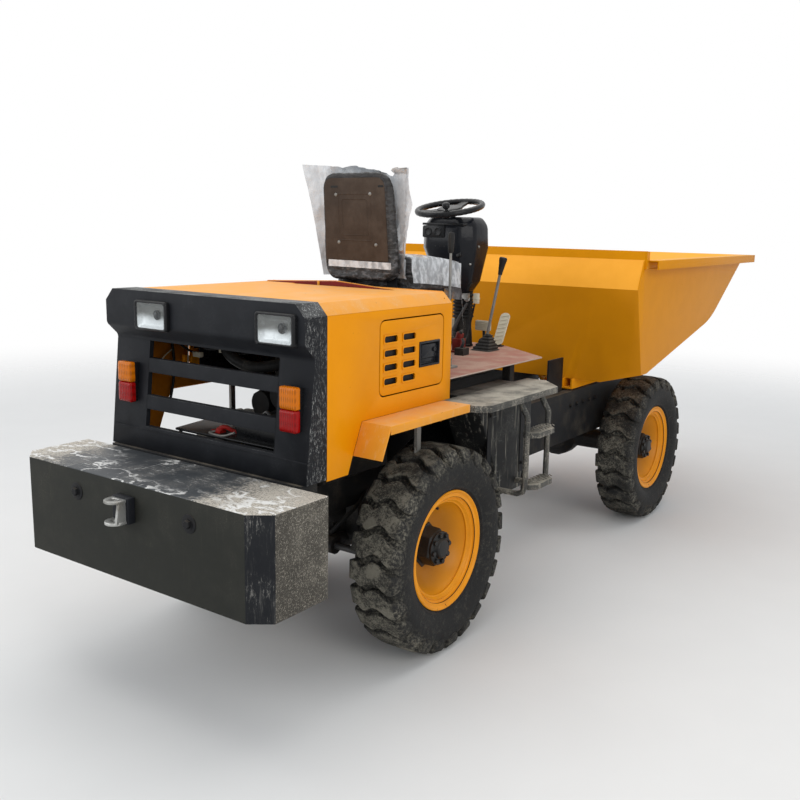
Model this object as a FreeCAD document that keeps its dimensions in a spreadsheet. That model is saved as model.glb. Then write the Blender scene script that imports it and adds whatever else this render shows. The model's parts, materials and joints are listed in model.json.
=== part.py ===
"""Site dumper: a rigid-frame four-wheel machine with a steered rear axle and a front-tipping skip.

Frame of the model: +X to the machine's right, +Y forward to the skip's lip, +Z up, ground at z = 0.
Every sub-part is drawn from the datum under the rear axle and then shifted by DATUM_Y, so that the
origin lies on the ground in the middle of the machine's whole length. Lengths are in millimetres.
"""

import FreeCAD, Part

import math
import os

import Sketcher

SIZES = {
    # wheels and axles
    "wheelbase": 2121.0,
    "wheel_track": 990.0,
    "tyre_radius": 397.0,
    "tyre_width": 214.0,
    "tread_width": 176.0,
    "tread_depth": 16.0,
    "tyre_wall": 17.0,
    "rim_flange_radius": 231.0,
    "rim_seat_radius": 203.0,
    "rim_width": 158.0,
    "rim_wall": 8.0,
    "disc_depth": 62.0,
    "disc_eye_radius": 72.0,
    "spigot_gap": 1.8,
    "hub_flange_radius": 98.0,
    "hub_nose_radius": 66.0,
    "hub_nose_reach": 96.0,
    "drum_radius": 150.0,
    "drum_width": 84.0,
    "wheel_sides": 24,
    "hub_sides": 16,
    "running_gap": 6.0,
    "seat_gap": 0.3,
    # axles, steering
    "casing_radius": 56.0,
    "banjo_radius": 122.0,
    "banjo_width": 190.0,
    "saddle_width": 60.0,
    "saddle_length": 120.0,
    "kingpin_offset": 316.0,
    "kingpin_radius": 17.0,
    "kingpin_height": 216.0,
    "fork_thickness": 26.0,
    "fork_reach": 60.0,
    "fork_radius": 44.0,
    "knuckle_height": 118.0,
    "spindle_radius": 40.0,
    "steer_arm": 168.0,
    "steer_arm_wall": 20.0,
    "steer_cylinder_radius": 34.0,
    "steer_cylinder_length": 330.0,
    "steer_rod_radius": 14.0,
    "steer_eye_radius": 24.0,
    "steer_eye_wall": 28.0,
    "steer_pin_radius": 10.0,
    "steer_slot_reach": 20.0,
    # chassis
    "rear_rail_spacing": 250.0,
    "rear_rail_width": 60.0,
    "rail_bottom": 520.0,
    "rear_rail_top": 640.0,
    "front_rail_outer": 350.0,
    "front_rail_width": 50.0,
    "front_rail_top": 775.0,
    "rail_wall": 8.0,
    "front_rail_start": 440.0,
    "chassis_front": 2500.0,
    "chassis_rear": 725.0,
    "end_plate": 13.0,
    "end_plate_width": 500.0,
    "cross_member": 80.0,
    "outrigger_width": 932.0,
    "outrigger_height": 78.0,
    "middle_cross": 1440.0,
    "cheek_length": 160.0,
    "cheek_top": 950.0,
    "cheek_wall": 10.0,
    # counterweight and tow jaw
    "weight_rear": 1017.0,
    "weight_rear_width": 1046.0,
    "weight_width": 1184.0,
    "weight_corner": 53.0,
    "weight_bottom": 449.0,
    "weight_top": 784.0,
    "weight_rounding": 10.0,
    "weight_wall": 52.0,
    "weight_rib": 70.0,
    "weight_hollow": 200.0,
    "jaw_length": 83.0,
    "jaw_width": 76.0,
    "jaw_bottom": 653.0,
    "jaw_top": 744.0,
    "jaw_plate": 14.0,
    "jaw_pin_radius": 14.0,
    # hood and rear surround
    "hood_width": 956.0,
    "hood_chamfer": 39.0,
    "hood_top": 1355.0,
    "hood_shoulder": 1316.0,
    "hood_rear": 599.0,
    "hood_front": 128.0,
    "hood_sheet": 4.0,
    "hood_slot_start": 44.0,
    "hood_slot_width": 34.0,
    "hood_slot_length": 520.0,
    "side_bottom": 780.0,
    "side_foot_front": 490.0,
    "surround_rear": 706.0,
    "surround_sheet": 5.0,
    "surround_proud": 3.0,
    "brow_bottom": 1232.0,
    "recess_top": 1186.0,
    "recess_face": 658.0,
    "recess_rounding": 24.0,
    "surround_foot": 700.0,
    "surround_bottom": 786.0,
    "window_left": 300.0,
    "window_right": 330.0,
    "window_bottom": 868.0,
    "window_top": 1180.0,
    "slat_height": 46.0,
    "upper_slat": 1067.0,
    "lower_slat": 935.0,
    # doors in the hood's sides
    "door_rear": 320.0,
    "door_front": 70.0,
    "door_bottom": 1020.0,
    "door_top": 1278.0,
    "door_corner": 24.0,
    "door_gap": 5.0,
    "slot_length": 78.0,
    "slot_height": 28.0,
    "latch_border": 7.0,
    "slot_pitch": 49.0,
    "slot_rows": 4,
    "slot_top": 1228.0,
    "slot_rear_column": 300.0,
    "slot_front_column": 190.0,
    "latch_rear": 86.0,
    "latch_length": 131.0,
    "latch_bottom": 1095.0,
    "latch_height": 92.0,
    "latch_proud": 4.0,
    "latch_depth": 26.0,
    "hinge_inset": 10.0,
    "hinge_back": 36.0,
    "hinge_radius": 5.0,
    "hinge_depth": 46.0,
    "hinge_land": 12.0,
    "hinge_arm": 26.0,
    "hinge_arm_wall": 4.0,
    "hinge_upper": 1210.0,
    "hinge_lower": 1066.0,
    # mudguards over the rear wheels
    "guard_top": 950.0,
    "guard_width": 122.0,
    "guard_rear": 418.0,
    "guard_front": 80.0,
    "guard_foot": 466.0,
    "guard_foot_height": 840.0,
    "guard_lip": 30.0,
    "guard_sheet": 4.0,
    # driver's floor
    "floor_top": 1030.0,
    "floor_sheet": 6.0,
    "floor_width": 956.0,
    "floor_corner": 894.0,
    "floor_front": 1127.0,
    "floor_front_width": 316.0,
    "floor_post": 40.0,
    "bulkhead_sheet": 5.0,
    "tunnel_width": 330.0,
    "tunnel_top": 985.0,
    # steps, ladders and side tanks
    "step_top": 940.0,
    "step_lip": 28.0,
    "step_sheet": 5.0,
    "step_inner": 445.0,
    "step_outer": 650.0,
    "step_rear": 112.0,
    "step_front": 820.0,
    "step_rear_corner": 48.0,
    "step_front_corner": 108.0,
    "tank_outer": 520.0,
    "tank_front": 730.0,
    "tank_rear": 280.0,
    "tank_shoulder": 894.0,
    "tank_slope_y": 420.0,
    "tank_slope_z": 630.0,
    "tank_foot_y": 475.0,
    "tank_bottom": 490.0,
    "ladder_out": 660.0,
    "ladder_start": 626.0,
    "ladder_rear": 430.0,
    "ladder_front": 612.0,
    "ladder_tube_radius": 12.5,
    "ladder_bend": 34.0,
    "tube_sides": 6,
    "ladder_foot": 530.0,
    "rung_inner": 640.0,
    "rung_outer": 704.0,
    "rung_corner": 26.0,
    "rung_thickness": 22.0,
    "upper_rung": 790.0,
    "lower_rung": 575.0,
    # seat
    "seat_shift": 12.0,
    "seat_box_width": 380.0,
    "seat_box_rear": 150.0,
    "seat_box_front": 500.0,
    "seat_box_top": 1352.0,
    "seat_box_sheet": 5.0,
    "cushion_width": 430.0,
    "cushion_front": 600.0,
    "cushion_top": 1452.0,
    "cushion_rounding": 28.0,
    "back_width": 380.0,
    "back_rear": 158.0,
    "back_thickness": 62.0,
    "back_bottom": 1376.0,
    "back_top": 1782.0,
    "back_rounding": 60.0,
    "bracket_width": 50.0,
    "bracket_wall": 8.0,
    "film_gap": 4.0,
    "film_sheet": 3.0,
    # steering column and cowl
    "column_y": 985.0,
    "column_radius": 52.0,
    "column_rib": 9.0,
    "column_ribs": 5,
    "column_sides": 12,
    "cowl_y": 900.0,
    "cowl_bottom": 1290.0,
    "cowl_top": 1640.0,
    "cowl_width": 290.0,
    "cowl_length": 236.0,
    "cowl_belly": 1500.0,
    "cowl_foot_width": 120.0,
    "cowl_foot_length": 118.0,
    "cowl_head_width": 224.0,
    "cowl_head_length": 190.0,
    "steering_y": 840.0,
    "steering_z": 1680.0,
    "steering_tilt": 13.0,
    "steering_radius": 152.0,
    "steering_grip": 12.5,
    "steering_hub_radius": 36.0,
    "steering_hub_height": 26.0,
    "steering_shaft_radius": 14.0,
    "spoke_width": 26.0,
    "spoke_wall": 9.0,
    # levers and pedals
    "gear_x": 170.0,
    "gear_y": 915.0,
    "gear_boot_radius": 52.0,
    "gear_boot_height": 74.0,
    "gear_tip_x": 250.0,
    "gear_tip_z": 1465.0,
    "lever_radius": 7.0,
    "grip_radius": 13.0,
    "grip_length": 80.0,
    "brake_x": 330.0,
    "brake_y": 340.0,
    "brake_top": 1575.0,
    "brake_foot": 60.0,
    "pedal_x": 150.0,
    "pedal_y": 1062.0,
    "pedal_width": 52.0,
    "pedal_length": 170.0,
    "pedal_sheet": 9.0,
    "pedal_angle": 62.0,
    "pad_spacing": 120.0,
    "pad_width": 70.0,
    "pad_height": 56.0,
    "pad_centre": 1158.0,
    "pad_arm": 12.0,
    # power train
    "engine_rear": 300.0,
    "engine_front": 96.0,
    "engine_width": 300.0,
    "engine_bottom": 654.0,
    "engine_top": 1130.0,
    "engine_shift": 60.0,
    "head_width": 190.0,
    "head_height": 130.0,
    "sump_width": 220.0,
    "sump_bottom": 560.0,
    "gearbox_front": 560.0,
    "gearbox_width": 230.0,
    "gearbox_height": 260.0,
    "bell_half": 138.0,
    "bell_length": 90.0,
    "transfer_width": 180.0,
    "transfer_length": 86.0,
    "transfer_bottom": 410.0,
    "shaft_radius": 26.0,
    "joint_radius": 48.0,
    "battery_x": 215.0,
    "battery_rear": 590.0,
    "battery_length": 175.0,
    "battery_width": 240.0,
    "battery_height": 150.0,
    # skip
    "skip_rear": 1494.0,
    "skip_length": 1662.0,
    "skip_width": 1404.0,
    "skip_floor_width": 980.0,
    "skip_wall": 5.0,
    "skip_bottom": 893.0,
    "skip_floor_drop": 58.0,
    "skip_foot": 35.0,
    "skip_heel": 107.0,
    "skip_knee_y": 1417.0,
    "skip_knee_z": 1315.0,
    "skip_bend_y": 2570.0,
    "skip_bend_z": 1097.0,
    "skip_bend_radius": 650.0,
    "rim_top": 1455.0,
    "rim_flange_width": 64.0,
    "rim_flange_height": 43.0,
    "back_rim_top": 1497.0,
    "back_rim_height": 45.0,
    "back_rim_width": 35.0,
    "beam_outer": 350.0,
    "beam_width": 60.0,
    "beam_bottom": 786.0,
    "beam_wall": 8.0,
    "beam_rear": 1500.0,
    "beam_front": 2380.0,
    "pivot_y": 2440.0,
    "pivot_z": 700.0,
    "pivot_tube_radius": 30.0,
    "pivot_lug_radius": 54.0,
    "pivot_lug_wall": 18.0,
    "pivot_lug_outer": 290.0,
    # tipping ram
    "ram_foot_y": 1620.0,
    "ram_foot_z": 585.0,
    "ram_eye_y": 2290.0,
    "ram_eye_z": 835.0,
    "ram_eye_radius": 46.0,
    "ram_eye_pin": 12.0,
    "ram_eye_slack": 22.0,
    "ram_barrel_radius": 44.0,
    "ram_rod_radius": 24.0,
    "ram_barrel_length": 470.0,
    "ram_pin_radius": 16.0,
    "ram_ear_gap": 64.0,
    "ram_ear_wall": 14.0,
    "ram_ear_radius": 40.0,
    # lamps
    "lamp_height": 104.0,
    "lamp_bottom": 1223.0,
    "lamp_depth": 18.0,
    "left_lamp_outer": 303.0,
    "right_lamp_outer": 449.0,
    "lamp_width": 168.0,
    "tail_width": 72.0,
    "tail_height": 146.0,
    "tail_bottom": 952.0,
    "tail_depth": 32.0,
    "left_tail_outer": 418.0,
    "right_tail_outer": 446.0,
}

SIDES = {"right": 1, "left": -1}


class Size:
    """A measure that knows its value and the formula by which it follows from the sheet."""

    def __init__(self, value, formula):
        self.value = value
        self.formula = formula

    @staticmethod
    def of(item):
        """Takes a plain number as a measure of its own."""
        return item if isinstance(item, Size) else Size(float(item), f"({item})")

    def _combine(self, other, sign, value):
        return Size(value, f"({self.formula} {sign} {Size.of(other).formula})")

    def __add__(self, other):
        return self._combine(other, "+", self.value + Size.of(other).value)

    def __sub__(self, other):
        return self._combine(other, "-", self.value - Size.of(other).value)

    def __mul__(self, other):
        return self._combine(other, "*", self.value * Size.of(other).value)

    def __truediv__(self, other):
        return self._combine(other, "/", self.value / Size.of(other).value)

    def __radd__(self, other):
        return Size.of(other) + self

    def __rsub__(self, other):
        return Size.of(other) - self

    def __rmul__(self, other):
        return Size.of(other) * self

    def __rtruediv__(self, other):
        return Size.of(other) / self

    def __neg__(self):
        return Size(-self.value, f"(-{self.formula})")


def sine(angle):
    """Sine of a measure in degrees."""
    return Size(math.sin(math.radians(angle.value)), f"sin({angle.formula})")


def cosine(angle):
    """Cosine of a measure in degrees."""
    return Size(math.cos(math.radians(angle.value)), f"cos({angle.formula})")


def root(size):
    """Square root of a measure."""
    return Size(math.sqrt(size.value), f"sqrt({size.formula})")


def arctangent(rise, run):
    """Angle in degrees whose tangent is rise over run."""
    value = math.degrees(math.atan2(rise.value, run.value))
    return Size(value, f"atan2({rise.formula}; {run.formula})")


doc = FreeCAD.newDocument("site_dumper")
sheet = doc.addObject("Spreadsheet::Sheet", "Sizes")
for row, (alias, number) in enumerate(SIZES.items(), start=1):
    sheet.set(f"A{row}", alias)
    sheet.set(f"B{row}", str(number))
    sheet.setAlias(f"B{row}", alias)
doc.recompute()


class Sheet:
    """Gives each named cell of the sheet as a measure."""

    def __getattr__(self, name):
        return Size(float(SIZES[name]), f"Sizes.{name}")

    def count(self, name):
        """A whole number from the sheet."""
        return int(SIZES[name])


S = Sheet()

DATUM_Y = (S.weight_rear + S.jaw_length - S.skip_rear - S.skip_length) / 2
AXLE_Z = S.tyre_radius
HALF_TRACK = S.wheel_track / 2

sub_parts = {}


def bind(item, name, size):
    """Ties one property, or one part of a placement, to its formula."""
    item.setExpression(name, Size.of(size).formula)


def new_body(node, x=0, y=0, z=0):
    """A sub-part, shifted from the rear-axle datum to the middle of the machine."""
    body = doc.addObject("PartDesign::Body", node)
    body.Label = node
    body.AllowCompound = True
    for axis, shift in (("x", x), ("y", DATUM_Y + y), ("z", z)):
        bind(body, f"Placement.Base.{axis}", shift)
    sub_parts[node] = body
    return body


def origin_plane(body, role):
    """One of the body's own origin planes or axes."""
    return next(item for item in body.Origin.OriginFeatures if item.Role == role)


def new_sketch(body, plane, offset):
    """A sketch on an origin plane, moved along the plane's normal by offset."""
    sketch = body.newObject("Sketcher::SketchObject", f"{body.Name}_sketch")
    sketch.AttachmentSupport = [(origin_plane(body, f"{plane}_Plane"), "")]
    sketch.MapMode = "FlatFace"
    bind(sketch, "AttachmentOffset.Base.z", offset)
    return sketch


def corner_arc(before, here, after, radius):
    """Start, end, centre and turn of the round that eases one corner of an outline."""
    back = FreeCAD.Vector(before.x - here.x, before.y - here.y, 0)
    ahead = FreeCAD.Vector(after.x - here.x, after.y - here.y, 0)
    half = back.getAngle(ahead) / 2
    back.normalize()
    ahead.normalize()
    reach = radius / math.tan(half)
    middle = back + ahead
    middle.normalize()
    centre = here + middle * (radius / math.sin(half))
    leftward = back.cross(ahead).z < 0
    return here + back * reach, here + ahead * reach, centre, leftward


def draw_outline(sketch, points, closed=True):
    """Adds an outline of (u, v) or (u, v, radius) corners, each tied to its formulas."""
    corners = [tuple(Size.of(item) for item in point) for point in points]
    spots = [FreeCAD.Vector(corner[0].value, corner[1].value, 0) for corner in corners]
    count = len(corners)
    enters = list(spots)
    leaves = list(spots)
    arcs = {}
    for index, corner in enumerate(corners):
        if len(corner) == 3 and corner[2].value > 0:
            before = spots[index - 1]
            after = spots[(index + 1) % count]
            start, end, centre, leftward = corner_arc(before, spots[index], after, corner[2].value)
            enters[index] = start
            leaves[index] = end
            arcs[index] = (centre, leftward)
    spans = count if closed else count - 1
    first = sketch.GeometryCount
    for index in range(spans):
        sketch.addGeometry(Part.LineSegment(leaves[index], enters[(index + 1) % count]), False)
    constraints = []
    formulas = []
    for index, corner in enumerate(corners):
        line_in = first + (index - 1) % count
        line_out = first + index
        has_in = closed or index > 0
        has_out = closed or index < count - 1
        if index in arcs:
            centre, leftward = arcs[index]
            radius = corner[2].value
            start = enters[index] if leftward else leaves[index]
            end = leaves[index] if leftward else enters[index]
            begin = math.atan2(start.y - centre.y, start.x - centre.x)
            finish = math.atan2(end.y - centre.y, end.x - centre.x)
            circle = Part.Circle(centre, FreeCAD.Vector(0, 0, 1), radius)
            arc = sketch.addGeometry(Part.ArcOfCircle(circle, begin, finish), False)
            spot = sketch.addGeometry(Part.Point(spots[index]), True)
            near, far = (1, 2) if leftward else (2, 1)
            constraints.append(Sketcher.Constraint("Tangent", line_in, 2, arc, near))
            constraints.append(Sketcher.Constraint("Tangent", line_out, 1, arc, far))
            constraints.append(Sketcher.Constraint("PointOnObject", spot, 1, line_in))
            constraints.append(Sketcher.Constraint("PointOnObject", spot, 1, line_out))
            formulas.append((len(constraints), corner[2]))
            constraints.append(Sketcher.Constraint("Radius", arc, radius))
            held = (spot, 1)
        elif has_out:
            held = (line_out, 1)
            if has_in:
                constraints.append(Sketcher.Constraint("Coincident", line_in, 2, line_out, 1))
        else:
            held = (line_in, 2)
        for kind, size in (("DistanceX", corner[0]), ("DistanceY", corner[1])):
            formulas.append((len(constraints), size))
            constraints.append(Sketcher.Constraint(kind, -1, 1, held[0], held[1], size.value))
    add_constraints(sketch, constraints, formulas)


def draw_circle(sketch, u, v, radius):
    """Adds a circle tied to its centre and radius."""
    u, v, radius = Size.of(u), Size.of(v), Size.of(radius)
    centre = FreeCAD.Vector(u.value, v.value, 0)
    circle = Part.Circle(centre, FreeCAD.Vector(0, 0, 1), radius.value)
    index = sketch.addGeometry(circle, False)
    constraints = [
        Sketcher.Constraint("DistanceX", -1, 1, index, 3, u.value),
        Sketcher.Constraint("DistanceY", -1, 1, index, 3, v.value),
        Sketcher.Constraint("Radius", index, radius.value),
    ]
    add_constraints(sketch, constraints, [(0, u), (1, v), (2, radius)])


def add_constraints(sketch, constraints, formulas):
    """Adds the constraints and ties the measured ones to their formulas."""
    base = sketch.ConstraintCount
    sketch.addConstraint(constraints)
    for index, size in formulas:
        sketch.setExpression(f"Constraints[{base + index}]", size.formula)


def draw(sketch, loops):
    """Adds each loop: a list of corners, or a circle as (u, v, radius) marked by a tuple."""
    for loop in loops:
        if isinstance(loop, tuple):
            draw_circle(sketch, *loop)
        else:
            draw_outline(sketch, loop)


def span(plane, start, end):
    """Offset and length of a slab between two places on an axis, along the plane's normal."""
    start, end = Size.of(start), Size.of(end)
    if start.value > end.value:
        start, end = end, start
    return (-end if plane == "XZ" else start), end - start


def pad(body, plane, start, end, *loops):
    """Adds material between two places on the axis that the plane faces."""
    offset, length = span(plane, start, end)
    sketch = new_sketch(body, plane, offset)
    draw(sketch, loops)
    feature = body.newObject("PartDesign::Pad", f"{body.Name}_pad")
    feature.Profile = sketch
    bind(feature, "Length", length)
    return feature


def pocket(body, plane, start, end, *loops):
    """Takes material away between two places on the axis that the plane faces."""
    offset, length = span(plane, start, end)
    sketch = new_sketch(body, plane, offset)
    draw(sketch, loops)
    feature = body.newObject("PartDesign::Pocket", f"{body.Name}_pocket")
    feature.Profile = sketch
    feature.Reversed = True
    bind(feature, "Length", length)
    return feature


def loft(body, plane, sections, cut=False):
    """Joins outlines at their offsets by straight ruled faces; sections are (offset, corners)."""
    sketches = []
    for offset, loop in sections:
        sketch = new_sketch(body, plane, -Size.of(offset) if plane == "XZ" else offset)
        draw(sketch, [loop])
        sketches.append(sketch)
    kind = "SubtractiveLoft" if cut else "AdditiveLoft"
    feature = body.newObject(f"PartDesign::{kind}", f"{body.Name}_loft")
    feature.Profile = sketches[0]
    feature.Sections = sketches[1:]
    feature.Ruled = True
    return feature


def edges_where(body, test):
    """Names of the body's present edges that pass the test."""
    return [f"Edge{i}" for i, edge in enumerate(body.Tip.Shape.Edges, start=1) if test(edge)]


def soften(body, kind, size, test):
    """Rounds or bevels the edges that pass the test."""
    doc.recompute()
    base = body.Tip
    names = edges_where(body, test)
    feature = body.newObject(f"PartDesign::{kind}", f"{body.Name}_{kind.lower()}")
    feature.Base = (base, names)
    bind(feature, "Radius" if kind == "Fillet" else "Size", size)
    return feature


def runs_along(axis):
    """A test for straight edges along one axis."""

    def test(edge):
        step = edge.valueAt(edge.LastParameter) - edge.valueAt(edge.FirstParameter)
        along = abs(getattr(step, axis))
        return step.Length > 0 and along > step.Length * math.cos(math.radians(1))

    return test


def runs_along_rear(edge):
    """The upright edges of the counterweight's rear half."""
    middle = (S.chassis_rear + S.weight_rear).value / -2
    return runs_along("z")(edge) and edge.CenterOfMass.y < middle - S.weight_hollow.value / 2


def rectangle(left, bottom, right, top, radius=0):
    """Four corners, all eased by the same radius."""
    return [
        (left, bottom, radius),
        (right, bottom, radius),
        (right, top, radius),
        (left, top, radius),
    ]


def many_sided(u, v, radius, sides=12):
    """Corners of a regular outline whose flats touch the circle."""
    step = math.radians(360.0 / sides)
    widen = 1 / math.cos(step / 2)
    turns = [(number + 0.5) * step for number in range(sides)]
    return [
        (u + radius * (widen * math.cos(turn)), v + radius * (widen * math.sin(turn)))
        for turn in turns
    ]


def flat_face(corners):
    """A flat face, or two triangles where four corners don't lie in one plane."""
    distinct = [c for i, c in enumerate(corners) if not c.isEqual(corners[i - 1], 1e-6)]
    if len(distinct) < 3:
        return []
    if len(distinct) == 4:
        normal = (distinct[1] - distinct[0]).cross(distinct[2] - distinct[0])
        away = abs(normal.dot(distinct[3] - distinct[0])) / normal.Length
        if away > 1e-4:
            halves = (distinct[:3], [distinct[0], distinct[2], distinct[3]])
            return [Part.Face(Part.makePolygon(half + half[:1])) for half in halves]
    return [Part.Face(Part.makePolygon(distinct + distinct[:1]))]


def flat_sided(rings, endless=False):
    """A solid with flat sides between rings of as many points, capped at its ends or endless."""
    count = len(rings[0])
    faces = []
    ahead = rings[1:] + rings[:1] if endless else rings[1:]
    for ring, following in zip(rings, ahead):
        for i in range(count):
            j = (i + 1) % count
            faces += flat_face([ring[i], ring[j], following[j], following[i]])
    if not endless:
        faces += [Part.Face(Part.makePolygon(ring + ring[:1])) for ring in (rings[0], rings[-1])]
    shell = Part.makeShell(faces)
    shell.sewShape()
    solid = Part.makeSolid(shell)
    if solid.Volume < 0:
        solid.reverse()
    return solid.removeSplitter()


def turned(profile, sides, axis="x"):
    """Flat-sided form turned about an axis from a closed profile of (place, radius).

    A flat lies lowest round the x axis, and its distance from the axis is the profile's radius.
    """
    step = 360.0 / sides
    widen = 1 / math.cos(math.radians(step / 2))
    rings = []
    for number in range(sides):
        angle = math.radians(step * (number + 0.5) - 90)
        ring = []
        for place, radius in profile:
            along = Size.of(place).value
            far = Size.of(radius).value * widen
            spot = (along, far * math.cos(angle), far * math.sin(angle))
            shift = "xyz".index(axis)
            ring.append(FreeCAD.Vector(*(spot[(i - shift) % 3] for i in range(3))))
        rings.append(ring)
    return flat_sided(rings, endless=True)


def eased(path, radius, steps):
    """The path's points with each inner corner replaced by a few points along a round bend."""
    points = [path[0]]
    for before, here, after in zip(path, path[1:], path[2:]):
        start, end, centre, _ = corner_arc(before, here, after, radius)
        for number in range(steps + 1):
            share = number / steps
            spoke = (start - centre) * (1 - share) + (end - centre) * share
            points.append(centre + spoke * (radius / spoke.Length))
    points.append(path[-1])
    return points


def flat_tube(path, place_y, radius, sides):
    """A flat-sided bar along (x, z) points at one y, mitred where it turns."""
    rings = []
    for index, spot in enumerate(path):
        ways = []
        if index > 0:
            ways.append((spot - path[index - 1]).normalize())
        if index < len(path) - 1:
            ways.append((path[index + 1] - spot).normalize())
        along = sum(ways[1:], ways[0])
        along.normalize()
        across = FreeCAD.Vector(-along.y, along.x, 0)
        stretch = 1 / max(ways[0].dot(along), 0.1)
        ring = []
        for number in range(sides):
            angle = math.radians(360.0 * (number + 0.5) / sides)
            place = spot + across * (radius * stretch * math.cos(angle))
            ring.append(FreeCAD.Vector(place.x, place_y + radius * math.sin(angle), place.y))
        rings.append(ring)
    return flat_sided(rings)


def start_from(body, shape):
    """Lets a body begin with a shape made outside its own features."""
    stock = doc.addObject("Part::Feature", f"{body.Name}_stock")
    stock.Shape = shape
    feature = body.newObject("PartDesign::FeatureBase", f"{body.Name}_base")
    feature.BaseFeature = stock
    return feature


def copy_of(node, source, x=0, y=0, z=0, turn=0):
    """A further sub-part with the shape of one already made, turned about its own z axis."""
    body = new_body(node, x, y, z)
    feature = body.newObject("PartDesign::FeatureBase", f"{node}_shape")
    feature.BaseFeature = sub_parts[source]
    body.Placement.Rotation = FreeCAD.Rotation(FreeCAD.Vector(0, 0, 1), turn)
    return body


def mirrored(points):
    """The outline with its mirror image about the v axis, for outlines given on the +u side."""
    return list(points) + [(-Size.of(p[0]), *p[1:]) for p in reversed(points)]


def flipped(points, side):
    """The outline on the asked side of the machine, u counted outwards."""
    return [(side * Size.of(p[0]), *p[1:]) for p in points]


def make_counterweight():
    """Cast block behind the hood, its rear corners cut off."""
    body = new_body("counterweight")
    half = S.weight_width / 2
    rear_half = S.weight_rear_width / 2
    outline = mirrored(
        [
            (rear_half, -S.weight_rear),
            (half, S.weight_corner - S.weight_rear),
            (half, -S.chassis_rear),
        ]
    )
    pad(body, "XY", S.weight_bottom, S.weight_top, outline)
    wall = S.weight_wall
    hollow = rectangle(
        S.weight_rib, S.weight_bottom + wall, half - wall, S.weight_top - wall
    )
    for side in SIDES.values():
        pocket(body, "XZ", -S.chassis_rear - S.weight_hollow, -S.chassis_rear, flipped(hollow, side))
    soften(body, "Fillet", S.weight_rounding, runs_along_rear)


def make_tow_jaw():
    """Clevis on the counterweight's rear face: two plates with a bore for a pin, and a foot."""
    body = new_body("tow_jaw")
    half = S.jaw_width / 2
    face = -S.weight_rear
    tip = face - S.jaw_length
    outline = mirrored([(half, face), (half, tip + half, 0), (half * 0.62, tip)])
    pad(body, "XY", S.jaw_bottom, S.jaw_top, outline)
    slot_bottom = S.jaw_bottom + S.jaw_plate
    slot_top = S.jaw_top - S.jaw_plate
    slot = rectangle(-S.jaw_width, tip - S.jaw_plate, S.jaw_width, face - S.jaw_plate)
    pocket(body, "XY", slot_bottom, slot_top, slot)
    pin_y = tip + half
    pocket(body, "XY", S.jaw_bottom, S.jaw_top, (0, pin_y, S.jaw_pin_radius))
    return body


def rail_section(inner, outer, bottom, top, side):
    """Channel section, open towards the machine's middle."""
    wall = S.rail_wall
    return flipped(
        [
            (inner, bottom),
            (outer, bottom),
            (outer, top),
            (inner, top),
            (inner, top - wall),
            (outer - wall, top - wall),
            (outer - wall, bottom + wall),
            (inner, bottom + wall),
        ],
        side,
    )


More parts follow.
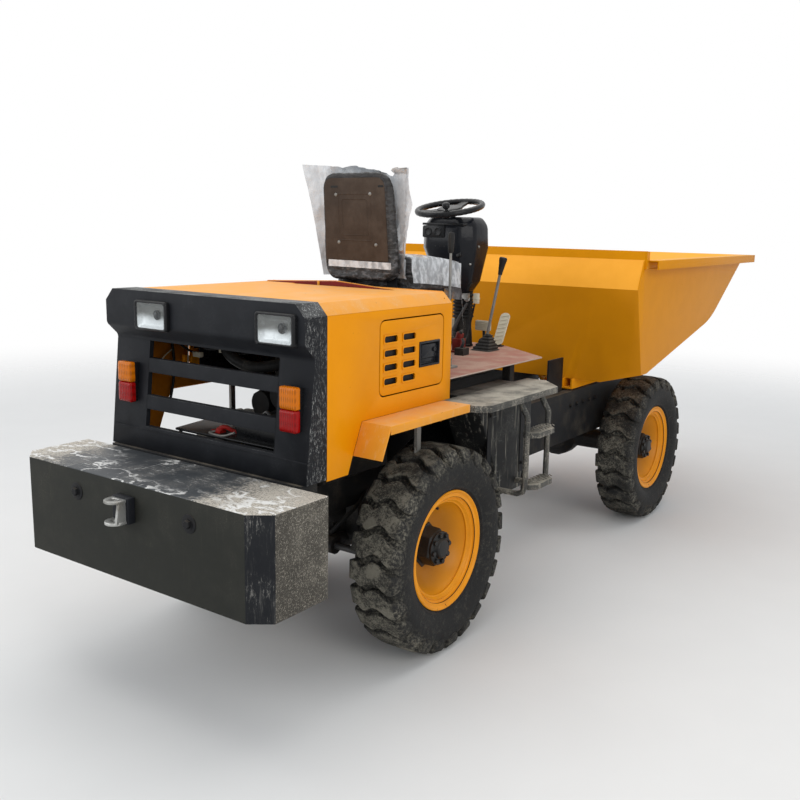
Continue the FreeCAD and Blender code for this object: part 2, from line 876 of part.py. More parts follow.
def make_main_frame():
    """Ladder chassis: narrow channels between the steered wheels, wide ones under the skip."""
    body = new_body("main_frame")
    rear_inner = S.rear_rail_spacing / 2
    rear_outer = rear_inner + S.rear_rail_width
    front_inner = S.front_rail_outer - S.front_rail_width
    wall = S.rail_wall
    start = S.front_rail_start
    cross = S.cross_member
    # the box that joins the narrow rails to the wide ones
    link = rectangle(-S.front_rail_outer, S.rail_bottom, S.front_rail_outer, S.rear_rail_top)
    pad(body, "XZ", start, start + cross, link)
    for side in SIDES.values():
        rear_rail = rail_section(rear_inner, rear_outer, S.rail_bottom, S.rear_rail_top, side)
        pad(body, "XZ", -S.chassis_rear, start, rear_rail)
        front_rail = rail_section(
            front_inner, S.front_rail_outer, S.rail_bottom, S.front_rail_top, side
        )
        pad(body, "XZ", start, S.chassis_front, front_rail)
    # end plate that the counterweight is bolted to, and the beam that carries the hood's rear
    half = S.end_plate_width / 2
    plate_front = S.end_plate - S.chassis_rear
    plate = rectangle(-half, S.rail_bottom, half, S.side_bottom - wall)
    pad(body, "XZ", -S.chassis_rear, plate_front, plate)
    beam = rectangle(
        -S.outrigger_width / 2,
        S.side_bottom - S.outrigger_height,
        S.outrigger_width / 2,
        S.surround_bottom - S.seat_gap,
    )
    pad(body, "XZ", plate_front, plate_front + cross, beam)
    tray_half = S.battery_width / 2 + wall
    tray = rectangle(
        S.battery_x - tray_half,
        plate_front + cross / 2,
        S.battery_x + tray_half,
        S.battery_length - S.battery_rear + wall,
    )
    pad(body, "XY", S.side_bottom - wall, S.side_bottom, tray)
    riser = rectangle(-rear_outer, S.rear_rail_top - wall, rear_outer, S.side_bottom - wall)
    pad(body, "XZ", plate_front, plate_front + cross, riser)
    # cross-members under the skip, the one with the ram's foot and the front one
    for cross_y in (S.middle_cross, S.chassis_front - S.end_plate):
        depth = S.end_plate if cross_y.value > S.middle_cross.value else cross
        member = rectangle(-front_inner - wall, S.rail_bottom, front_inner + wall, S.rear_rail_top)
        pad(body, "XZ", cross_y, cross_y + depth, member)
    # tube that the skip tips about, between the wide rails
    inside = S.front_rail_outer - wall
    pad(body, "YZ", -inside, inside, (S.pivot_y, S.pivot_z, S.pivot_tube_radius))
    # upright cheeks behind the skip, and the posts and tie that carry the driver's floor
    cheek_start = S.skip_rear - S.running_gap * 4 - S.cheek_length
    for side in SIDES.values():
        cheek = rectangle(
            cheek_start, S.front_rail_top - wall, cheek_start + S.cheek_length, S.cheek_top
        )
        pad(body, "YZ", side * front_inner, side * (front_inner + S.cheek_wall), cheek)
    floor_under = S.floor_top - S.floor_sheet
    post_y = S.floor_corner - S.floor_post
    for side in SIDES.values():
        post = flipped(
            [
                (front_inner, post_y),
                (front_inner + S.floor_post, post_y),
                (front_inner + S.floor_post, post_y + S.floor_post),
                (front_inner, post_y + S.floor_post),
            ],
            side,
        )
        pad(body, "XY", S.front_rail_top - wall, floor_under, post)
    tie = rectangle(
        -front_inner - S.floor_post,
        floor_under - S.floor_post,
        front_inner + S.floor_post,
        floor_under,
    )
    pad(body, "XZ", post_y, post_y + S.floor_post, tie)
    make_ram_foot(body)
    return body


def make_ram_foot(body):
    """Two ears on the middle cross-member with the pin that the ram swings on."""
    gap = S.ram_ear_gap / 2
    wall = S.ram_ear_wall
    rear = S.middle_cross + S.cross_member / 2
    for side in SIDES.values():
        ear = [
            (rear, S.rail_bottom),
            (S.ram_foot_y, S.ram_foot_z - S.ram_ear_radius, 0),
            (S.ram_foot_y + S.ram_ear_radius, S.ram_foot_z - S.ram_ear_radius, S.ram_pin_radius),
            (S.ram_foot_y + S.ram_ear_radius, S.ram_foot_z + S.ram_ear_radius, S.ram_pin_radius),
            (rear, S.ram_foot_z + S.ram_ear_radius),
        ]
        pad(body, "YZ", side * gap, side * (gap + wall), ear)
    reach = gap + wall
    pad(body, "YZ", -reach, reach, (S.ram_foot_y, S.ram_foot_z, S.ram_pin_radius))


def surround_profile(shift):
    """Rear face of the surround seen from the side, brow at the top, moved forward by shift."""
    return [
        (shift - S.surround_rear, S.brow_bottom, S.recess_rounding),
        (shift - S.recess_face, S.recess_top, S.recess_rounding),
        (shift - S.surround_foot, S.surround_bottom),
    ]


def make_rear_surround():
    """Pressed frame round the hood's rear opening: brow, recessed face, deep flanges and slats."""
    body = new_body("rear_surround")
    sheet_t = S.surround_sheet
    top = S.hood_top + S.surround_proud
    half = S.hood_width / 2
    top_half = S.hood_width / 2 - S.hood_chamfer
    front = -S.hood_rear
    outer = [(half, S.surround_bottom), (half, S.hood_shoulder), (top_half, top)]
    inner = [
        (half - sheet_t, S.surround_bottom),
        (half - sheet_t, S.hood_shoulder - sheet_t / 2),
        (top_half - sheet_t / 2, top - sheet_t),
    ]
    hoop = outer + [(-Size.of(u), v) for u, v in reversed(outer)]
    hoop += [(-Size.of(u), v) for u, v in inner] + list(reversed(inner))
    pad(body, "XZ", -S.surround_rear, front, hoop)
    far = S.surround_rear + S.surround_sheet
    profile = surround_profile(Size.of(0))
    cut_loop = [
        (-far, S.surround_bottom - sheet_t),
        (profile[2][0], S.surround_bottom - sheet_t),
        profile[2],
        profile[1],
        profile[0],
        (-S.surround_rear, top + sheet_t),
        (-far, top + sheet_t),
    ]
    pocket(body, "YZ", -half - sheet_t, half + sheet_t, cut_loop)
    skin = [(-S.surround_rear, top)] + profile
    skin += list(reversed(surround_profile(sheet_t))) + [(sheet_t - S.surround_rear, top)]
    pad(body, "YZ", -half, half, skin)
    for side in SIDES.values():
        corner = flipped(
            [
                (half + sheet_t, S.hood_shoulder),
                (half, S.hood_shoulder),
                (top_half, top),
                (top_half, top + sheet_t),
                (half + sheet_t, top + sheet_t),
            ],
            side,
        )
        pocket(body, "XZ", -far, front, corner)
    bands = (
        (S.window_bottom, S.lower_slat),
        (S.lower_slat + S.slat_height, S.upper_slat),
        (S.upper_slat + S.slat_height, S.window_top),
    )
    windows = [rectangle(-S.window_left, low, S.window_right, high) for low, high in bands]
    pocket(body, "XZ", -far, front, *windows)
    return body


def make_hood_top():
    """Folded top sheet with bevelled shoulders and a long slot before the seat."""
    body = new_body("hood_top")
    half = S.hood_width / 2
    top_half = S.hood_width / 2 - S.hood_chamfer
    sheet_t = S.hood_sheet
    fold = [
        (half, S.hood_shoulder),
        (top_half, S.hood_top),
    ]
    under = [
        (half - sheet_t, S.hood_shoulder),
        (top_half - sheet_t / 2, S.hood_top - sheet_t),
    ]
    loop = fold + [(-Size.of(u), v) for u, v in reversed(fold)]
    loop += [(-Size.of(u), v) for u, v in under] + list(reversed(under))
    pad(body, "XZ", -S.hood_rear + S.seat_gap, S.hood_front, loop)
    slot_half = S.hood_slot_length / 2
    slot = rectangle(
        -slot_half, S.hood_slot_start, slot_half, S.hood_slot_start + S.hood_slot_width
    )
    pocket(body, "XY", S.hood_top - sheet_t * 2, S.hood_top + sheet_t, slot)
    return body


def door_outline(gap):
    """The door's rounded outline in its side, grown by gap."""
    return rectangle(
        -S.door_rear - gap,
        S.door_bottom - gap,
        S.door_front + gap,
        S.door_top + gap,
        S.door_corner + gap,
    )


def hinge_axis():
    """Where the hidden hinge pin stands inside the side, and how far outside lies."""
    face = S.hood_width / 2 - S.hood_sheet
    return face - S.hinge_inset, -S.door_rear - S.door_gap - S.hinge_back


def make_hood_sides():
    """The two side sheets, cut round the wheel and the mudguard, with the door openings."""
    body = new_body("hood_sides")
    outer = S.hood_width / 2
    inner = outer - S.hood_sheet
    under_guard = S.guard_top + S.seat_gap
    outline = [
        (-S.hood_rear + S.seat_gap, S.side_bottom),
        (-S.side_foot_front, S.side_bottom),
        (-S.guard_foot, S.guard_foot_height),
        (-S.guard_rear, under_guard),
        (S.hood_front, under_guard),
        (S.hood_front, S.hood_shoulder - S.seat_gap),
        (-S.hood_rear + S.seat_gap, S.hood_shoulder - S.seat_gap),
    ]
    pin_x, pin_y = hinge_axis()
    for side in SIDES.values():
        pad(body, "YZ", side * inner, side * outer, outline, door_outline(S.door_gap))
        # hinge pins on the inner face, behind the door's rear edge
        base = S.hinge_lower - S.hinge_arm / 2
        foot = flipped(
            [
                (pin_x - S.hinge_radius, pin_y - S.hinge_radius),
                (inner + S.hood_sheet / 2, pin_y - S.hinge_radius),
                (inner + S.hood_sheet / 2, pin_y + S.hinge_radius),
                (pin_x - S.hinge_radius, pin_y + S.hinge_radius),
            ],
            side,
        )
        pad(body, "XY", base - S.hinge_arm_wall * 2, base, foot)
        top = S.hinge_upper + S.hinge_arm / 2
        pad(body, "XY", base - 1, top, (side * pin_x, pin_y, S.hinge_radius / 2))
    return body


def make_door(name, side):
    """Louvred access door with its latch housing, carried by two curved hinge arms."""
    body = new_body(f"door_{name}")
    outer = S.hood_width / 2
    inner = outer - S.hood_sheet
    slots = []
    for start in (-S.slot_rear_column, -S.slot_front_column):
        for number in range(S.count("slot_rows")):
            top = S.slot_top - S.slot_pitch * number
            slots.append(
                rectangle(start, top - S.slot_height, start + S.slot_length, top)
            )
    latch = rectangle(
        -S.latch_rear,
        S.latch_bottom,
        S.latch_length - S.latch_rear,
        S.latch_bottom + S.latch_height,
    )
    pad(body, "YZ", side * inner, side * outer, door_outline(Size.of(0)), *slots)
    pad(body, "YZ", side * (inner - S.latch_depth), side * (outer + S.latch_proud), latch)
    rim = S.latch_border
    hollow = rectangle(
        rim - S.latch_rear,
        S.latch_bottom + rim,
        S.latch_length - S.latch_rear - rim,
        S.latch_bottom + S.latch_height - rim,
    )
    floor = outer - S.latch_depth / 2
    pocket(body, "YZ", side * floor, side * (outer + S.latch_proud * 2), hollow)
    pin_x, pin_y = hinge_axis()
    wall = S.hinge_arm_wall
    deep = pin_x - S.hinge_depth
    reach = S.hinge_back + S.door_gap + S.hinge_land
    for height in (S.hinge_lower, S.hinge_upper):
        low = height - S.hinge_arm / 2 + S.seat_gap
        high = height + S.hinge_arm / 2
        arm = flipped(
            [
                (pin_x, pin_y),
                (deep, pin_y),
                (deep, pin_y + reach),
                (inner + wall / 4, pin_y + reach),
                (inner + wall / 4, pin_y + reach - wall),
                (deep + wall, pin_y + reach - wall),
                (deep + wall, pin_y + wall),
                (pin_x, pin_y + wall),
            ],
            side,
        )
        pad(body, "XY", low, high, arm)
        knuckle = S.hinge_radius + wall / 2
        pad(body, "XY", low, high, many_sided(side * pin_x, pin_y, knuckle, 8))
        bore = S.hinge_radius / 2 + S.seat_gap
        pocket(body, "XY", low - wall, high + wall, (side * pin_x, pin_y, bore))
    return body


def make_mudguards():
    """Bent sheets over the rear wheels, with a turned-down lip and a sloping flap."""
    body = new_body("mudguards")
    inner = S.hood_width / 2 + S.seat_gap
    outer = inner + S.guard_width
    sheet_t = S.guard_sheet
    band = [
        (S.guard_front, S.guard_top),
        (-S.guard_rear, S.guard_top),
        (-S.guard_foot, S.guard_foot_height),
        (sheet_t - S.guard_foot, S.guard_foot_height),
        (sheet_t - S.guard_rear, S.guard_top - sheet_t),
        (S.guard_front, S.guard_top - sheet_t),
    ]
    lip = [
        (S.guard_front, S.guard_top),
        (-S.guard_rear, S.guard_top),
        (-S.guard_rear, S.guard_top - S.guard_lip),
        (S.guard_front, S.guard_top - S.guard_lip),
    ]
    for side in SIDES.values():
        pad(body, "YZ", side * inner, side * outer, band)
        pad(body, "YZ", side * (outer - sheet_t), side * outer, lip)
    return body


def make_bulkhead():
    """Front wall of the hood, open over the clutch housing."""
    body = new_body("bulkhead")
    half = S.hood_width / 2 - S.hood_sheet
    rear = S.hood_front - S.bulkhead_sheet
    top = S.hood_shoulder - S.hood_sheet
    tunnel = S.tunnel_width / 2
    foot = S.rear_rail_top + S.seat_gap
    crown = S.hood_top - S.hood_sheet - S.seat_gap
    top_half = S.hood_width / 2 - S.hood_chamfer - S.hood_sheet
    outline = mirrored(
        [
            (tunnel, foot),
            (S.rear_rail_spacing / 2 + S.rear_rail_width, foot),
            (S.step_inner - S.seat_gap, S.step_top - S.step_lip),
            (S.step_inner - S.seat_gap, S.guard_top + S.seat_gap),
            (half - S.seat_gap, S.guard_top + S.seat_gap),
            (half - S.seat_gap, top),
            (top_half, crown),
        ]
    )
    tunnel_loop = [(-tunnel, S.tunnel_top), (tunnel, S.tunnel_top)]
    pad(body, "XZ", rear, S.hood_front, outline + tunnel_loop)
    return body


def make_floor():
    """Driver's floor plate, its front corners cut off."""
    body = new_body("floor_plate")
    half = S.floor_width / 2
    outline = mirrored(
        [
            (half, S.hood_front + S.seat_gap),
            (half, S.floor_corner),
            (S.floor_front_width / 2, S.floor_front),
        ]
    )
    pad(body, "XY", S.floor_top - S.floor_sheet, S.floor_top, outline)
    return body


def make_steps():
    """Chequered step plates on both sides, turned down all round."""
    body = new_body("step_plates")
    bottom = S.step_top - S.step_lip
    sheet_t = S.step_sheet

    def outline(inset):
        return [
            (S.step_inner - inset, S.step_rear + inset),
            (S.step_outer - S.step_rear_corner - inset / 2, S.step_rear + inset),
            (S.step_outer - inset, S.step_rear + S.step_rear_corner + inset / 2),
            (S.step_outer - inset, S.step_front - S.step_front_corner - inset / 2),
            (S.step_outer - S.step_front_corner - inset / 2, S.step_front - inset),
            (S.step_inner - inset, S.step_front - inset),
        ]

    for side in SIDES.values():
        pad(body, "XY", bottom, S.step_top, flipped(outline(Size.of(0)), side))
        pocket(body, "XY", bottom, S.step_top - sheet_t, flipped(outline(sheet_t), side))
    return body


def make_side_tanks():
    """Fuel tank and oil tank under the steps, their rear ends cut back for the wheels."""
    body = new_body("side_tanks")
    inner = S.front_rail_outer + S.seat_gap
    top = S.step_top - S.step_sheet - S.seat_gap
    outline = [
        (S.tank_rear, top),
        (S.tank_rear, S.tank_shoulder),
        (S.tank_slope_y, S.tank_slope_z),
        (S.tank_foot_y, S.tank_bottom),
        (S.tank_front, S.tank_bottom),
        (S.tank_front, top),
    ]
    for side in SIDES.values():
        pad(body, "YZ", side * inner, side * S.tank_outer, outline)
    return body


def make_ladders():
    """Bent tubes from the step down to the tank, with two rungs between them."""
    body = new_body("ladders")
    radius = S.ladder_tube_radius
    start_z = S.step_top - S.step_sheet - S.seat_gap
    foot = S.ladder_foot
    route = (
        (S.ladder_start, start_z),
        (S.ladder_start, start_z - S.step_lip),
        (S.ladder_out, start_z - S.step_lip * 3),
        (S.ladder_out, foot),
        (S.tank_outer + S.seat_gap, foot),
    )
    tubes = []
    for side in SIDES.values():
        path = [FreeCAD.Vector(side * u.value, v.value, 0) for u, v in route]
        bent = eased(path, S.ladder_bend.value, 2)
        for tube_y in (S.ladder_rear, S.ladder_front):
            tubes.append(flat_tube(bent, tube_y.value, radius.value, S.count("tube_sides")))
    start_from(body, Part.makeCompound(tubes))
    for side in SIDES.values():
        for rung_top in (S.upper_rung, S.lower_rung):
            rung = flipped(
                [
                    (S.rung_inner, S.ladder_rear),
                    (S.rung_outer - S.rung_corner, S.ladder_rear),
                    (S.rung_outer, S.ladder_rear + S.rung_corner),
                    (S.rung_outer, S.ladder_front - S.rung_corner),
                    (S.rung_outer - S.rung_corner, S.ladder_front),
                    (S.rung_inner, S.ladder_front),
                ],
                side,
            )
            pad(body, "XY", rung_top - S.rung_thickness, rung_top, rung)
    return body


def make_seat():
    """Seat box, cushion, back and the loose film over the back."""
    shift = S.seat_shift
    box = new_body("seat_base", x=shift)
    half = S.seat_box_width / 2
    sheet_t = S.seat_box_sheet
    footprint = rectangle(-half, S.seat_box_rear, half, S.seat_box_front)
    pad(box, "XY", S.floor_top + S.seat_gap, S.seat_box_top, footprint)
    hollow = rectangle(
        sheet_t - half, S.seat_box_rear + sheet_t, half - sheet_t, S.seat_box_front - sheet_t
    )
    pocket(box, "XY", S.floor_top, S.seat_box_top - sheet_t, hollow)
    # bracket that carries the back, an angle bent up behind the cushion
    bracket_rear = S.back_rear + S.back_thickness + S.seat_gap
    bracket = [
        (bracket_rear, S.seat_box_top - sheet_t / 2),
        (S.seat_box_front - S.bracket_width, S.seat_box_top - sheet_t / 2),
        (S.seat_box_front - S.bracket_width, S.seat_box_top + S.bracket_wall),
        (bracket_rear + S.bracket_wall, S.seat_box_top + S.bracket_wall),
        (bracket_rear + S.bracket_wall, S.cushion_top + S.bracket_width),
        (bracket_rear, S.cushion_top + S.bracket_width),
    ]
    for side in SIDES.values():
        inner = side * (half - S.bracket_width * 2)
        outer = side * (half - S.bracket_width)
        pad(box, "YZ", inner, outer, bracket)
    cushion = new_body("seat_cushion", x=shift)
    half = S.cushion_width / 2
    bottom = S.seat_box_top + S.bracket_wall + S.seat_gap
    rear = bracket_rear + S.bracket_wall + S.seat_gap * 2
    outline = rectangle(-half, rear, half, S.cushion_front, S.cushion_rounding)
    pad(cushion, "XY", bottom, S.cushion_top, outline)
    back = new_body("seat_back", x=shift)
    half = S.back_width / 2
    outline = [
        (-half, S.back_bottom),
        (half, S.back_bottom),
        (half, S.back_top, S.back_rounding),
        (-half, S.back_top, S.back_rounding),
    ]
    pad(back, "XZ", S.back_rear, S.back_rear + S.back_thickness, outline)
    film = new_body("seat_film", x=shift)
    gap = S.film_gap
    wall = S.film_sheet
    rear = S.back_rear - gap
    front = S.back_rear + S.back_thickness + gap
    half_in = half + gap
    half_out = half_in + wall
    low = S.cushion_top + S.bracket_width + S.film_gap
    loop = rectangle(-half_out, rear - wall, half_out, front + wall)
    crown = S.back_top + S.seat_gap
    pad(film, "XY", low, crown + wall, loop)
    pocket(film, "XY", low, crown, rectangle(-half_in, rear, half_in, front))
    return box


def make_column():
    """Ribbed column boot from the floor up to the cowl."""
    body = new_body("column_boot", y=S.column_y)
    low = S.floor_top + S.seat_gap
    high = S.cowl_bottom - S.seat_gap
    pitch = (high - low) / S.count("column_ribs")
    inner = S.column_radius - S.column_rib
    outline = [(high, 0), (low, 0), (low, S.column_radius)]
    for number in range(S.count("column_ribs")):
        base = low + pitch * number
        outline += [(base + pitch * 0.35, S.column_radius), (base + pitch * 0.5, inner)]
        outline.append((base + pitch * 0.85, inner))
        if number < S.count("column_ribs") - 1:
            outline.append((base + pitch, S.column_radius))
    outline.append((high, inner))
    start_from(body, turned(outline, S.count("column_sides"), "z"))


def make_cowl():
    """Moulded cowl round the steering head, widest at its belly."""
    body = new_body("binnacle", y=S.cowl_y)
    foot_shift = (S.column_y - S.cowl_y) * 0.6
    # height, width, length, forward shift, corner
    rows = (
        (S.cowl_bottom, S.cowl_foot_width, S.cowl_foot_length, foot_shift, 0.24),
        (S.cowl_bottom + 56, S.cowl_width * 0.78, S.cowl_length * 0.8, foot_shift * 0.5, 0.26),
        (S.cowl_belly, S.cowl_width, S.cowl_length, Size.of(0), 0.24),
        (S.cowl_top - 36, S.cowl_width * 0.96, S.cowl_length * 0.96, Size.of(0), 0.24),
        (S.cowl_top, S.cowl_head_width, S.cowl_head_length, Size.of(0), 0.24),
    )
    sections = []
    for height, width, length, shift, corner in rows:
        half, reach, cut = width / 2, length / 2, length * corner
        loop = mirrored(
            [
                (half - cut, shift - reach),
                (half, shift - reach + cut),
                (half, shift + reach - cut),
                (half - cut, shift + reach),
            ]
        )
        points = [FreeCAD.Vector(Size.of(u).value, v.value, height.value) for u, v in loop]
        sections.append(points)
    start_from(body, flat_sided(sections))


def make_steering_wheel():
    """Rim, three spokes, hub and the shaft down into the cowl, about its own tilted axis."""
    body = new_body("steering_wheel", y=S.steering_y, z=S.steering_z)
    body.Placement.Rotation = FreeCAD.Rotation(FreeCAD.Vector(1, 0, 0), 0)
    bind(body, "Placement.Rotation.Axis.x", 1)
    bind(body, "Placement.Rotation.Axis.y", 0)
    bind(body, "Placement.Rotation.Axis.z", 0)
    bind(body, "Placement.Rotation.Angle", S.steering_tilt)
    sides = S.count("wheel_sides")
    ring = [
        (
            S.steering_grip * math.sin(math.radians(60 * corner)),
            S.steering_radius + S.steering_grip * math.cos(math.radians(60 * corner)),
        )
        for corner in range(6)
    ]
    rim = turned(ring, sides, "z")
    hub = turned(
        [
            (0, 0),
            (0, S.steering_hub_radius),
            (-S.steering_hub_height / 2, S.steering_hub_radius),
            (-S.steering_hub_height, S.steering_hub_radius * 0.6),
            (-S.steering_hub_height, 0),
        ],
        S.count("column_sides"),
        "z",
    )
    start_from(body, rim.fuse(hub))
    half = S.spoke_width / 2
    near = S.steering_hub_radius * 0.8
    far = S.steering_radius - S.steering_grip * 0.4
    corners = ((near, -half), (far, -half), (far, half), (near, half))
    for angle in (90, 210, 330):
        along = math.cos(math.radians(angle))
        across = math.sin(math.radians(angle))
        spoke = [(u * along - v * across, u * across + v * along) for u, v in corners]
        pad(body, "XY", -S.spoke_wall, 0, spoke)
    drop = S.steering_z - S.cowl_top - S.seat_gap
    lean = S.steering_tilt
    reach = (drop - S.steering_shaft_radius * sine(lean)) / cosine(lean)
    pad(body, "XY", -reach, -S.steering_hub_height / 2, (0, 0, S.steering_shaft_radius))


def make_levers():
    """Hand brake beside the seat and gear lever in its boot, each a rod with a grip."""
    body = new_body("levers")
    low = S.floor_top + S.seat_gap
    brake = (S.brake_x, S.brake_y)
    foot = S.brake_foot / 2
    plate = rectangle(brake[0] - foot, brake[1] - foot, brake[0] + foot, brake[1] + foot)
    pad(body, "XY", low, low + S.pedal_sheet, plate)
    pad(body, "XY", low, S.brake_top - S.grip_length, (*brake, S.lever_radius))
    grip_start = S.brake_top - S.grip_length
    pad(body, "XY", grip_start, S.brake_top, (*brake, S.grip_radius))
    # the gear lever leans outwards from its bellows
    run = S.gear_tip_x - S.gear_x
    rise = S.gear_tip_z - S.floor_top
    boot = rectangle(
        S.gear_x - S.gear_boot_radius,
        S.gear_y - S.gear_boot_radius,
        S.gear_x + S.gear_boot_radius,
        S.gear_y + S.gear_boot_radius,
    )
    slim = S.gear_boot_radius * 0.4
    neck_x = S.gear_x + run * S.gear_boot_height / rise
    neck = rectangle(neck_x - slim, S.gear_y - slim, neck_x + slim, S.gear_y + slim)
    bellows = []
    for loop, height in ((boot, low), (neck, low + S.gear_boot_height)):
        bellows.append([FreeCAD.Vector(u.value, v.value, height.value) for u, v, _ in loop])
    start_from(body, flat_sided(bellows))
    lean = [
        (S.gear_x - S.lever_radius, low),
        (S.gear_x + S.lever_radius, low),
        (S.gear_tip_x + S.lever_radius, S.gear_tip_z),
        (S.gear_tip_x - S.lever_radius, S.gear_tip_z),
    ]
    pad(body, "XZ", S.gear_y - S.lever_radius, S.gear_y + S.lever_radius, lean)
    share = S.grip_length / rise
    grip_x = S.gear_tip_x - run * share
    knob = [
        (grip_x - S.grip_radius, S.gear_tip_z - S.grip_length),
        (grip_x + S.grip_radius, S.gear_tip_z - S.grip_length),
        (S.gear_tip_x + S.grip_radius, S.gear_tip_z),
        (S.gear_tip_x - S.grip_radius, S.gear_tip_z),
    ]
    pad(body, "XZ", S.gear_y - S.grip_radius, S.gear_y + S.grip_radius, knob)
    return body


def make_pedals():
    """Accelerator plate on its hinge, and brake and clutch pads on arms from the floor."""
    body = new_body("foot_pedals")
    low = S.floor_top + S.seat_gap
    half = S.pedal_width / 2
    run = S.pedal_length * cosine(S.pedal_angle)
    rise = S.pedal_length * sine(S.pedal_angle)
    wall = S.pedal_sheet
    plate = [
        (S.pedal_y, low),
        (S.pedal_y + wall, low),
        (S.pedal_y + wall + run, low + rise),
        (S.pedal_y + run, low + rise),
    ]
    pad(body, "YZ", S.pedal_x - half, S.pedal_x + half, plate)
    for number in (1, 2):
        centre = S.pedal_x - S.pad_spacing * number
        arm_y = S.pedal_y - S.pad_arm
        arm = rectangle(arm_y, low, arm_y + S.pad_arm, S.pad_centre)
        pad(body, "YZ", centre - S.pad_arm / 2, centre + S.pad_arm / 2, arm)
        foot = rectangle(
            centre - S.pad_arm * 2, arm_y - S.pad_arm, centre + S.pad_arm * 2, arm_y + S.pad_arm * 2
        )
        pad(body, "XY", low, low + wall, foot)
        pad_y = arm_y - wall
        half_height = S.pad_height / 2
        face = rectangle(
            centre - S.pad_width / 2,
            S.pad_centre - half_height,
            centre + S.pad_width / 2,
            S.pad_centre + half_height,
            wall,
        )
        pad(body, "XZ", pad_y, arm_y + 1, face)
    return body


def make_engine():
    """Engine with head, sump and clutch housing, and the gearbox under the driver's floor."""
    body = new_body("engine", x=S.engine_shift)
    half = S.engine_width / 2
    block_top = S.engine_top - S.head_height
    block = rectangle(-half, S.engine_bottom, half, block_top)
    pad(body, "XZ", -S.engine_rear, S.engine_front, block)
    rail_half = S.rear_rail_spacing / 2 + S.rear_rail_width
    feet = rectangle(
        -rail_half - S.engine_shift,
        S.rear_rail_top + S.seat_gap,
        rail_half - S.engine_shift,
        S.engine_bottom + S.rail_wall,
    )
    for foot_y in (-S.engine_rear + S.rail_wall, S.engine_front - S.saddle_width):
        pad(body, "XZ", foot_y, foot_y + S.saddle_width / 2, feet)
    sump = rectangle(
        -S.sump_width / 2 - S.engine_shift,
        S.sump_bottom,
        S.sump_width / 2 - S.engine_shift,
        S.engine_bottom + 1,
    )
    pad(body, "XZ", -S.engine_rear / 2, S.engine_front - S.rail_wall, sump)
    head = rectangle(-S.head_width / 2, block_top - 1, S.head_width / 2, S.engine_top)
    pad(body, "XZ", -S.engine_rear + S.rail_wall, S.engine_front - S.rail_wall, head)
    return body


def make_gearbox():
    """Clutch housing and gearbox, sump between the rails, and the output flange."""
    body = new_body("gearbox")
    middle = S.engine_bottom + S.gearbox_height / 2
    rear = S.engine_front + S.seat_gap
    bell = rear + S.bell_length
    half = S.gearbox_width / 2
    rings = []
    for place, reach in ((rear, S.bell_half), (bell, half), (S.gearbox_front, half * 0.86)):
        corners = ((-reach, -reach), (reach, -reach), (reach, reach), (-reach, reach))
        rings.append(
            [FreeCAD.Vector(u.value, place.value, v.value + middle.value) for u, v in corners]
        )
    start_from(body, flat_sided(rings))
    drop_half = S.transfer_width / 2
    drop_start = S.front_rail_start + S.cross_member + S.running_gap
    drop = rectangle(-drop_half, S.transfer_bottom, drop_half, middle + half * 0.7)
    pad(body, "XZ", drop_start, drop_start + S.transfer_length, drop)


def make_driveshafts():
    """Shafts from the transfer box to both axles, under the cross-members."""
    body = new_body("driveshafts")
    box_rear = S.front_rail_start + S.cross_member + S.running_gap
    box_front = box_rear + S.transfer_length
    start_z = S.transfer_bottom + S.joint_radius
    radius = S.shaft_radius
    reach = S.banjo_radius + S.seat_gap
    runs = ((box_front + S.seat_gap, S.wheelbase - reach), (box_rear - S.seat_gap, reach))
    for start_y, end_y in runs:
        shaft = [
            (start_y, start_z + radius),
            (start_y, start_z - radius),
            (end_y, AXLE_Z - radius),
            (end_y, AXLE_Z + radius),
        ]
        pad(body, "YZ", -radius, radius, shaft)


def make_battery():
    """Battery on its tray behind the engine."""
    body = new_body("battery")
    half = S.battery_width / 2
    low = S.side_bottom + S.seat_gap
    loop = [
        (S.battery_x - half, -S.battery_rear),
        (S.battery_x + half, -S.battery_rear),
        (S.battery_x + half, S.battery_length - S.battery_rear),
        (S.battery_x - half, S.battery_length - S.battery_rear),
    ]
    pad(body, "XY", low, low + S.battery_height, loop)
    return body


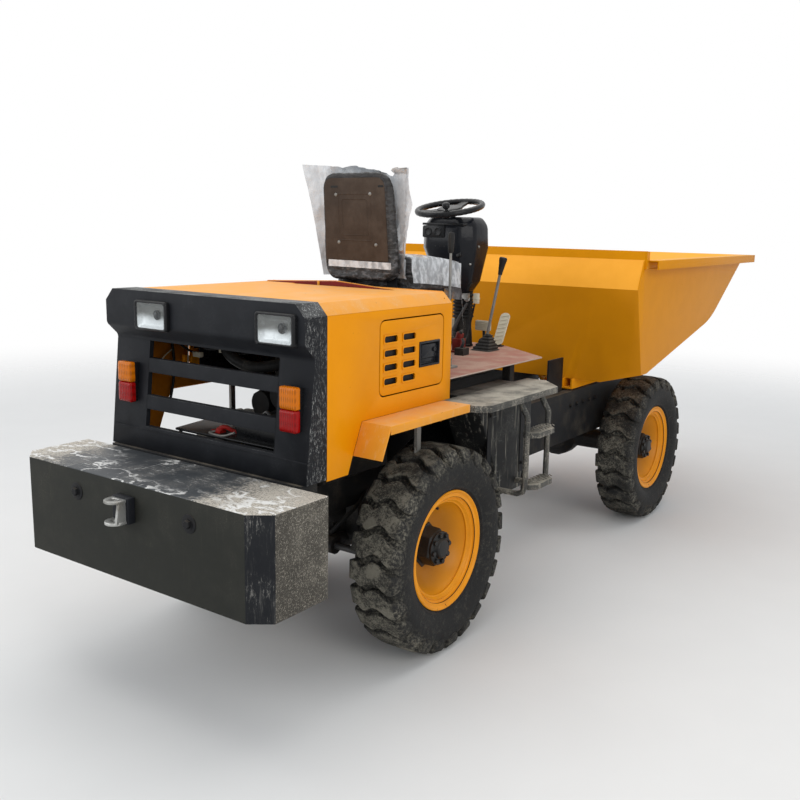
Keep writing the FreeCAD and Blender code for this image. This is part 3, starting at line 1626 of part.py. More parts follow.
def make_rear_axle():
    """Steered axle: casing, differential, forks with kingpins, saddles and steering cylinder."""
    body = new_body("rear_axle", z=AXLE_Z)
    reach = S.kingpin_offset
    make_banjo(body)
    casing_end = reach - S.fork_reach - S.fork_thickness / 2
    pad(body, "YZ", -casing_end, casing_end, many_sided(0, 0, S.casing_radius))
    half_height = S.kingpin_height / 2
    gap = S.knuckle_height / 2 + S.seat_gap
    for side in SIDES.values():
        # fork: a back plate with an upper and a lower arm round the kingpin
        back = reach - S.fork_reach - S.fork_thickness
        fork = flipped(
            [
                (back, -half_height),
                (reach, -half_height),
                (reach, -gap),
                (back + S.fork_thickness, -gap),
                (back + S.fork_thickness, gap),
                (reach, gap),
                (reach, half_height),
                (back, half_height),
            ],
            side,
        )
        pad(body, "XZ", -S.fork_radius, S.fork_radius, fork)
        for low, high in ((-half_height, -gap), (gap, half_height)):
            pad(body, "XY", low, high, many_sided(side * reach, 0, S.fork_radius))
        pad(body, "XY", -half_height, half_height, (side * reach, 0, S.kingpin_radius))
        rail_centre = (S.rear_rail_spacing + S.rear_rail_width) / 2
        saddle = rectangle(
            side * rail_centre - S.saddle_width / 2,
            0,
            side * rail_centre + S.saddle_width / 2,
            S.rail_bottom - AXLE_Z - S.seat_gap,
        )
        pad(body, "XZ", -S.saddle_length / 2, S.saddle_length / 2, saddle)
    # steering cylinder behind the casing, held by two brackets
    level = steering_level()
    half = S.steer_cylinder_length / 2
    radius = S.steer_cylinder_radius
    for side in SIDES.values():
        hold = rectangle(radius / 2 - S.steer_arm, level - radius / 2, 0, level + radius / 2)
        near = S.banjo_width / 2 + S.running_gap
        pad(body, "YZ", side * near, side * (near + S.fork_thickness), hold)
    pad(body, "YZ", -half, half, many_sided(-S.steer_arm, level, radius))
    bore = S.steer_rod_radius + S.seat_gap
    pocket(body, "YZ", -half, half, (-S.steer_arm, level, bore))


def steering_level():
    """Height of the steering rod's axis over the axle's."""
    return -S.knuckle_height / 2 + S.steer_arm_wall + S.seat_gap + S.steer_eye_wall / 2


def make_steering_rod():
    """Through rod of the steering cylinder, with a slotted eye over each steering arm."""
    body = new_body("steering_rod", z=AXLE_Z)
    level = steering_level()
    reach = S.kingpin_offset
    eye = S.steer_eye_radius
    pad(body, "YZ", -reach + eye, reach - eye, (-S.steer_arm, level, S.steer_rod_radius))
    half_wall = S.steer_eye_wall / 2
    slot_half = S.steer_pin_radius + S.seat_gap * 4
    slot_reach = S.steer_pin_radius + S.steer_slot_reach
    wall = eye - slot_half
    for side in SIDES.values():
        centre = side * reach
        outer = rectangle(
            centre - eye,
            -S.steer_arm - slot_reach - wall,
            centre + eye,
            slot_reach + wall - S.steer_arm,
        )
        slot = rectangle(
            centre - slot_half,
            -S.steer_arm - slot_reach,
            centre + slot_half,
            slot_reach - S.steer_arm,
        )
        pad(body, "XY", level - half_wall, level + half_wall, outer, slot)


def make_banjo(body):
    """Round differential housing with its cover, in the middle of an axle casing."""
    half = S.banjo_width / 2
    bowl = [
        (-half, 0),
        (-half, S.banjo_radius * 0.7),
        (-half * 0.45, S.banjo_radius),
        (half * 0.45, S.banjo_radius),
        (half, S.banjo_radius * 0.7),
        (half, 0),
    ]
    start_from(body, turned(bowl, S.count("hub_sides"), "y"))


def make_knuckle(name, side):
    """Steering knuckle on its kingpin, with the spindle for the wheel and the steering arm."""
    body = new_body(f"knuckle_{name}", x=side * S.kingpin_offset, z=AXLE_Z)
    half = S.knuckle_height / 2
    pad(body, "XY", -half, half, many_sided(0, 0, S.fork_radius - S.running_gap / 2))
    spindle_end = HALF_TRACK - S.kingpin_offset + S.disc_depth / 2
    pad(body, "YZ", 0, side * spindle_end, (0, 0, S.spindle_radius))
    arm = flipped(
        [
            (-S.steer_eye_radius, -S.steer_arm - S.steer_pin_radius * 2),
            (S.steer_eye_radius, -S.steer_arm - S.steer_pin_radius * 2),
            (S.steer_eye_radius, 0),
            (-S.steer_eye_radius, 0),
        ],
        side,
    )
    pad(body, "XY", -half, -half + S.steer_arm_wall, arm)
    pin_top = steering_level() + S.steer_eye_wall
    pad(body, "XY", -half, pin_top, (0, -S.steer_arm, S.steer_pin_radius))
    pin_radius = S.kingpin_radius + S.seat_gap
    pocket(body, "XY", -half, half, (0, 0, pin_radius))
    return body


def make_front_axle():
    """Driven axle under the skip: casing, differential, spindle ends and saddles."""
    body = new_body("front_axle", y=S.wheelbase, z=AXLE_Z)
    end = HALF_TRACK + S.disc_depth / 2
    neck = S.front_rail_outer
    make_banjo(body)
    pad(body, "YZ", -neck, neck, many_sided(0, 0, S.casing_radius))
    pad(body, "YZ", -end, end, (0, 0, S.spindle_radius))
    centre = S.front_rail_outer - S.front_rail_width / 2
    for side in SIDES.values():
        saddle = rectangle(
            side * centre - S.saddle_width / 2,
            0,
            side * centre + S.saddle_width / 2,
            S.rail_bottom - AXLE_Z - S.seat_gap,
        )
        pad(body, "XZ", -S.saddle_length / 2, S.saddle_length / 2, saddle)
    return body


def make_tyre(node, x, y):
    """Tyre out to the tips of its lugs, with bulging walls, open towards the rim."""
    body = new_body(node, x, y, AXLE_Z)
    half = S.tyre_width / 2
    tread = S.tread_width / 2
    bead = S.rim_width / 2 - S.rim_wall - S.seat_gap
    belly = (S.tyre_radius + S.rim_seat_radius) / 2 + S.tread_depth / 2
    seat = S.rim_seat_radius + S.seat_gap
    rim_edge = S.rim_flange_radius + S.seat_gap
    wall = S.tyre_wall
    crown = S.tyre_radius
    under = crown - S.tread_depth - wall
    outer = [(bead, seat), (bead, rim_edge), (half, belly), (tread, crown)]
    inner = [(tread - wall, under), (half - wall, belly), (bead - wall, seat)]
    outline = outer + [(-u, v) for u, v in reversed(outer)]
    outline += [(-u, v) for u, v in reversed(inner)] + inner
    start_from(body, turned(outline, S.count("wheel_sides")))


def make_rim(node, x, y):
    """Wheel rim with its two flanges, the well and the deep-set disc with the centre hole."""
    body = new_body(node, x, y, AXLE_Z)
    half = S.rim_width / 2
    wall = S.rim_wall
    seat = S.rim_seat_radius
    flange = S.rim_flange_radius
    well = seat - wall * 2
    disc = S.disc_depth / 2
    boss = S.hub_flange_radius + wall * 3
    outline = [
        (half, flange),
        (half - wall, flange),
        (half - wall, seat),
        (half * 0.3, well),
        (-half * 0.4, well),
        (wall - half, seat),
        (wall - half, flange),
        (-half, flange),
        (-half, seat - wall),
        (-half * 0.4, well - wall),
        (disc - wall * 2, well - wall),
        (disc - wall, boss),
        (disc - wall, S.disc_eye_radius),
        (disc, S.disc_eye_radius),
        (disc, boss),
        (half * 0.5, well - wall),
        (half, seat - wall),
    ]
    start_from(body, turned(outline, S.count("wheel_sides")))


def make_hub(node, x, y):
    """Hub with its nose, bolted flange and brake drum, bored for the spindle."""
    body = new_body(node, x, y, AXLE_Z)
    disc = S.disc_depth / 2
    wall = S.rim_wall
    bore = S.spindle_radius + S.seat_gap
    back = disc - wall - S.seat_gap
    nose = disc + S.hub_nose_reach / 2
    drum_back = back - S.drum_width
    eye = S.disc_eye_radius - S.spigot_gap
    outline = [
        (drum_back, bore),
        (drum_back, S.drum_radius),
        (back - wall * 2, S.drum_radius),
        (back, S.hub_flange_radius),
        (back, eye),
        (disc + wall, eye),
        (nose, S.hub_nose_radius * 0.6),
        (nose, 0),
        (disc + S.seat_gap, 0),
        (disc + S.seat_gap, bore),
    ]
    start_from(body, turned(outline, S.count("hub_sides")))


def make_wheels():
    """The wheel once, and its copies; on the left it faces the other way."""
    makers = {"tyre": make_tyre, "rim": make_rim, "hub": make_hub}
    for piece, make in makers.items():
        source = f"{piece}_rear_right"
        make(source, HALF_TRACK, Size.of(0))
        copy_of(f"{piece}_front_right", source, HALF_TRACK, S.wheelbase, AXLE_Z)
        copy_of(f"{piece}_rear_left", source, -HALF_TRACK, 0, AXLE_Z, 180)
        copy_of(f"{piece}_front_left", source, -HALF_TRACK, S.wheelbase, AXLE_Z, 180)


def skip_outline(side_drop, wall_in, top):
    """Side view of the skip; side_drop lowers the floor, wall_in moves each wall inwards."""
    bottom = S.skip_bottom - side_drop + wall_in
    heel_y = S.skip_rear + S.skip_foot
    lip_y = S.skip_rear + S.skip_length
    share = (top - S.skip_knee_z) / (S.back_rim_top - S.skip_knee_z)
    back_top_y = S.skip_knee_y + (S.skip_rear - S.skip_knee_y) * share
    return [
        (heel_y + wall_in, bottom),
        (heel_y + S.skip_heel - S.skip_foot + wall_in, bottom),
        (S.skip_bend_y, S.skip_bend_z - side_drop + wall_in, S.skip_bend_radius),
        (lip_y - wall_in * 1.6, top),
        (back_top_y + wall_in, top),
        (S.skip_knee_y + wall_in, S.skip_knee_z),
    ]


def make_skip():
    """Tipping skip: folded hopper, rim channels, under-beams, pivot lugs and ram bracket."""
    body = new_body("skip")
    half = S.skip_width / 2
    floor_half = S.skip_floor_width / 2
    wall = S.skip_wall
    zero = Size.of(0)
    shell = [
        (-half, skip_outline(zero, zero, S.rim_top)),
        (-floor_half, skip_outline(S.skip_floor_drop, zero, S.rim_top)),
        (floor_half, skip_outline(S.skip_floor_drop, zero, S.rim_top)),
        (half, skip_outline(zero, zero, S.rim_top)),
    ]
    loft(body, "YZ", shell)
    # rim channels along both sides and the raised channel along the back
    lip_y = S.skip_rear + S.skip_length
    for side in SIDES.values():
        angle = flipped(
            [
                (half - wall, S.rim_top),
                (half + S.rim_flange_width, S.rim_top),
                (half + S.rim_flange_width, S.rim_top - S.rim_flange_height),
                (half + S.rim_flange_width - wall, S.rim_top - S.rim_flange_height),
                (half + S.rim_flange_width - wall, S.rim_top - wall),
                (half - wall, S.rim_top - wall),
            ],
            side,
        )
        pad(body, "XZ", S.skip_rear, lip_y, angle)
    back_top = S.back_rim_top
    back_low = back_top - S.back_rim_height
    bar = rectangle(
        S.skip_rear - S.back_rim_width / 2, back_low, S.skip_rear + S.back_rim_width / 2, back_top
    )
    pad(body, "YZ", -half, half, bar)
    make_skip_beams(body)
    cavity = [
        (wall - half, skip_outline(zero, wall, S.rim_top)),
        (-floor_half, skip_outline(S.skip_floor_drop, wall, S.rim_top)),
        (floor_half, skip_outline(S.skip_floor_drop, wall, S.rim_top)),
        (half - wall, skip_outline(zero, wall, S.rim_top)),
    ]
    loft(body, "YZ", cavity, cut=True)
    return body


def make_skip_beams(body):
    """Box beams under the floor, the lugs round the chassis tube and the ram's upper bracket."""
    inner = S.beam_outer - S.beam_width
    floor_z = S.skip_bottom - S.skip_floor_drop
    bend_z = S.skip_bend_z - S.skip_floor_drop
    bend_y = S.skip_bend_y
    heel_y = S.skip_rear + S.skip_heel
    slope = (bend_z - floor_z) / (bend_y - heel_y)
    front_z = floor_z + slope * (S.beam_front - heel_y)
    sink = S.skip_wall / 2
    outline = [
        (S.beam_rear, S.beam_bottom),
        (S.beam_front, S.beam_bottom),
        (S.beam_front, front_z + sink),
        (heel_y, floor_z + sink),
        (S.beam_rear, floor_z + sink),
    ]
    for side in SIDES.values():
        for near, far in ((inner, inner + S.beam_wall), (S.beam_outer - S.beam_wall, S.beam_outer)):
            pad(body, "YZ", side * near, side * far, outline)
        sole = rectangle(S.beam_rear, S.beam_bottom, S.beam_front, S.beam_bottom + S.beam_wall)
        pad(body, "YZ", side * inner, side * S.beam_outer, sole)
        lug_inner = S.pivot_lug_outer - S.pivot_lug_wall
        lug_z = S.pivot_z
        radius = S.pivot_lug_radius
        lug = [
            (S.pivot_y - radius, lug_z - radius / 2),
            (S.pivot_y - radius / 2, lug_z - radius),
            (S.pivot_y + radius / 2, lug_z - radius),
            (S.pivot_y + radius, lug_z - radius / 2),
            (S.pivot_y + radius, front_z + slope * (S.pivot_y + radius - S.beam_front) + sink),
            (S.beam_front - radius, front_z - slope * radius + sink),
            (S.beam_front - radius, S.beam_bottom),
        ]
        pad(body, "YZ", side * lug_inner, side * S.pivot_lug_outer, lug)
        bore = (S.pivot_y, lug_z, S.pivot_tube_radius + S.seat_gap)
        pocket(body, "YZ", side * lug_inner, side * S.pivot_lug_outer, bore)
        eye_z = floor_z + slope * (S.ram_eye_y - heel_y)
        ear_radius = S.ram_ear_radius
        ear = [
            (S.ram_eye_y - ear_radius, S.ram_eye_z - ear_radius / 2),
            (S.ram_eye_y - ear_radius / 2, S.ram_eye_z - ear_radius),
            (S.ram_eye_y + ear_radius / 2, S.ram_eye_z - ear_radius),
            (S.ram_eye_y + ear_radius, S.ram_eye_z - ear_radius / 2),
            (S.ram_eye_y + ear_radius, eye_z + slope * ear_radius + sink),
            (S.ram_eye_y - ear_radius, eye_z - slope * ear_radius + sink),
        ]
        gap = S.ram_ear_gap / 2
        pad(body, "YZ", side * gap, side * (gap + S.ram_ear_wall), ear)
    reach = S.ram_ear_gap / 2 + S.ram_ear_wall
    pad(body, "YZ", -reach, reach, (S.ram_eye_y, S.ram_eye_z, S.ram_eye_pin))


def make_ram():
    """Tipping ram, drawn along its own axis from the foot pin and then leaned to the eye."""
    run = S.ram_eye_y - S.ram_foot_y
    rise = S.ram_eye_z - S.ram_foot_z
    length = root(run * run + rise * rise)
    lean = arctangent(rise, run)
    eye_half = S.ram_ear_gap / 2 - S.seat_gap * 4
    barrel = new_body("ram_barrel", y=S.ram_foot_y, z=S.ram_foot_z)
    rod = new_body("ram_rod", y=S.ram_foot_y, z=S.ram_foot_z)
    for body in (barrel, rod):
        bind(body, "Placement.Rotation.Axis.x", 1)
        bind(body, "Placement.Rotation.Axis.y", 0)
        bind(body, "Placement.Rotation.Axis.z", 0)
        bind(body, "Placement.Rotation.Angle", lean)
    bore = S.ram_rod_radius + S.seat_gap
    start = S.ram_ear_radius * 1.5
    case = (0, 0, S.ram_barrel_radius)
    pad(barrel, "XZ", start, S.ram_barrel_length, case)
    pocket(barrel, "XZ", start + S.ram_ear_wall, S.ram_barrel_length, (0, 0, bore))
    neck = S.ram_barrel_radius * 0.6
    pad(barrel, "XZ", start / 2, start, many_sided(0, 0, neck, 8))
    rod_start = start + S.ram_ear_wall * 2
    pad(rod, "XZ", rod_start, length - S.ram_eye_radius * 0.9, (0, 0, S.ram_rod_radius))
    # the rod's eye has slack round its pin, as the skip's pin leaves the ram's line a little
    foot_pin = S.ram_pin_radius + S.seat_gap
    eye_pin = S.ram_eye_pin + S.ram_eye_slack
    eyes = (
        (barrel, Size.of(0), S.ram_ear_radius * 0.8, foot_pin),
        (rod, length, S.ram_eye_radius, eye_pin),
    )
    for body, place, radius, bore_radius in eyes:
        pad(body, "YZ", -eye_half, eye_half, many_sided(place, 0, radius))
        pocket(body, "YZ", -eye_half, eye_half, (place, 0, bore_radius))


def make_lamps():
    """Square head lamps on the brow and upright tail lamps on the recessed face."""
    heads = new_body("headlamps")
    low = S.lamp_bottom
    high = low + S.lamp_height
    face = -S.surround_rear - S.seat_gap
    left = -S.left_lamp_outer
    right = S.right_lamp_outer - S.lamp_width
    for start in (left, right):
        loop = rectangle(start, low, start + S.lamp_width, high)
        pad(heads, "XZ", face - S.lamp_depth, face, loop)
    tails = new_body("tail_lamps")
    lean = (S.surround_foot - S.recess_face) / (S.recess_top - S.surround_bottom)
    low = S.tail_bottom
    high = low + S.tail_height
    low_y = -S.surround_foot + (low - S.surround_bottom) * lean - S.seat_gap
    high_y = -S.surround_foot + (high - S.surround_bottom) * lean - S.seat_gap
    side_view = [
        (low_y - S.tail_depth, low),
        (low_y, low),
        (high_y, high),
        (high_y - S.tail_depth, high),
    ]
    for start in (-S.left_tail_outer, S.right_tail_outer - S.tail_width):
        pad(tails, "YZ", start, start + S.tail_width, side_view)
    return heads, tails


def build():
    """Makes every sub-part."""
    make_counterweight()
    make_tow_jaw()
    make_main_frame()
    make_rear_surround()
    make_hood_top()
    make_hood_sides()
    make_mudguards()
    make_bulkhead()
    make_floor()
    make_steps()
    make_side_tanks()
    make_ladders()
    make_seat()
    make_column()
    make_cowl()
    make_steering_wheel()
    make_levers()
    make_pedals()
    make_engine()
    make_gearbox()
    make_driveshafts()
    make_battery()
    make_rear_axle()
    make_steering_rod()
    make_front_axle()
    make_skip()
    make_ram()
    make_lamps()
    for name, side in SIDES.items():
        make_door(name, side)
        make_knuckle(name, side)
    make_wheels()


def check_and_export():
    """Stops on any failed object or empty shape, then writes one file for each sub-part."""
    doc.recompute()
    failed = [item.Label for item in doc.Objects if {"Invalid", "Error"} & set(item.State)]
    if failed:
        raise RuntimeError(f"objects that failed: {failed}")
    os.makedirs("parts", exist_ok=True)
    for node, body in sub_parts.items():
        shape = body.Shape
        if shape.isNull() or not shape.isValid() or not shape.Solids:
            raise RuntimeError(f"no sound solid in {node}")
        shape.exportStep(f"parts/{node}.step")


build()
check_and_export()
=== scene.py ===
"""Looks of a small rear-steered site dumper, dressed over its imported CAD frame."""

from __future__ import annotations

import json
import logging
import math
from dataclasses import dataclass, field
from enum import Enum
from typing import Any, Callable, Iterable, Optional, Sequence, Union

import bmesh
import bpy
from mathutils import Matrix, Vector, noise

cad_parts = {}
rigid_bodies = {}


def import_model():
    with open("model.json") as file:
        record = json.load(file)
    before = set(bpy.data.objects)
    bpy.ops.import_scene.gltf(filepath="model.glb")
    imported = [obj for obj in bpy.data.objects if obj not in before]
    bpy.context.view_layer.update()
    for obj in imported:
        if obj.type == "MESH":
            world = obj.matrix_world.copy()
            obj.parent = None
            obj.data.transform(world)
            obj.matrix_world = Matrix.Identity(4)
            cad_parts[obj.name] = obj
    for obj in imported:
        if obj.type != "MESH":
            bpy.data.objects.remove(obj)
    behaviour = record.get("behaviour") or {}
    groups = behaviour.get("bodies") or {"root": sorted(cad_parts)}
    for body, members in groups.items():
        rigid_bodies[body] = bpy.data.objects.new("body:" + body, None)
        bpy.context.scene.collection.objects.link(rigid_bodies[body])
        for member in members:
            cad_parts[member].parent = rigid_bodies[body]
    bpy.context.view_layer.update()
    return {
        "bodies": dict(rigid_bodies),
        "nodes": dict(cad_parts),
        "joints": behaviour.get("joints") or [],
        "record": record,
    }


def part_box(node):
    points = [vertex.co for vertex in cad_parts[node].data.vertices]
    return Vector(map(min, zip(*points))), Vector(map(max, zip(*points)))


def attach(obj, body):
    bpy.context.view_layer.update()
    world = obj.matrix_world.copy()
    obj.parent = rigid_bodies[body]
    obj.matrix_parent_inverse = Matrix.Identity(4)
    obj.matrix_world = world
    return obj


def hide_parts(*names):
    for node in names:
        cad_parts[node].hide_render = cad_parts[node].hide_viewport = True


LOG = logging.getLogger("dumper")
Point = tuple[float, float, float]
Colour = tuple[float, float, float]
Number = Union[float, "Wire"]
SIDES = {"left": -1.0, "right": 1.0}
REAR_AXLE = -1.028
FRONT_AXLE = 1.093
AXLE_HEIGHT = 0.397
HALF_TRACK = 0.495


class Axis(Enum):
    """A main direction of the frame: across, along and up."""

    X = Vector((1, 0, 0))
    Y = Vector((0, 1, 0))
    Z = Vector((0, 0, 1))


@dataclass(frozen=True)
class Wire:
    """A shader socket that takes part in Python arithmetic by adding Math nodes."""

    shader: "Shader"
    socket: bpy.types.NodeSocket

    def _maths(self, operation: str, first: Number, second: Number = 0.0) -> "Wire":
        """Add one Math node for two values."""
        node = self.shader.add("Math", {"operation": operation}, {0: first, 1: second})
        return Wire(self.shader, node.outputs[0])

    def __add__(self, other: Number) -> "Wire":
        """Sum."""
        return self._maths("ADD", self, other)

    __radd__ = __add__

    def __sub__(self, other: Number) -> "Wire":
        """Difference."""
        return self._maths("SUBTRACT", self, other)

    def __rsub__(self, other: Number) -> "Wire":
        """Difference from a number on the left."""
        return self._maths("SUBTRACT", other, self)

    def __mul__(self, other: Number) -> "Wire":
        """Product."""
        return self._maths("MULTIPLY", self, other)

    __rmul__ = __mul__

    def __pow__(self, other: Number) -> "Wire":
        """Power."""
        return self._maths("POWER", self, other)

    def most(self, other: Number) -> "Wire":
        """The larger of two values."""
        return self._maths("MAXIMUM", self, other)

    def ramp(self, low: float, high: float) -> "Wire":
        """A smooth step from 0 at low to 1 at high; low may be the larger."""
        node = self.shader.add(
            "MapRange",
            {"interpolation_type": "SMOOTHSTEP"},
            {"Value": self, "From Min": low, "From Max": high},
        )
        return Wire(self.shader, node.outputs["Result"])


class Shader:
    """One material's node tree, built from few kinds of node."""

    def __init__(self, name: str) -> None:
        """Start an empty tree with a Principled shader and its output."""
        self.material = bpy.data.materials.new(name)
        self.material.use_nodes = True
        self.tree = self.material.node_tree
        self.tree.nodes.clear()
        self.output = self.add("OutputMaterial")
        self.surface = self.add("BsdfPrincipled")
        self.tree.links.new(self.surface.outputs[0], self.output.inputs["Surface"])
        coordinates = self.add("TexCoord")
        self.place = Wire(self, coordinates.outputs["Object"])
        self.normal = Wire(self, coordinates.outputs["Normal"])

    def add(
        self,
        kind: str,
        settings: Optional[dict[str, Any]] = None,
        values: Optional[dict[Union[str, int], Any]] = None,
    ) -> bpy.types.Node:
        """Add any node.

        Args:
            kind: the node's type without its ShaderNode prefix.
            settings: properties, set first; "stops" is a ramp's list of place and colour.
            values: numbers, colours or wires for the inputs, by name or number.

        Returns:
            The node.
        """
        node = self.tree.nodes.new(f"ShaderNode{kind}")
        for name, value in (settings or {}).items():
            if name == "stops":
                elements = node.color_ramp.elements
                while len(elements) < len(value):
                    elements.new(0.5)
                for element, (position, colour) in zip(elements, value):
                    element.position = position
                    element.color = (*colour, 1.0)
            else:
                setattr(node, name, value)
        for key, value in (values or {}).items():
            socket = node.inputs[key]
            if isinstance(value, Wire):
                self.tree.links.new(value.socket, socket)
            elif hasattr(value, "__len__") and socket.type == "RGBA":
                socket.default_value = (*value, 1.0)
            else:
                socket.default_value = value
        return node

    def at(self, scale: Point = (1, 1, 1), turn: Point = (0, 0, 0), shift: Point = (0, 0, 0)) -> Wire:
        """Object coordinates, moved, turned and scaled for a pattern."""
        node = self.add(
            "Mapping",
            None,
            {"Vector": self.place, "Scale": scale, "Rotation": turn, "Location": shift},
        )
        return Wire(self, node.outputs[0])

    def noise(self, scale: float, detail: float = 4.0, where: Optional[Wire] = None, rough: float = 0.55) -> Wire:
        """A noise value from 0 to 1, about scale waves a metre."""
        node = self.add(
            "TexNoise",
            None,
            {"Vector": where or self.place, "Scale": scale, "Detail": detail, "Roughness": rough},
        )
        return Wire(self, node.outputs["Fac"])

    def cells(self, scale: float, where: Optional[Wire] = None, feature: str = "F1") -> Wire:
        """Distance to the nearest of many scattered points, or to the edge between two."""
        node = self.add(
            "TexVoronoi", {"feature": feature}, {"Vector": where or self.place, "Scale": scale}
        )
        return Wire(self, node.outputs["Distance"])

    def parts(self, vector: Wire) -> tuple[Wire, Wire, Wire]:
        """The three numbers of a vector."""
        node = self.add("SeparateXYZ", None, {0: vector})
        return tuple(Wire(self, output) for output in node.outputs)

    def blend(self, share: Number, first: Union[Colour, Wire], second: Union[Colour, Wire]) -> Wire:
        """A colour between two, by a share from 0 to 1."""
        node = self.tree.nodes.new("ShaderNodeMix")
        node.data_type = "RGBA"
        sockets = {s.identifier: s for s in node.inputs}
        pairs = (("Factor_Float", share), ("A_Color", first), ("B_Color", second))
        for key, value in pairs:
            if isinstance(value, Wire):
                self.tree.links.new(value.socket, sockets[key])
            elif hasattr(value, "__len__"):
                sockets[key].default_value = (*value, 1.0)
            else:
                sockets[key].default_value = value
        result = [s for s in node.outputs if s.identifier == "Result_Color"][0]
        return Wire(self, result)

    def feed(self, **sockets: Any) -> None:
        """Set or link the Principled shader's inputs; underscores stand for spaces."""
        for name, value in sockets.items():
            socket = self.surface.inputs[name.replace("_", " ")]
            if isinstance(value, Wire):
                self.tree.links.new(value.socket, socket)
            elif hasattr(value, "__len__") and socket.type == "RGBA":
                socket.default_value = (*value, 1.0)
            else:
                socket.default_value = value

    def emboss(self, height: Wire, strength: float, distance: float = 0.001) -> None:
        """Feed a bump from a height to the shader's normal."""
        node = self.add(
            "Bump", None, {"Height": height, "Strength": strength, "Distance": distance}
        )
        self.feed(Normal=Wire(self, node.outputs[0]))


@dataclass(frozen=True)
class Weathered:
    """A painted or bare surface with its dust, streaks, speckle, chips and grain, and, where asked, painted shade deep
    in a wheel's dish.
    """

    name: str
    slot: str
    base: Colour
    shade: Colour
    dust: Colour = (0.24, 0.21, 0.165)
    on_top: float = 0.4
    on_side: float = 0.1
    streak: float = 0.2
    speck: float = 0.2
    chip: float = 0.0
    chip_colour: Colour = (0.12, 0.05, 0.025)
    scratch: float = 0.0
    scratch_colour: Colour = (0.5, 0.5, 0.48)
    low: float = 0.0
    even: float = 0.0
    upright: float = 1.0
    ends: float = 0.0
    splash: float = 0.0
    # deep: share of painted shade that darkens a wheel's dish towards the hub
    deep: float = 0.0
    gloss: float = 0.22
    rough: float = 0.42
    metal: float = 0.0
    coat: float = 0.0
    grain: float = 0.15
    grain_scale: float = 160.0

    def build(self) -> bpy.types.Material:
        """Make the material."""
        shader = Shader(self.name)
        broad = shader.noise(2.2, 3.0)
        medium = shader.noise(11.0, 5.0)
        fine = shader.noise(70.0, 4.0, rough=0.7)
        grain = shader.noise(self.grain_scale, 3.0, rough=0.6)
        _, _, up = shader.parts(shader.normal)
        across, _, height = shader.parts(shader.place)
        top = up.ramp(0.35, 0.9)
        colour = shader.blend(medium.ramp(0.36, 0.66) * 0.7 + broad.ramp(0.4, 0.7) * 0.3, self.base, self.shade)
        streaks = shader.noise(9.0, 5.0, shader.at((7.0, 7.0, 0.55)), 0.62).ramp(0.5, 0.74)
        patches = medium.ramp(0.42, 0.64) + self.even
        grit = shader.noise(200.0, 5.0, shader.at((1.0, 1.0, self.upright)), 0.85)
        spots = grit.ramp(0.53, 0.61) * patches
        film = top * (medium.ramp(0.3, 0.7) * 0.6 + broad * 0.8) * self.on_top
        film = film + (1.0 - top) * (medium.ramp(0.42, 0.72) * broad.ramp(0.3, 0.65)) * self.on_side
        film = film + streaks * (1.0 - top) * self.streak
        film = film + spots * self.speck
        if self.ends:
            inward = Wire(shader, shader.add("Math", {"operation": "ABSOLUTE"}, {0: across + 0.05}).outputs[0])
            edge = inward + medium * 0.22 + fine * 0.3
            film = film + edge.ramp(0.56, 0.74) * grit.ramp(0.4, 0.5) * self.ends
        if self.low:
            film = film + height.ramp(0.9, 0.1) * medium.ramp(0.3, 0.6) * self.low
        colour = shader.blend(film.ramp(0.0, 1.0), colour, self.dust)
        rough = film * 0.5 + (self.rough + fine * 0.12)
        metal: Number = self.metal
        if self.scratch:
            turned = shader.at((1.0, 14.0, 14.0), (0.3, 0.2, 0.45))
            lines = shader.noise(16.0, 3.0, turned, 0.7).ramp(0.625, 0.67) * medium.ramp(0.44, 0.58)
            crossed = shader.at((14.0, 1.0, 14.0), (0.1, 0.4, -0.5))
            lines = lines.most(shader.noise(12.0, 3.0, crossed, 0.7).ramp(0.63, 0.675) * broad.ramp(0.4, 0.55))
            colour = shader.blend(lines * self.scratch, colour, self.scratch_colour)
        if self.chip:
            chips = shader.noise(34.0, 6.0, rough=0.75).ramp(0.655, 0.68) * broad.ramp(0.4, 0.6)
            colour = shader.blend(chips * self.chip, colour, self.chip_colour)
            rough = rough + chips * 0.3
        if self.splash:
            contour = shader.noise(3.4, 5.0, shader.at((1.0, 1.6, 1.0), (0.0, 0.0, 0.5)), 0.6) - 0.5
            line = Wire(shader, shader.add("Math", {"operation": "ABSOLUTE"}, {0: contour}).outputs[0])
            drops = line.ramp(0.02, 0.008) * shader.noise(30.0, 4.0, rough=0.7).ramp(0.36, 0.46)
            colour = shader.blend(drops * broad.ramp(0.43, 0.56) * self.splash, colour, self.scratch_colour)
        # Painted shade: the colour darkens as |x| falls towards the hub, deep in the wheel's dish.
        if self.deep:
            inward = shader.add("Math", {"operation": "ABSOLUTE"}, {0: across})
            shadow = Wire(shader, inward.outputs[0]).ramp(0.548, 0.47) * self.deep
            colour = shader.blend(shadow, colour, tuple(c * 0.42 for c in self.shade))
        shader.feed(
            Base_Color=colour,
            Roughness=rough,
            Metallic=metal,
            Specular_IOR_Level=self.gloss,
            Coat_Weight=self.coat,
            Coat_Roughness=0.22,
        )
        shader.emboss(grain * 0.5 + fine * 0.3 + film * 0.6 + medium * 1.2, self.grain, 0.0015)
        return shader.material


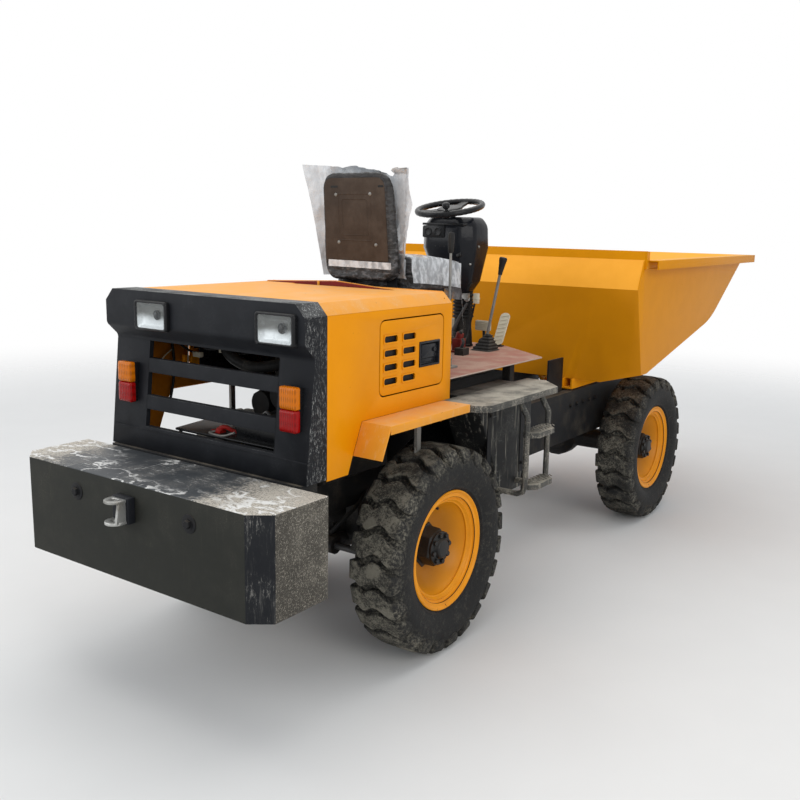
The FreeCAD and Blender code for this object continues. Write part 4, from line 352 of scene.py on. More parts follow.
@dataclass(frozen=True)
class Rubber:
    """Tyre rubber: black in the grooves, dusty and crumbly where it meets the ground."""

    name: str = "tyre rubber"
    slot: str = "tyre"
    base: Colour = (0.011, 0.011, 0.0115)
    dust: Colour = (0.19, 0.176, 0.14)
    centre: Point = (0.0, 0.0, 0.0)
    amount: float = 1.0

    def build(self) -> bpy.types.Material:
        """Make the material; the pattern follows the radius from the wheel's centre."""
        shader = Shader(self.name)
        middle = shader.at(shift=tuple(-c for c in self.centre))
        _, along, up = shader.parts(middle)
        radius = (along * along + up * up) ** 0.5
        broad = shader.noise(7.0, 4.0)
        fine = shader.noise(85.0, 6.0, rough=0.75)
        crumbs = shader.noise(190.0, 4.0, rough=0.75).ramp(0.5, 0.66)
        tread = radius.ramp(0.384, 0.395)
        shoulder = radius.ramp(0.3, 0.385)
        rings = shader.add("Math", {"operation": "SINE"}, {0: radius * 1400.0})
        rings_wire = Wire(shader, rings.outputs[0])
        caked = shader.noise(16.0, 5.0, rough=0.7).ramp(0.46, 0.62)
        dirt = tread * (crumbs * 0.6 + 0.18 + caked * 0.55) * broad.ramp(0.22, 0.55) * self.amount
        band = radius.ramp(0.315, 0.362) * radius.ramp(0.40, 0.372)
        dirt = dirt + band * (fine.ramp(0.4, 0.66) * 0.34 + 0.07) * broad.ramp(0.2, 0.6)
        dirt = dirt + shoulder * fine.ramp(0.42, 0.68) * broad.ramp(0.3, 0.65) * 0.3
        scuffs = shader.noise(30.0, 6.0, rough=0.8).ramp(0.5, 0.66)
        dirt = dirt + fine.ramp(0.42, 0.7) * broad.ramp(0.3, 0.7) * 0.26 + scuffs * 0.16 + crumbs * 0.1 + 0.03
        colour = shader.blend(dirt.ramp(0.0, 1.0), self.base, self.dust)
        rough = 0.62 + dirt * 0.3 + fine * 0.1
        shader.feed(Base_Color=colour, Roughness=rough, Specular_IOR_Level=0.2)
        shader.emboss(fine * 0.9 + scuffs * 0.35 + crumbs * tread + rings_wire * (1.0 - shoulder) * 0.05, 0.6, 0.0018)
        return shader.material


@dataclass(frozen=True)
class Vinyl:
    """Soft dark vinyl with a fine pebble and slack wrinkles."""

    name: str
    slot: str
    base: Colour
    shade: Colour
    wrinkle: float = 0.5
    rough: float = 0.42

    def build(self) -> bpy.types.Material:
        """Make the material."""
        shader = Shader(self.name)
        folds = shader.noise(26.0, 3.0, shader.at((1.0, 1.0, 2.2), (0.3, 0.5, 0.2)), 0.5)
        pebble = shader.cells(420.0)
        broad = shader.noise(8.0, 4.0)
        dust = shader.noise(60.0, 5.0, rough=0.7).ramp(0.52, 0.75)
        colour = shader.blend(broad.ramp(0.35, 0.7), self.base, self.shade)
        colour = shader.blend(dust * 0.2, colour, (0.2, 0.18, 0.15))
        _, _, height = shader.parts(shader.place)
        wrap = shader.noise(34.0, 5.0, shader.at((1.0, 1.0, 2.2), (0.2, 0.7, 0.3)), 0.66)
        veil = wrap.ramp(0.44, 0.72) * (height.ramp(1.75, 1.40) * 0.4 + 0.06)
        colour = shader.blend(veil, colour, (0.3, 0.3, 0.31))
        shader.feed(
            Base_Color=colour, Roughness=self.rough + dust * 0.25 + pebble * 0.1, Specular_IOR_Level=0.3
        )
        shader.emboss(folds * 3.0 * self.wrinkle + pebble * 0.18, 0.6, 0.004)
        return shader.material


@dataclass(frozen=True)
class Board:
    """Brown fibre board of the seat's back, mottled and scuffed."""

    name: str = "seat board"
    slot: str = "board"
    base: Colour = (0.05, 0.034, 0.024)
    pale: Colour = (0.082, 0.06, 0.045)

    def build(self) -> bpy.types.Material:
        """Make the material."""
        shader = Shader(self.name)
        mottle = shader.noise(14.0, 6.0, rough=0.7)
        fibres = shader.noise(60.0, 5.0, shader.at((3.0, 3.0, 0.8)), 0.7)
        stains = shader.noise(5.0, 3.0).ramp(0.45, 0.7)
        colour = shader.blend(mottle.ramp(0.3, 0.75), self.base, self.pale)
        colour = shader.blend(stains * 0.45, colour, (0.03, 0.022, 0.018))
        colour = shader.blend(fibres.ramp(0.6, 0.75) * 0.3, colour, (0.16, 0.13, 0.1))
        shader.feed(Base_Color=colour, Roughness=0.6 + mottle * 0.25, Specular_IOR_Level=0.15)
        shader.emboss(fibres + mottle * 0.6, 0.35, 0.001)
        return shader.material


@dataclass(frozen=True)
class Film:
    """Milky wrapping film, partly seen through, with soft folds and fine crinkles."""

    name: str
    slot: str = "film"
    milk: float = 0.88
    tint: Colour = (0.52, 0.54, 0.56)
    bright: Colour = (0.76, 0.78, 0.79)

    def build(self) -> bpy.types.Material:
        """Make the material from a milky sheet mixed with a clear one."""
        shader = Shader(self.name)
        folds = shader.noise(9.0, 2.0, shader.at((1.0, 1.0, 0.55), (0.4, 0.3, 0.5)), 0.5)
        creases = shader.noise(42.0, 5.0, shader.at((1.0, 1.0, 0.6), (0.4, 0.2, 0.7)), 0.6)
        clear = shader.add("BsdfTransparent", None, {"Color": (0.9, 0.91, 0.92)})
        mix = shader.add("MixShader")
        milk = (folds.ramp(0.35, 0.65) - 0.5) * 0.3 + (creases.ramp(0.42, 0.64) - 0.4) * 0.25 + self.milk
        links = shader.tree.links
        links.new(milk.ramp(0.0, 1.0).socket, mix.inputs[0])
        links.new(clear.outputs[0], mix.inputs[1])
        links.new(shader.surface.outputs[0], mix.inputs[2])
        links.new(mix.outputs[0], shader.output.inputs["Surface"])
        colour = shader.blend(creases.ramp(0.38, 0.62) * 0.6 + folds * 0.3, self.tint, self.bright)
        shader.feed(Base_Color=colour, Roughness=0.3 + creases * 0.2, Specular_IOR_Level=0.35)
        shader.emboss(folds * 1.6 + creases * 0.4, 0.45, 0.006)
        return shader.material


@dataclass(frozen=True)
class Reflector:
    """Head lamp bowl with a painted reflection: dark above, bright below."""

    name: str = "lamp reflector with painted reflection"
    slot: str = "chrome"
    split: float = 1.268
    bright: Colour = (0.84, 0.85, 0.82)
    painted_dark_reflection: Colour = (0.17, 0.165, 0.145)

    def build(self) -> bpy.types.Material:
        """Make the material; the painted reflection changes from bright to dark at one height."""
        shader = Shader(self.name)
        _, _, height = shader.parts(shader.place)
        wave = shader.noise(17.0, 3.0)
        # Painted reflection: bright below the split height, dark above it.
        share = (height + wave * 0.03).ramp(self.split, self.split + 0.03)
        colour = shader.blend(share, self.bright, self.painted_dark_reflection)
        shader.feed(Base_Color=colour, Roughness=0.32, Metallic=0.25, Specular_IOR_Level=0.3)
        shader.emboss(wave, 0.3, 0.002)
        return shader.material


@dataclass(frozen=True)
class Lens:
    """A moulded lamp lens with vertical flutes over its colour, darker along the flute troughs as painted shade."""

    name: str
    slot: str
    tint: Colour
    flute: float = 260.0
    clear: float = 0.0

    def build(self) -> bpy.types.Material:
        """Make the material; a clear lens lets some of the reflector show."""
        shader = Shader(self.name)
        across, _, up = shader.parts(shader.place)
        wave = shader.add("Math", {"operation": "SINE"}, {0: across * (self.flute * math.tau)})
        row = shader.add("Math", {"operation": "SINE"}, {0: up * (self.flute * 0.35 * math.tau)})
        flutes = Wire(shader, wave.outputs[0]) * 0.5 + Wire(shader, row.outputs[0]) * 0.25
        # Painted shade: the colour darkens along the flute troughs.
        lines = flutes.ramp(0.0, -0.6) * 0.55
        grime = shader.noise(40.0, 5.0, rough=0.7).ramp(0.5, 0.75)
        colour = shader.blend(lines, self.tint, tuple(c * 0.3 for c in self.tint))
        colour = shader.blend(grime * 0.2, colour, tuple(c * 0.5 + 0.02 for c in self.tint))
        shader.feed(
            Base_Color=colour,
            Roughness=0.16 + grime * 0.3,
            Specular_IOR_Level=0.2,
        )
        shader.emboss(flutes, 0.6, 0.001)
        if self.clear:
            mix = shader.add("MixShader")
            open_side = shader.add("BsdfTransparent", None, {"Color": (0.96, 0.97, 0.98)})
            links = shader.tree.links
            share = grime * 0.2 + (1.0 - self.clear)
            links.new(share.socket, mix.inputs[0])
            links.new(open_side.outputs[0], mix.inputs[1])
            links.new(shader.surface.outputs[0], mix.inputs[2])
            links.new(mix.outputs[0], shader.output.inputs["Surface"])
        return shader.material


class Finish(Enum):
    """Every finish on the dumper."""

    PAINT = Weathered(
        "orange paint", "paint", (0.775, 0.28, 0.001), (0.745, 0.265, 0.001), dust=(0.62, 0.36, 0.13),
        on_top=0.3, on_side=0.03, streak=0.05, speck=0.04, chip=0.4, chip_colour=(0.2, 0.07, 0.02),
        rough=0.36, gloss=0.12, grain=0.1,
    )
    # Paler, dustier copy of the orange paint for the hood top, its lip and the mudguards: partly dust and wear, partly
    # painted light on faces that look up.
    PALE_PAINT = Weathered(
        "paler orange paint with painted top light", "paint", (0.8, 0.325, 0.03), (0.75, 0.29, 0.015), dust=(0.74, 0.45, 0.22),
        on_top=0.5, on_side=0.3, streak=0.45, speck=0.3, chip=0.8, chip_colour=(0.16, 0.075, 0.03),
        rough=0.42, coat=0.02, grain=0.12,
    )
    # Darker copy of the orange paint: painted shade on the hood's undersides, its inner faces and the wall across the
    # bay.
    SHADED_PAINT = Weathered(
        "orange paint in painted shade", "paint", (0.36, 0.115, 0.002), (0.27, 0.085, 0.002), dust=(0.2, 0.11, 0.05),
        on_top=0.3, on_side=0.15, speck=0.2, rough=0.5, gloss=0.12, grain=0.1,
    )
    SKIP_PAINT = Weathered(
        "skip paint", "paint", (0.7, 0.265, 0.002), (0.665, 0.25, 0.002), dust=(0.6, 0.3, 0.05),
        on_top=0.5, on_side=0.02, streak=0.03, speck=0.02, chip=0.25, chip_colour=(0.25, 0.09, 0.02),
        rough=0.36, gloss=0.06, grain=0.09, grain_scale=110.0,
    )
    # Darker copy of the skip paint for the low upright rear faces: painted shade.
    SKIP_PAINTED_SHADE = Weathered(
        "skip paint with painted shade", "paint", (0.6, 0.225, 0.003), (0.57, 0.21, 0.003), dust=(0.45, 0.22, 0.06),
        on_side=0.03, streak=0.05, speck=0.03, chip=0.25, chip_colour=(0.25, 0.09, 0.02),
        rough=0.4, gloss=0.1, grain=0.09, grain_scale=110.0,
    )
    # Lighter copy of the skip paint for the upward tilted rear faces: painted light.
    SKIP_PAINTED_LIGHT = Weathered(
        "skip paint with painted light", "paint", (0.93, 0.4, 0.035), (0.89, 0.375, 0.028), dust=(0.8, 0.46, 0.16),
        on_top=0.3, on_side=0.06, streak=0.05, speck=0.03, chip=0.2, chip_colour=(0.25, 0.09, 0.02),
        rough=0.36, gloss=0.12, grain=0.09, grain_scale=110.0,
    )
    # Paler, dustier copy of the skip paint for the rim's top faces: partly dust and wear, partly painted light on faces
    # that look up.
    PALE_SKIP = Weathered(
        "paler skip rim paint with painted top light", "paint", (0.78, 0.35, 0.03), (0.72, 0.3, 0.02), dust=(0.72, 0.46, 0.18),
        on_top=0.5, on_side=0.1, streak=0.1, speck=0.1, chip=0.4, chip_colour=(0.2, 0.08, 0.03),
        rough=0.42, coat=0.02, grain=0.12,
    )
    # deep=0.75 paints shade into the dish towards the hub.
    RIM_PAINT = Weathered(
        "rim paint", "rim_paint", (0.80, 0.30, 0.003), (0.72, 0.26, 0.003), dust=(0.42, 0.22, 0.08),
        on_top=0.1, on_side=0.08, streak=0.08, speck=0.1, chip=0.8, chip_colour=(0.1, 0.045, 0.02),
        rough=0.34, coat=0.04, grain=0.1, deep=0.75,
    )
    BLACK = Weathered(
        "satin black paint", "black_paint", (0.0085, 0.0095, 0.012), (0.0135, 0.0148, 0.018),
        dust=(0.23, 0.22, 0.2), on_top=0.14, on_side=0.035, streak=0.03, speck=0.16, chip=0.2,
        chip_colour=(0.1, 0.085, 0.07), rough=0.5, gloss=0.14, grain=0.14, grain_scale=220.0,
    )
    WEIGHT_BLACK = Weathered(
        "counterweight black", "black_paint", (0.0195, 0.02, 0.0165), (0.026, 0.026, 0.0215),
        dust=(0.2, 0.18, 0.14), on_top=0.3, on_side=0.06, streak=0.12, speck=0.25, chip=0.2,
        chip_colour=(0.12, 0.1, 0.08), rough=0.52, gloss=0.14, grain=0.2, grain_scale=220.0,
    )
    SPECKLED_BLACK = Weathered(
        "speckled black paint", "black_paint", (0.0095, 0.0105, 0.013), (0.016, 0.017, 0.019),
        dust=(0.3, 0.3, 0.29), on_top=0.5, on_side=0.05, streak=0.16, speck=0.8, even=0.5, upright=0.3,
        chip=0.2, chip_colour=(0.2, 0.18, 0.15), rough=0.55, gloss=0.16, grain=0.4, grain_scale=240.0,
    )
    STREAKED_BLACK = Weathered(
        "rain streaked black paint", "black_paint", (0.0095, 0.0105, 0.013), (0.016, 0.017, 0.019),
        dust=(0.26, 0.25, 0.23), on_top=0.5, on_side=0.05, streak=0.35, speck=0.7, even=0.15, upright=0.16,
        scratch=0.0, rough=0.55, gloss=0.16, grain=0.3, grain_scale=240.0,
    )
    DUSTY_BLACK = Weathered(
        "dust caked black paint", "black_paint", (0.055, 0.05, 0.042), (0.1, 0.091, 0.074),
        dust=(0.33, 0.3, 0.25), on_top=0.4, on_side=0.35, streak=0.15, speck=0.85, even=1.1, chip=1.0,
        chip_colour=(0.03, 0.027, 0.022), scratch=0.2, rough=0.62, gloss=0.14, grain=0.5, grain_scale=240.0,
    )
    SCRAPED_BLACK = Weathered(
        "scraped black top", "black_paint", (0.038, 0.043, 0.048), (0.06, 0.065, 0.07),
        dust=(0.5, 0.455, 0.385), on_top=0.1, on_side=0.1, speck=0.4, ends=0.95, splash=0.95, chip=0.5,
        chip_colour=(0.3, 0.29, 0.27), scratch=0.8, scratch_colour=(0.74, 0.73, 0.7), rough=0.4, gloss=0.3,
        grain=0.2,
    )
    DUSTY_STEEL = Weathered(
        "dusty dark steel", "dusty_steel", (0.045, 0.045, 0.042), (0.085, 0.081, 0.072),
        dust=(0.4, 0.365, 0.3), on_top=0.9, on_side=0.45, streak=0.45, speck=1.0, even=0.4, chip=0.7,
        chip_colour=(0.06, 0.057, 0.05), scratch=0.6, scratch_colour=(0.5, 0.47, 0.4), rough=0.56, gloss=0.2,
        grain=0.35,
    )
    PRIMER = Weathered(
        "red oxide primer", "primer", (0.30, 0.115, 0.085), (0.22, 0.085, 0.065), dust=(0.46, 0.31, 0.235),
        on_top=0.6, on_side=0.3, streak=0.2, speck=0.5, chip=0.5, rough=0.6, grain=0.2,
    )
    PALE_EDGE = Weathered(
        "bare plate edge", "primer", (0.5, 0.4, 0.34), (0.38, 0.28, 0.22), dust=(0.55, 0.46, 0.38),
        on_top=0.3, on_side=0.3, speck=0.4, rough=0.55, metal=0.2, grain=0.2,
    )
    TANK = Weathered(
        "tank black", "black_paint", (0.0125, 0.013, 0.0135), (0.022, 0.022, 0.021), dust=(0.24, 0.225, 0.19),
        on_top=0.8, on_side=0.1, streak=0.95, speck=0.4, even=0.2, chip=0.2, scratch=0.4, rough=0.5,
        gloss=0.18, grain=0.2,
    )
    DARK_FRAME = Weathered(
        "chassis black", "black_paint", (0.007, 0.0075, 0.009), (0.0135, 0.013, 0.0125),
        dust=(0.17, 0.145, 0.11), on_top=0.5, on_side=0.12, streak=0.1, speck=0.25, low=0.2,
        rough=0.5, gloss=0.16, grain=0.2,
    )
    CAST = Weathered(
        "painted cast iron", "cast", (0.009, 0.009, 0.0095), (0.018, 0.016, 0.014),
        dust=(0.18, 0.15, 0.11), on_top=0.35, on_side=0.14, streak=0.1, speck=0.35, chip=0.5,
        chip_colour=(0.12, 0.055, 0.03), rough=0.5, gloss=0.3, grain=0.5, grain_scale=120.0,
    )
    HUB_CAST = Weathered(
        "greasy black cast iron", "cast", (0.006, 0.006, 0.0065), (0.011, 0.0105, 0.0095),
        dust=(0.12, 0.1, 0.075), on_top=0.25, on_side=0.08, streak=0.05, speck=0.25, chip=0.3,
        chip_colour=(0.1, 0.05, 0.03), rough=0.36, gloss=0.3, grain=0.5, grain_scale=120.0,
    )
    RED_CAST = Weathered(
        "red engine paint", "cast", (0.2, 0.014, 0.01), (0.11, 0.01, 0.008), dust=(0.2, 0.12, 0.09),
        on_top=0.4, on_side=0.2, speck=0.3, rough=0.45, grain=0.4, grain_scale=120.0,
    )
    # Dark dust goes on upright faces only and none on top: the darker upright faces are painted shade; the specks are
    # grime.
    GALVANISED = Weathered(
        "galvanised steel with painted shade on its sides", "galvanised", (0.5, 0.5, 0.48), (0.2, 0.195, 0.18), dust=(0.13, 0.115, 0.09),
        on_top=0.0, on_side=0.8, speck=0.6, rough=0.26, metal=0.7, grain=0.35, grain_scale=60.0,
    )
    CHROME = Weathered(
        "bright plating", "chrome", (0.82, 0.83, 0.84), (0.7, 0.71, 0.73), dust=(0.4, 0.37, 0.32),
        on_top=0.1, on_side=0.08, speck=0.12, rough=0.1, metal=1.0, grain=0.05,
    )
    BARE_STEEL = Weathered(
        "worn grey steel", "dusty_steel", (0.25, 0.245, 0.23), (0.16, 0.155, 0.145), dust=(0.4, 0.36, 0.29),
        on_top=0.4, on_side=0.2, speck=0.3, rough=0.4, metal=0.45, grain=0.2,
    )
    PLASTIC = Weathered(
        "moulded black plastic", "plastic", (0.0055, 0.0058, 0.0066), (0.0095, 0.0098, 0.011),
        dust=(0.2, 0.19, 0.17), on_top=0.2, on_side=0.03, streak=0.02, speck=0.12, rough=0.22,
        gloss=0.22, grain=0.08, grain_scale=380.0,
    )
    SOFT_PLASTIC = Weathered(
        "soft black rubber", "plastic", (0.008, 0.008, 0.0085), (0.0135, 0.013, 0.0125),
        dust=(0.2, 0.175, 0.14), on_top=0.3, on_side=0.1, speck=0.25, rough=0.5, grain=0.2,
    )
    CREAM = Weathered(
        "cream plastic", "plastic", (0.6, 0.55, 0.42), (0.48, 0.43, 0.32), dust=(0.3, 0.25, 0.18),
        on_top=0.3, on_side=0.2, speck=0.4, rough=0.45, grain=0.1,
    )
    GREY_GREASE = Weathered(
        "oily grey steel", "dusty_steel", (0.1, 0.1, 0.1), (0.06, 0.06, 0.062), dust=(0.22, 0.19, 0.15),
        on_top=0.3, on_side=0.2, speck=0.4, rough=0.35, metal=0.5, grain=0.2,
    )
    RED_EDGE = Weathered(
        "dark red paint", "paint", (0.22, 0.01, 0.007), (0.13, 0.008, 0.006), dust=(0.3, 0.14, 0.1),
        on_top=0.2, on_side=0.1, speck=0.2, rough=0.45, grain=0.12,
    )
    RED_CAP = Weathered(
        "red terminal cap", "plastic", (0.5, 0.02, 0.015), (0.4, 0.016, 0.012), speck=0.2, rough=0.35,
    )
    VINYL = Vinyl("black seat vinyl", "vinyl", (0.013, 0.012, 0.0122), (0.024, 0.0225, 0.0222), 0.9, 0.34)
    BOARD = Board()
    FILM = Film("wrapping film")
    THIN_FILM = Film("thin wrapping film", milk=0.62, tint=(0.5, 0.51, 0.52), bright=(0.66, 0.67, 0.68))
    GLOSSY_BLACK = Weathered(
        "glossy black plastic", "plastic", (0.0085, 0.0095, 0.0125), (0.012, 0.0125, 0.015),
        dust=(0.2, 0.19, 0.17), on_top=0.15, on_side=0.02, streak=0.02, speck=0.1, rough=0.1,
        gloss=0.15, grain=1.0, grain_scale=24.0,
    )
    # Head lamp bowl with a painted reflection.
    REFLECTOR = Reflector()
    HEAD_LENS = Lens("head lamp glass", "head_lens", (0.6, 0.62, 0.62), 90.0, 0.95)
    AMBER = Lens("amber lens", "tail_lens", (0.62, 0.155, 0.001), 110.0)
    RED_LENS = Lens("red lens", "tail_lens", (0.3, 0.002, 0.002), 110.0)
    BULB = Weathered("bulb cap", "chrome", (0.02, 0.019, 0.017), (0.03, 0.028, 0.025), rough=0.2, speck=0.0)

    def material(self) -> bpy.types.Material:
        """The finish's material, made once."""
        found = bpy.data.materials.get(self.value.name)
        return found or self.value.build()


class Form:
    """A mesh under construction in the frame's metres."""

    def __init__(self, mesh: Optional[bmesh.types.BMesh] = None) -> None:
        """Start with nothing, or with a mesh that is there already."""
        self.mesh = mesh or bmesh.new()

    def box(self, low: Sequence[float], high: Sequence[float], turn: Optional[Matrix] = None) -> "Form":
        """Add a block between two corners, turned about its centre where asked."""
        middle = (Vector(low) + Vector(high)) / 2
        size = Vector(high) - Vector(low)
        made = bmesh.ops.create_cube(self.mesh, size=1.0)["verts"]
        for vert in made:
            spot = Vector(a * b for a, b in zip(vert.co, size))
            vert.co = (turn @ spot if turn else spot) + middle
        return self

    def prism(self, outline: Sequence[Sequence[float]], along: Vector) -> "Form":
        """Add a flat outline of points pushed along a vector."""
        lower = [self.mesh.verts.new(Vector(p)) for p in outline]
        upper = [self.mesh.verts.new(Vector(p) + along) for p in outline]
        count = len(outline)
        faces = [self.mesh.faces.new(lower[::-1]), self.mesh.faces.new(upper)]
        for i in range(count):
            j = (i + 1) % count
            faces.append(self.mesh.faces.new((lower[i], lower[j], upper[j], upper[i])))
        bmesh.ops.recalc_face_normals(self.mesh, faces=faces)
        return self

    def rings(self, rows: Sequence[Sequence[Sequence[float]]], loop: bool = False, caps: bool = True) -> "Form":
        """Add a skin over closed rows of equally many points."""
        verts = [[self.mesh.verts.new(Vector(p)) for p in row] for row in rows]
        faces = []
        count = len(verts[0])
        last = len(verts) if loop else len(verts) - 1
        for r in range(last):
            one, two = verts[r], verts[(r + 1) % len(verts)]
            for i in range(count):
                j = (i + 1) % count
                faces.append(self.mesh.faces.new((one[i], one[j], two[j], two[i])))
        if caps and not loop:
            faces.append(self.mesh.faces.new(verts[0][::-1]))
            faces.append(self.mesh.faces.new(verts[-1]))
        bmesh.ops.recalc_face_normals(self.mesh, faces=faces)
        return self

    def lathe(
        self,
        profile: Sequence[tuple[float, float]],
        sides: int,
        centre: Sequence[float],
        axis: Vector,
        closed: bool = False,
        phase: float = 0.0,
    ) -> "Form":
        """Turn a profile of (distance along the axis, radius) about the axis through centre."""
        axis = Vector(axis).normalized()
        first = axis.orthogonal().normalized()
        second = axis.cross(first)
        centre = Vector(centre)
        grid = []
        for step in range(sides):
            angle = math.tau * step / sides + phase
            spoke = first * math.cos(angle) + second * math.sin(angle)
            grid.append([centre + axis * h + spoke * r for h, r in profile])
        verts = [[self.mesh.verts.new(p) for p in row] for row in grid]
        faces = []
        span = len(profile) if closed else len(profile) - 1
        for s in range(sides):
            one, two = verts[s], verts[(s + 1) % sides]
            for i in range(span):
                j = (i + 1) % len(profile)
                faces.append(self.mesh.faces.new((one[i], one[j], two[j], two[i])))
        bmesh.ops.remove_doubles(self.mesh, verts=[v for row in verts for v in row], dist=1e-6)
        live = [f for f in faces if f.is_valid]
        if not closed:
            ends = [e for f in live for e in f.edges if e.is_boundary]
            if ends:
                filled = bmesh.ops.holes_fill(self.mesh, edges=list(set(ends)), sides=0)
                live += filled["faces"]
        bmesh.ops.recalc_face_normals(self.mesh, faces=live)
        return self

    def tube(
        self,
        path: Sequence[Sequence[float]],
        radius: Union[float, Sequence[float]],
        sides: int = 10,
        loop: bool = False,
        flat: float = 1.0,
    ) -> "Form":
        """Add a tube along a path, with one radius or one for each point."""
        points = [Vector(p) for p in path]
        count = len(points)
        radii = [radius] * count if isinstance(radius, (int, float)) else list(radius)
        rows = []
        up = None
        for i, point in enumerate(points):
            before = points[i - 1] if (i or loop) else point
            after = points[(i + 1) % count] if (i < count - 1 or loop) else point
            heading = (after - before).normalized()
            if up is None:
                up = heading.orthogonal().normalized()
            up = (up - heading * up.dot(heading)).normalized()
            side = heading.cross(up)
            ring = []
            for s in range(sides):
                angle = math.tau * s / sides
                ring.append(point + up * math.cos(angle) * radii[i] * flat + side * math.sin(angle) * radii[i])
            rows.append(ring)
        return self.rings(rows, loop=loop)

    def bolt(self, centre: Sequence[float], axis: Vector, across: float = 0.019, head: float = 0.008) -> "Form":
        """Add a hexagon head on its washer, with a rounded top edge."""
        axis = Vector(axis).normalized()
        radius = across / 2 / math.cos(math.pi / 6)
        self.lathe([(0, radius * 1.35), (0.0018, radius * 1.35)], 16, centre, axis)
        start = Vector(centre) + axis * 0.0015
        profile = [(0, radius), (head * 0.8, radius), (head, radius * 0.84)]
        return self.lathe(profile, 6, start, axis)

    def sheet(
        self, across: Sequence[float], along: Sequence[float], spot: Callable[[float, float], Vector]
    ) -> "Form":
        """Add an open grid of faces whose points come from a rule over two lists of numbers."""
        rows = [[self.mesh.verts.new(spot(u, v)) for u in across] for v in along]
        for one, two in zip(rows, rows[1:]):
            for i in range(len(across) - 1):
                self.mesh.faces.new((one[i], one[i + 1], two[i + 1], two[i]))
        return self

    def object(self, name: str, smooth: float = 32.0) -> bpy.types.Object:
        """Finish the mesh as an object at the origin, smooth below an angle in degrees."""
        data = bpy.data.meshes.new(name)
        self.mesh.to_mesh(data)
        self.mesh.free()
        item = bpy.data.objects.new(name, data)
        bpy.context.scene.collection.objects.link(item)
        shade(item, smooth)
        return item


def shade(item: bpy.types.Object, angle: float = 32.0) -> None:
    """Shade an object smooth, with sharp edges above an angle in degrees."""
    item.data.polygons.foreach_set("use_smooth", [True] * len(item.data.polygons))
    item.data.set_sharp_from_angle(angle=math.radians(angle))


def settle(item: bpy.types.Object) -> bpy.types.Object:
    """Turn an object's live modifiers into plain mesh."""
    graph = bpy.context.evaluated_depsgraph_get()
    graph.update()
    plain = bpy.data.meshes.new_from_object(item.evaluated_get(graph))
    plain.name = item.name
    item.modifiers.clear()
    item.data = plain
    return item


def bevel(item: bpy.types.Object, width: float = 0.002, segments: int = 2, angle: float = 30.0) -> bpy.types.Object:
    """Round an object's sharp edges and settle the result."""
    modifier = item.modifiers.new("edge", "BEVEL")
    modifier.width = width
    modifier.segments = segments
    modifier.limit_method = "ANGLE"
    modifier.angle_limit = math.radians(angle)
    modifier.use_clamp_overlap = True
    modifier.harden_normals = False
    settle(item)
    shade(item, 40.0)
    return item


def join(name: str, items: Sequence[bpy.types.Object]) -> bpy.types.Object:
    """Join objects' meshes, keeping their materials, into one new object."""
    mesh = bmesh.new()
    materials: list[bpy.types.Material] = []
    for item in items:
        start = len(mesh.faces)
        mesh.from_mesh(item.data)
        mesh.faces.ensure_lookup_table()
        places = []
        for material in item.data.materials or [None]:
            if material not in materials:
                materials.append(material)
            places.append(materials.index(material))
        for face in mesh.faces[start:]:
            face.material_index = places[min(face.material_index, len(places) - 1)]
    result = Form(mesh).object(name, 34.0)
    for material in materials:
        result.data.materials.append(material)
    for item in items:
        bpy.data.objects.remove(item)
    return result


def smooth_path(points: Sequence[Point], steps: int = 8) -> list[Vector]:
    """Points on a Catmull-Rom line through the given ones."""
    spots = [Vector(p) for p in points]
    ends = [spots[0] * 2 - spots[1]] + spots + [spots[-1] * 2 - spots[-2]]
    line = []
    for i in range(1, len(ends) - 2):
        a, b, c, d = ends[i - 1 : i + 3]
        for s in range(steps):
            t = s / steps
            line.append(
                0.5 * ((2 * b) + (c - a) * t + (2 * a - 5 * b + 4 * c - d) * t**2 + (3 * b - a - 3 * c + d) * t**3)
            )
    return line + [spots[-1]]


def rounded(low: Sequence[float], high: Sequence[float], radius: float, steps: int = 5) -> list[tuple[float, float]]:
    """Outline of a rectangle with round corners, anticlockwise."""
    points = []
    corners = ((high[0], low[1], -90), (high[0], high[1], 0), (low[0], high[1], 90), (low[0], low[1], 180))
    for x, y, start in corners:
        cx = x - math.copysign(radius, x - (low[0] + high[0]) / 2)
        cy = y - math.copysign(radius, y - (low[1] + high[1]) / 2)
        for s in range(steps + 1):
            angle = math.radians(start + 90 * s / steps)
            points.append((cx + radius * math.cos(angle), cy + radius * math.sin(angle)))
    return points


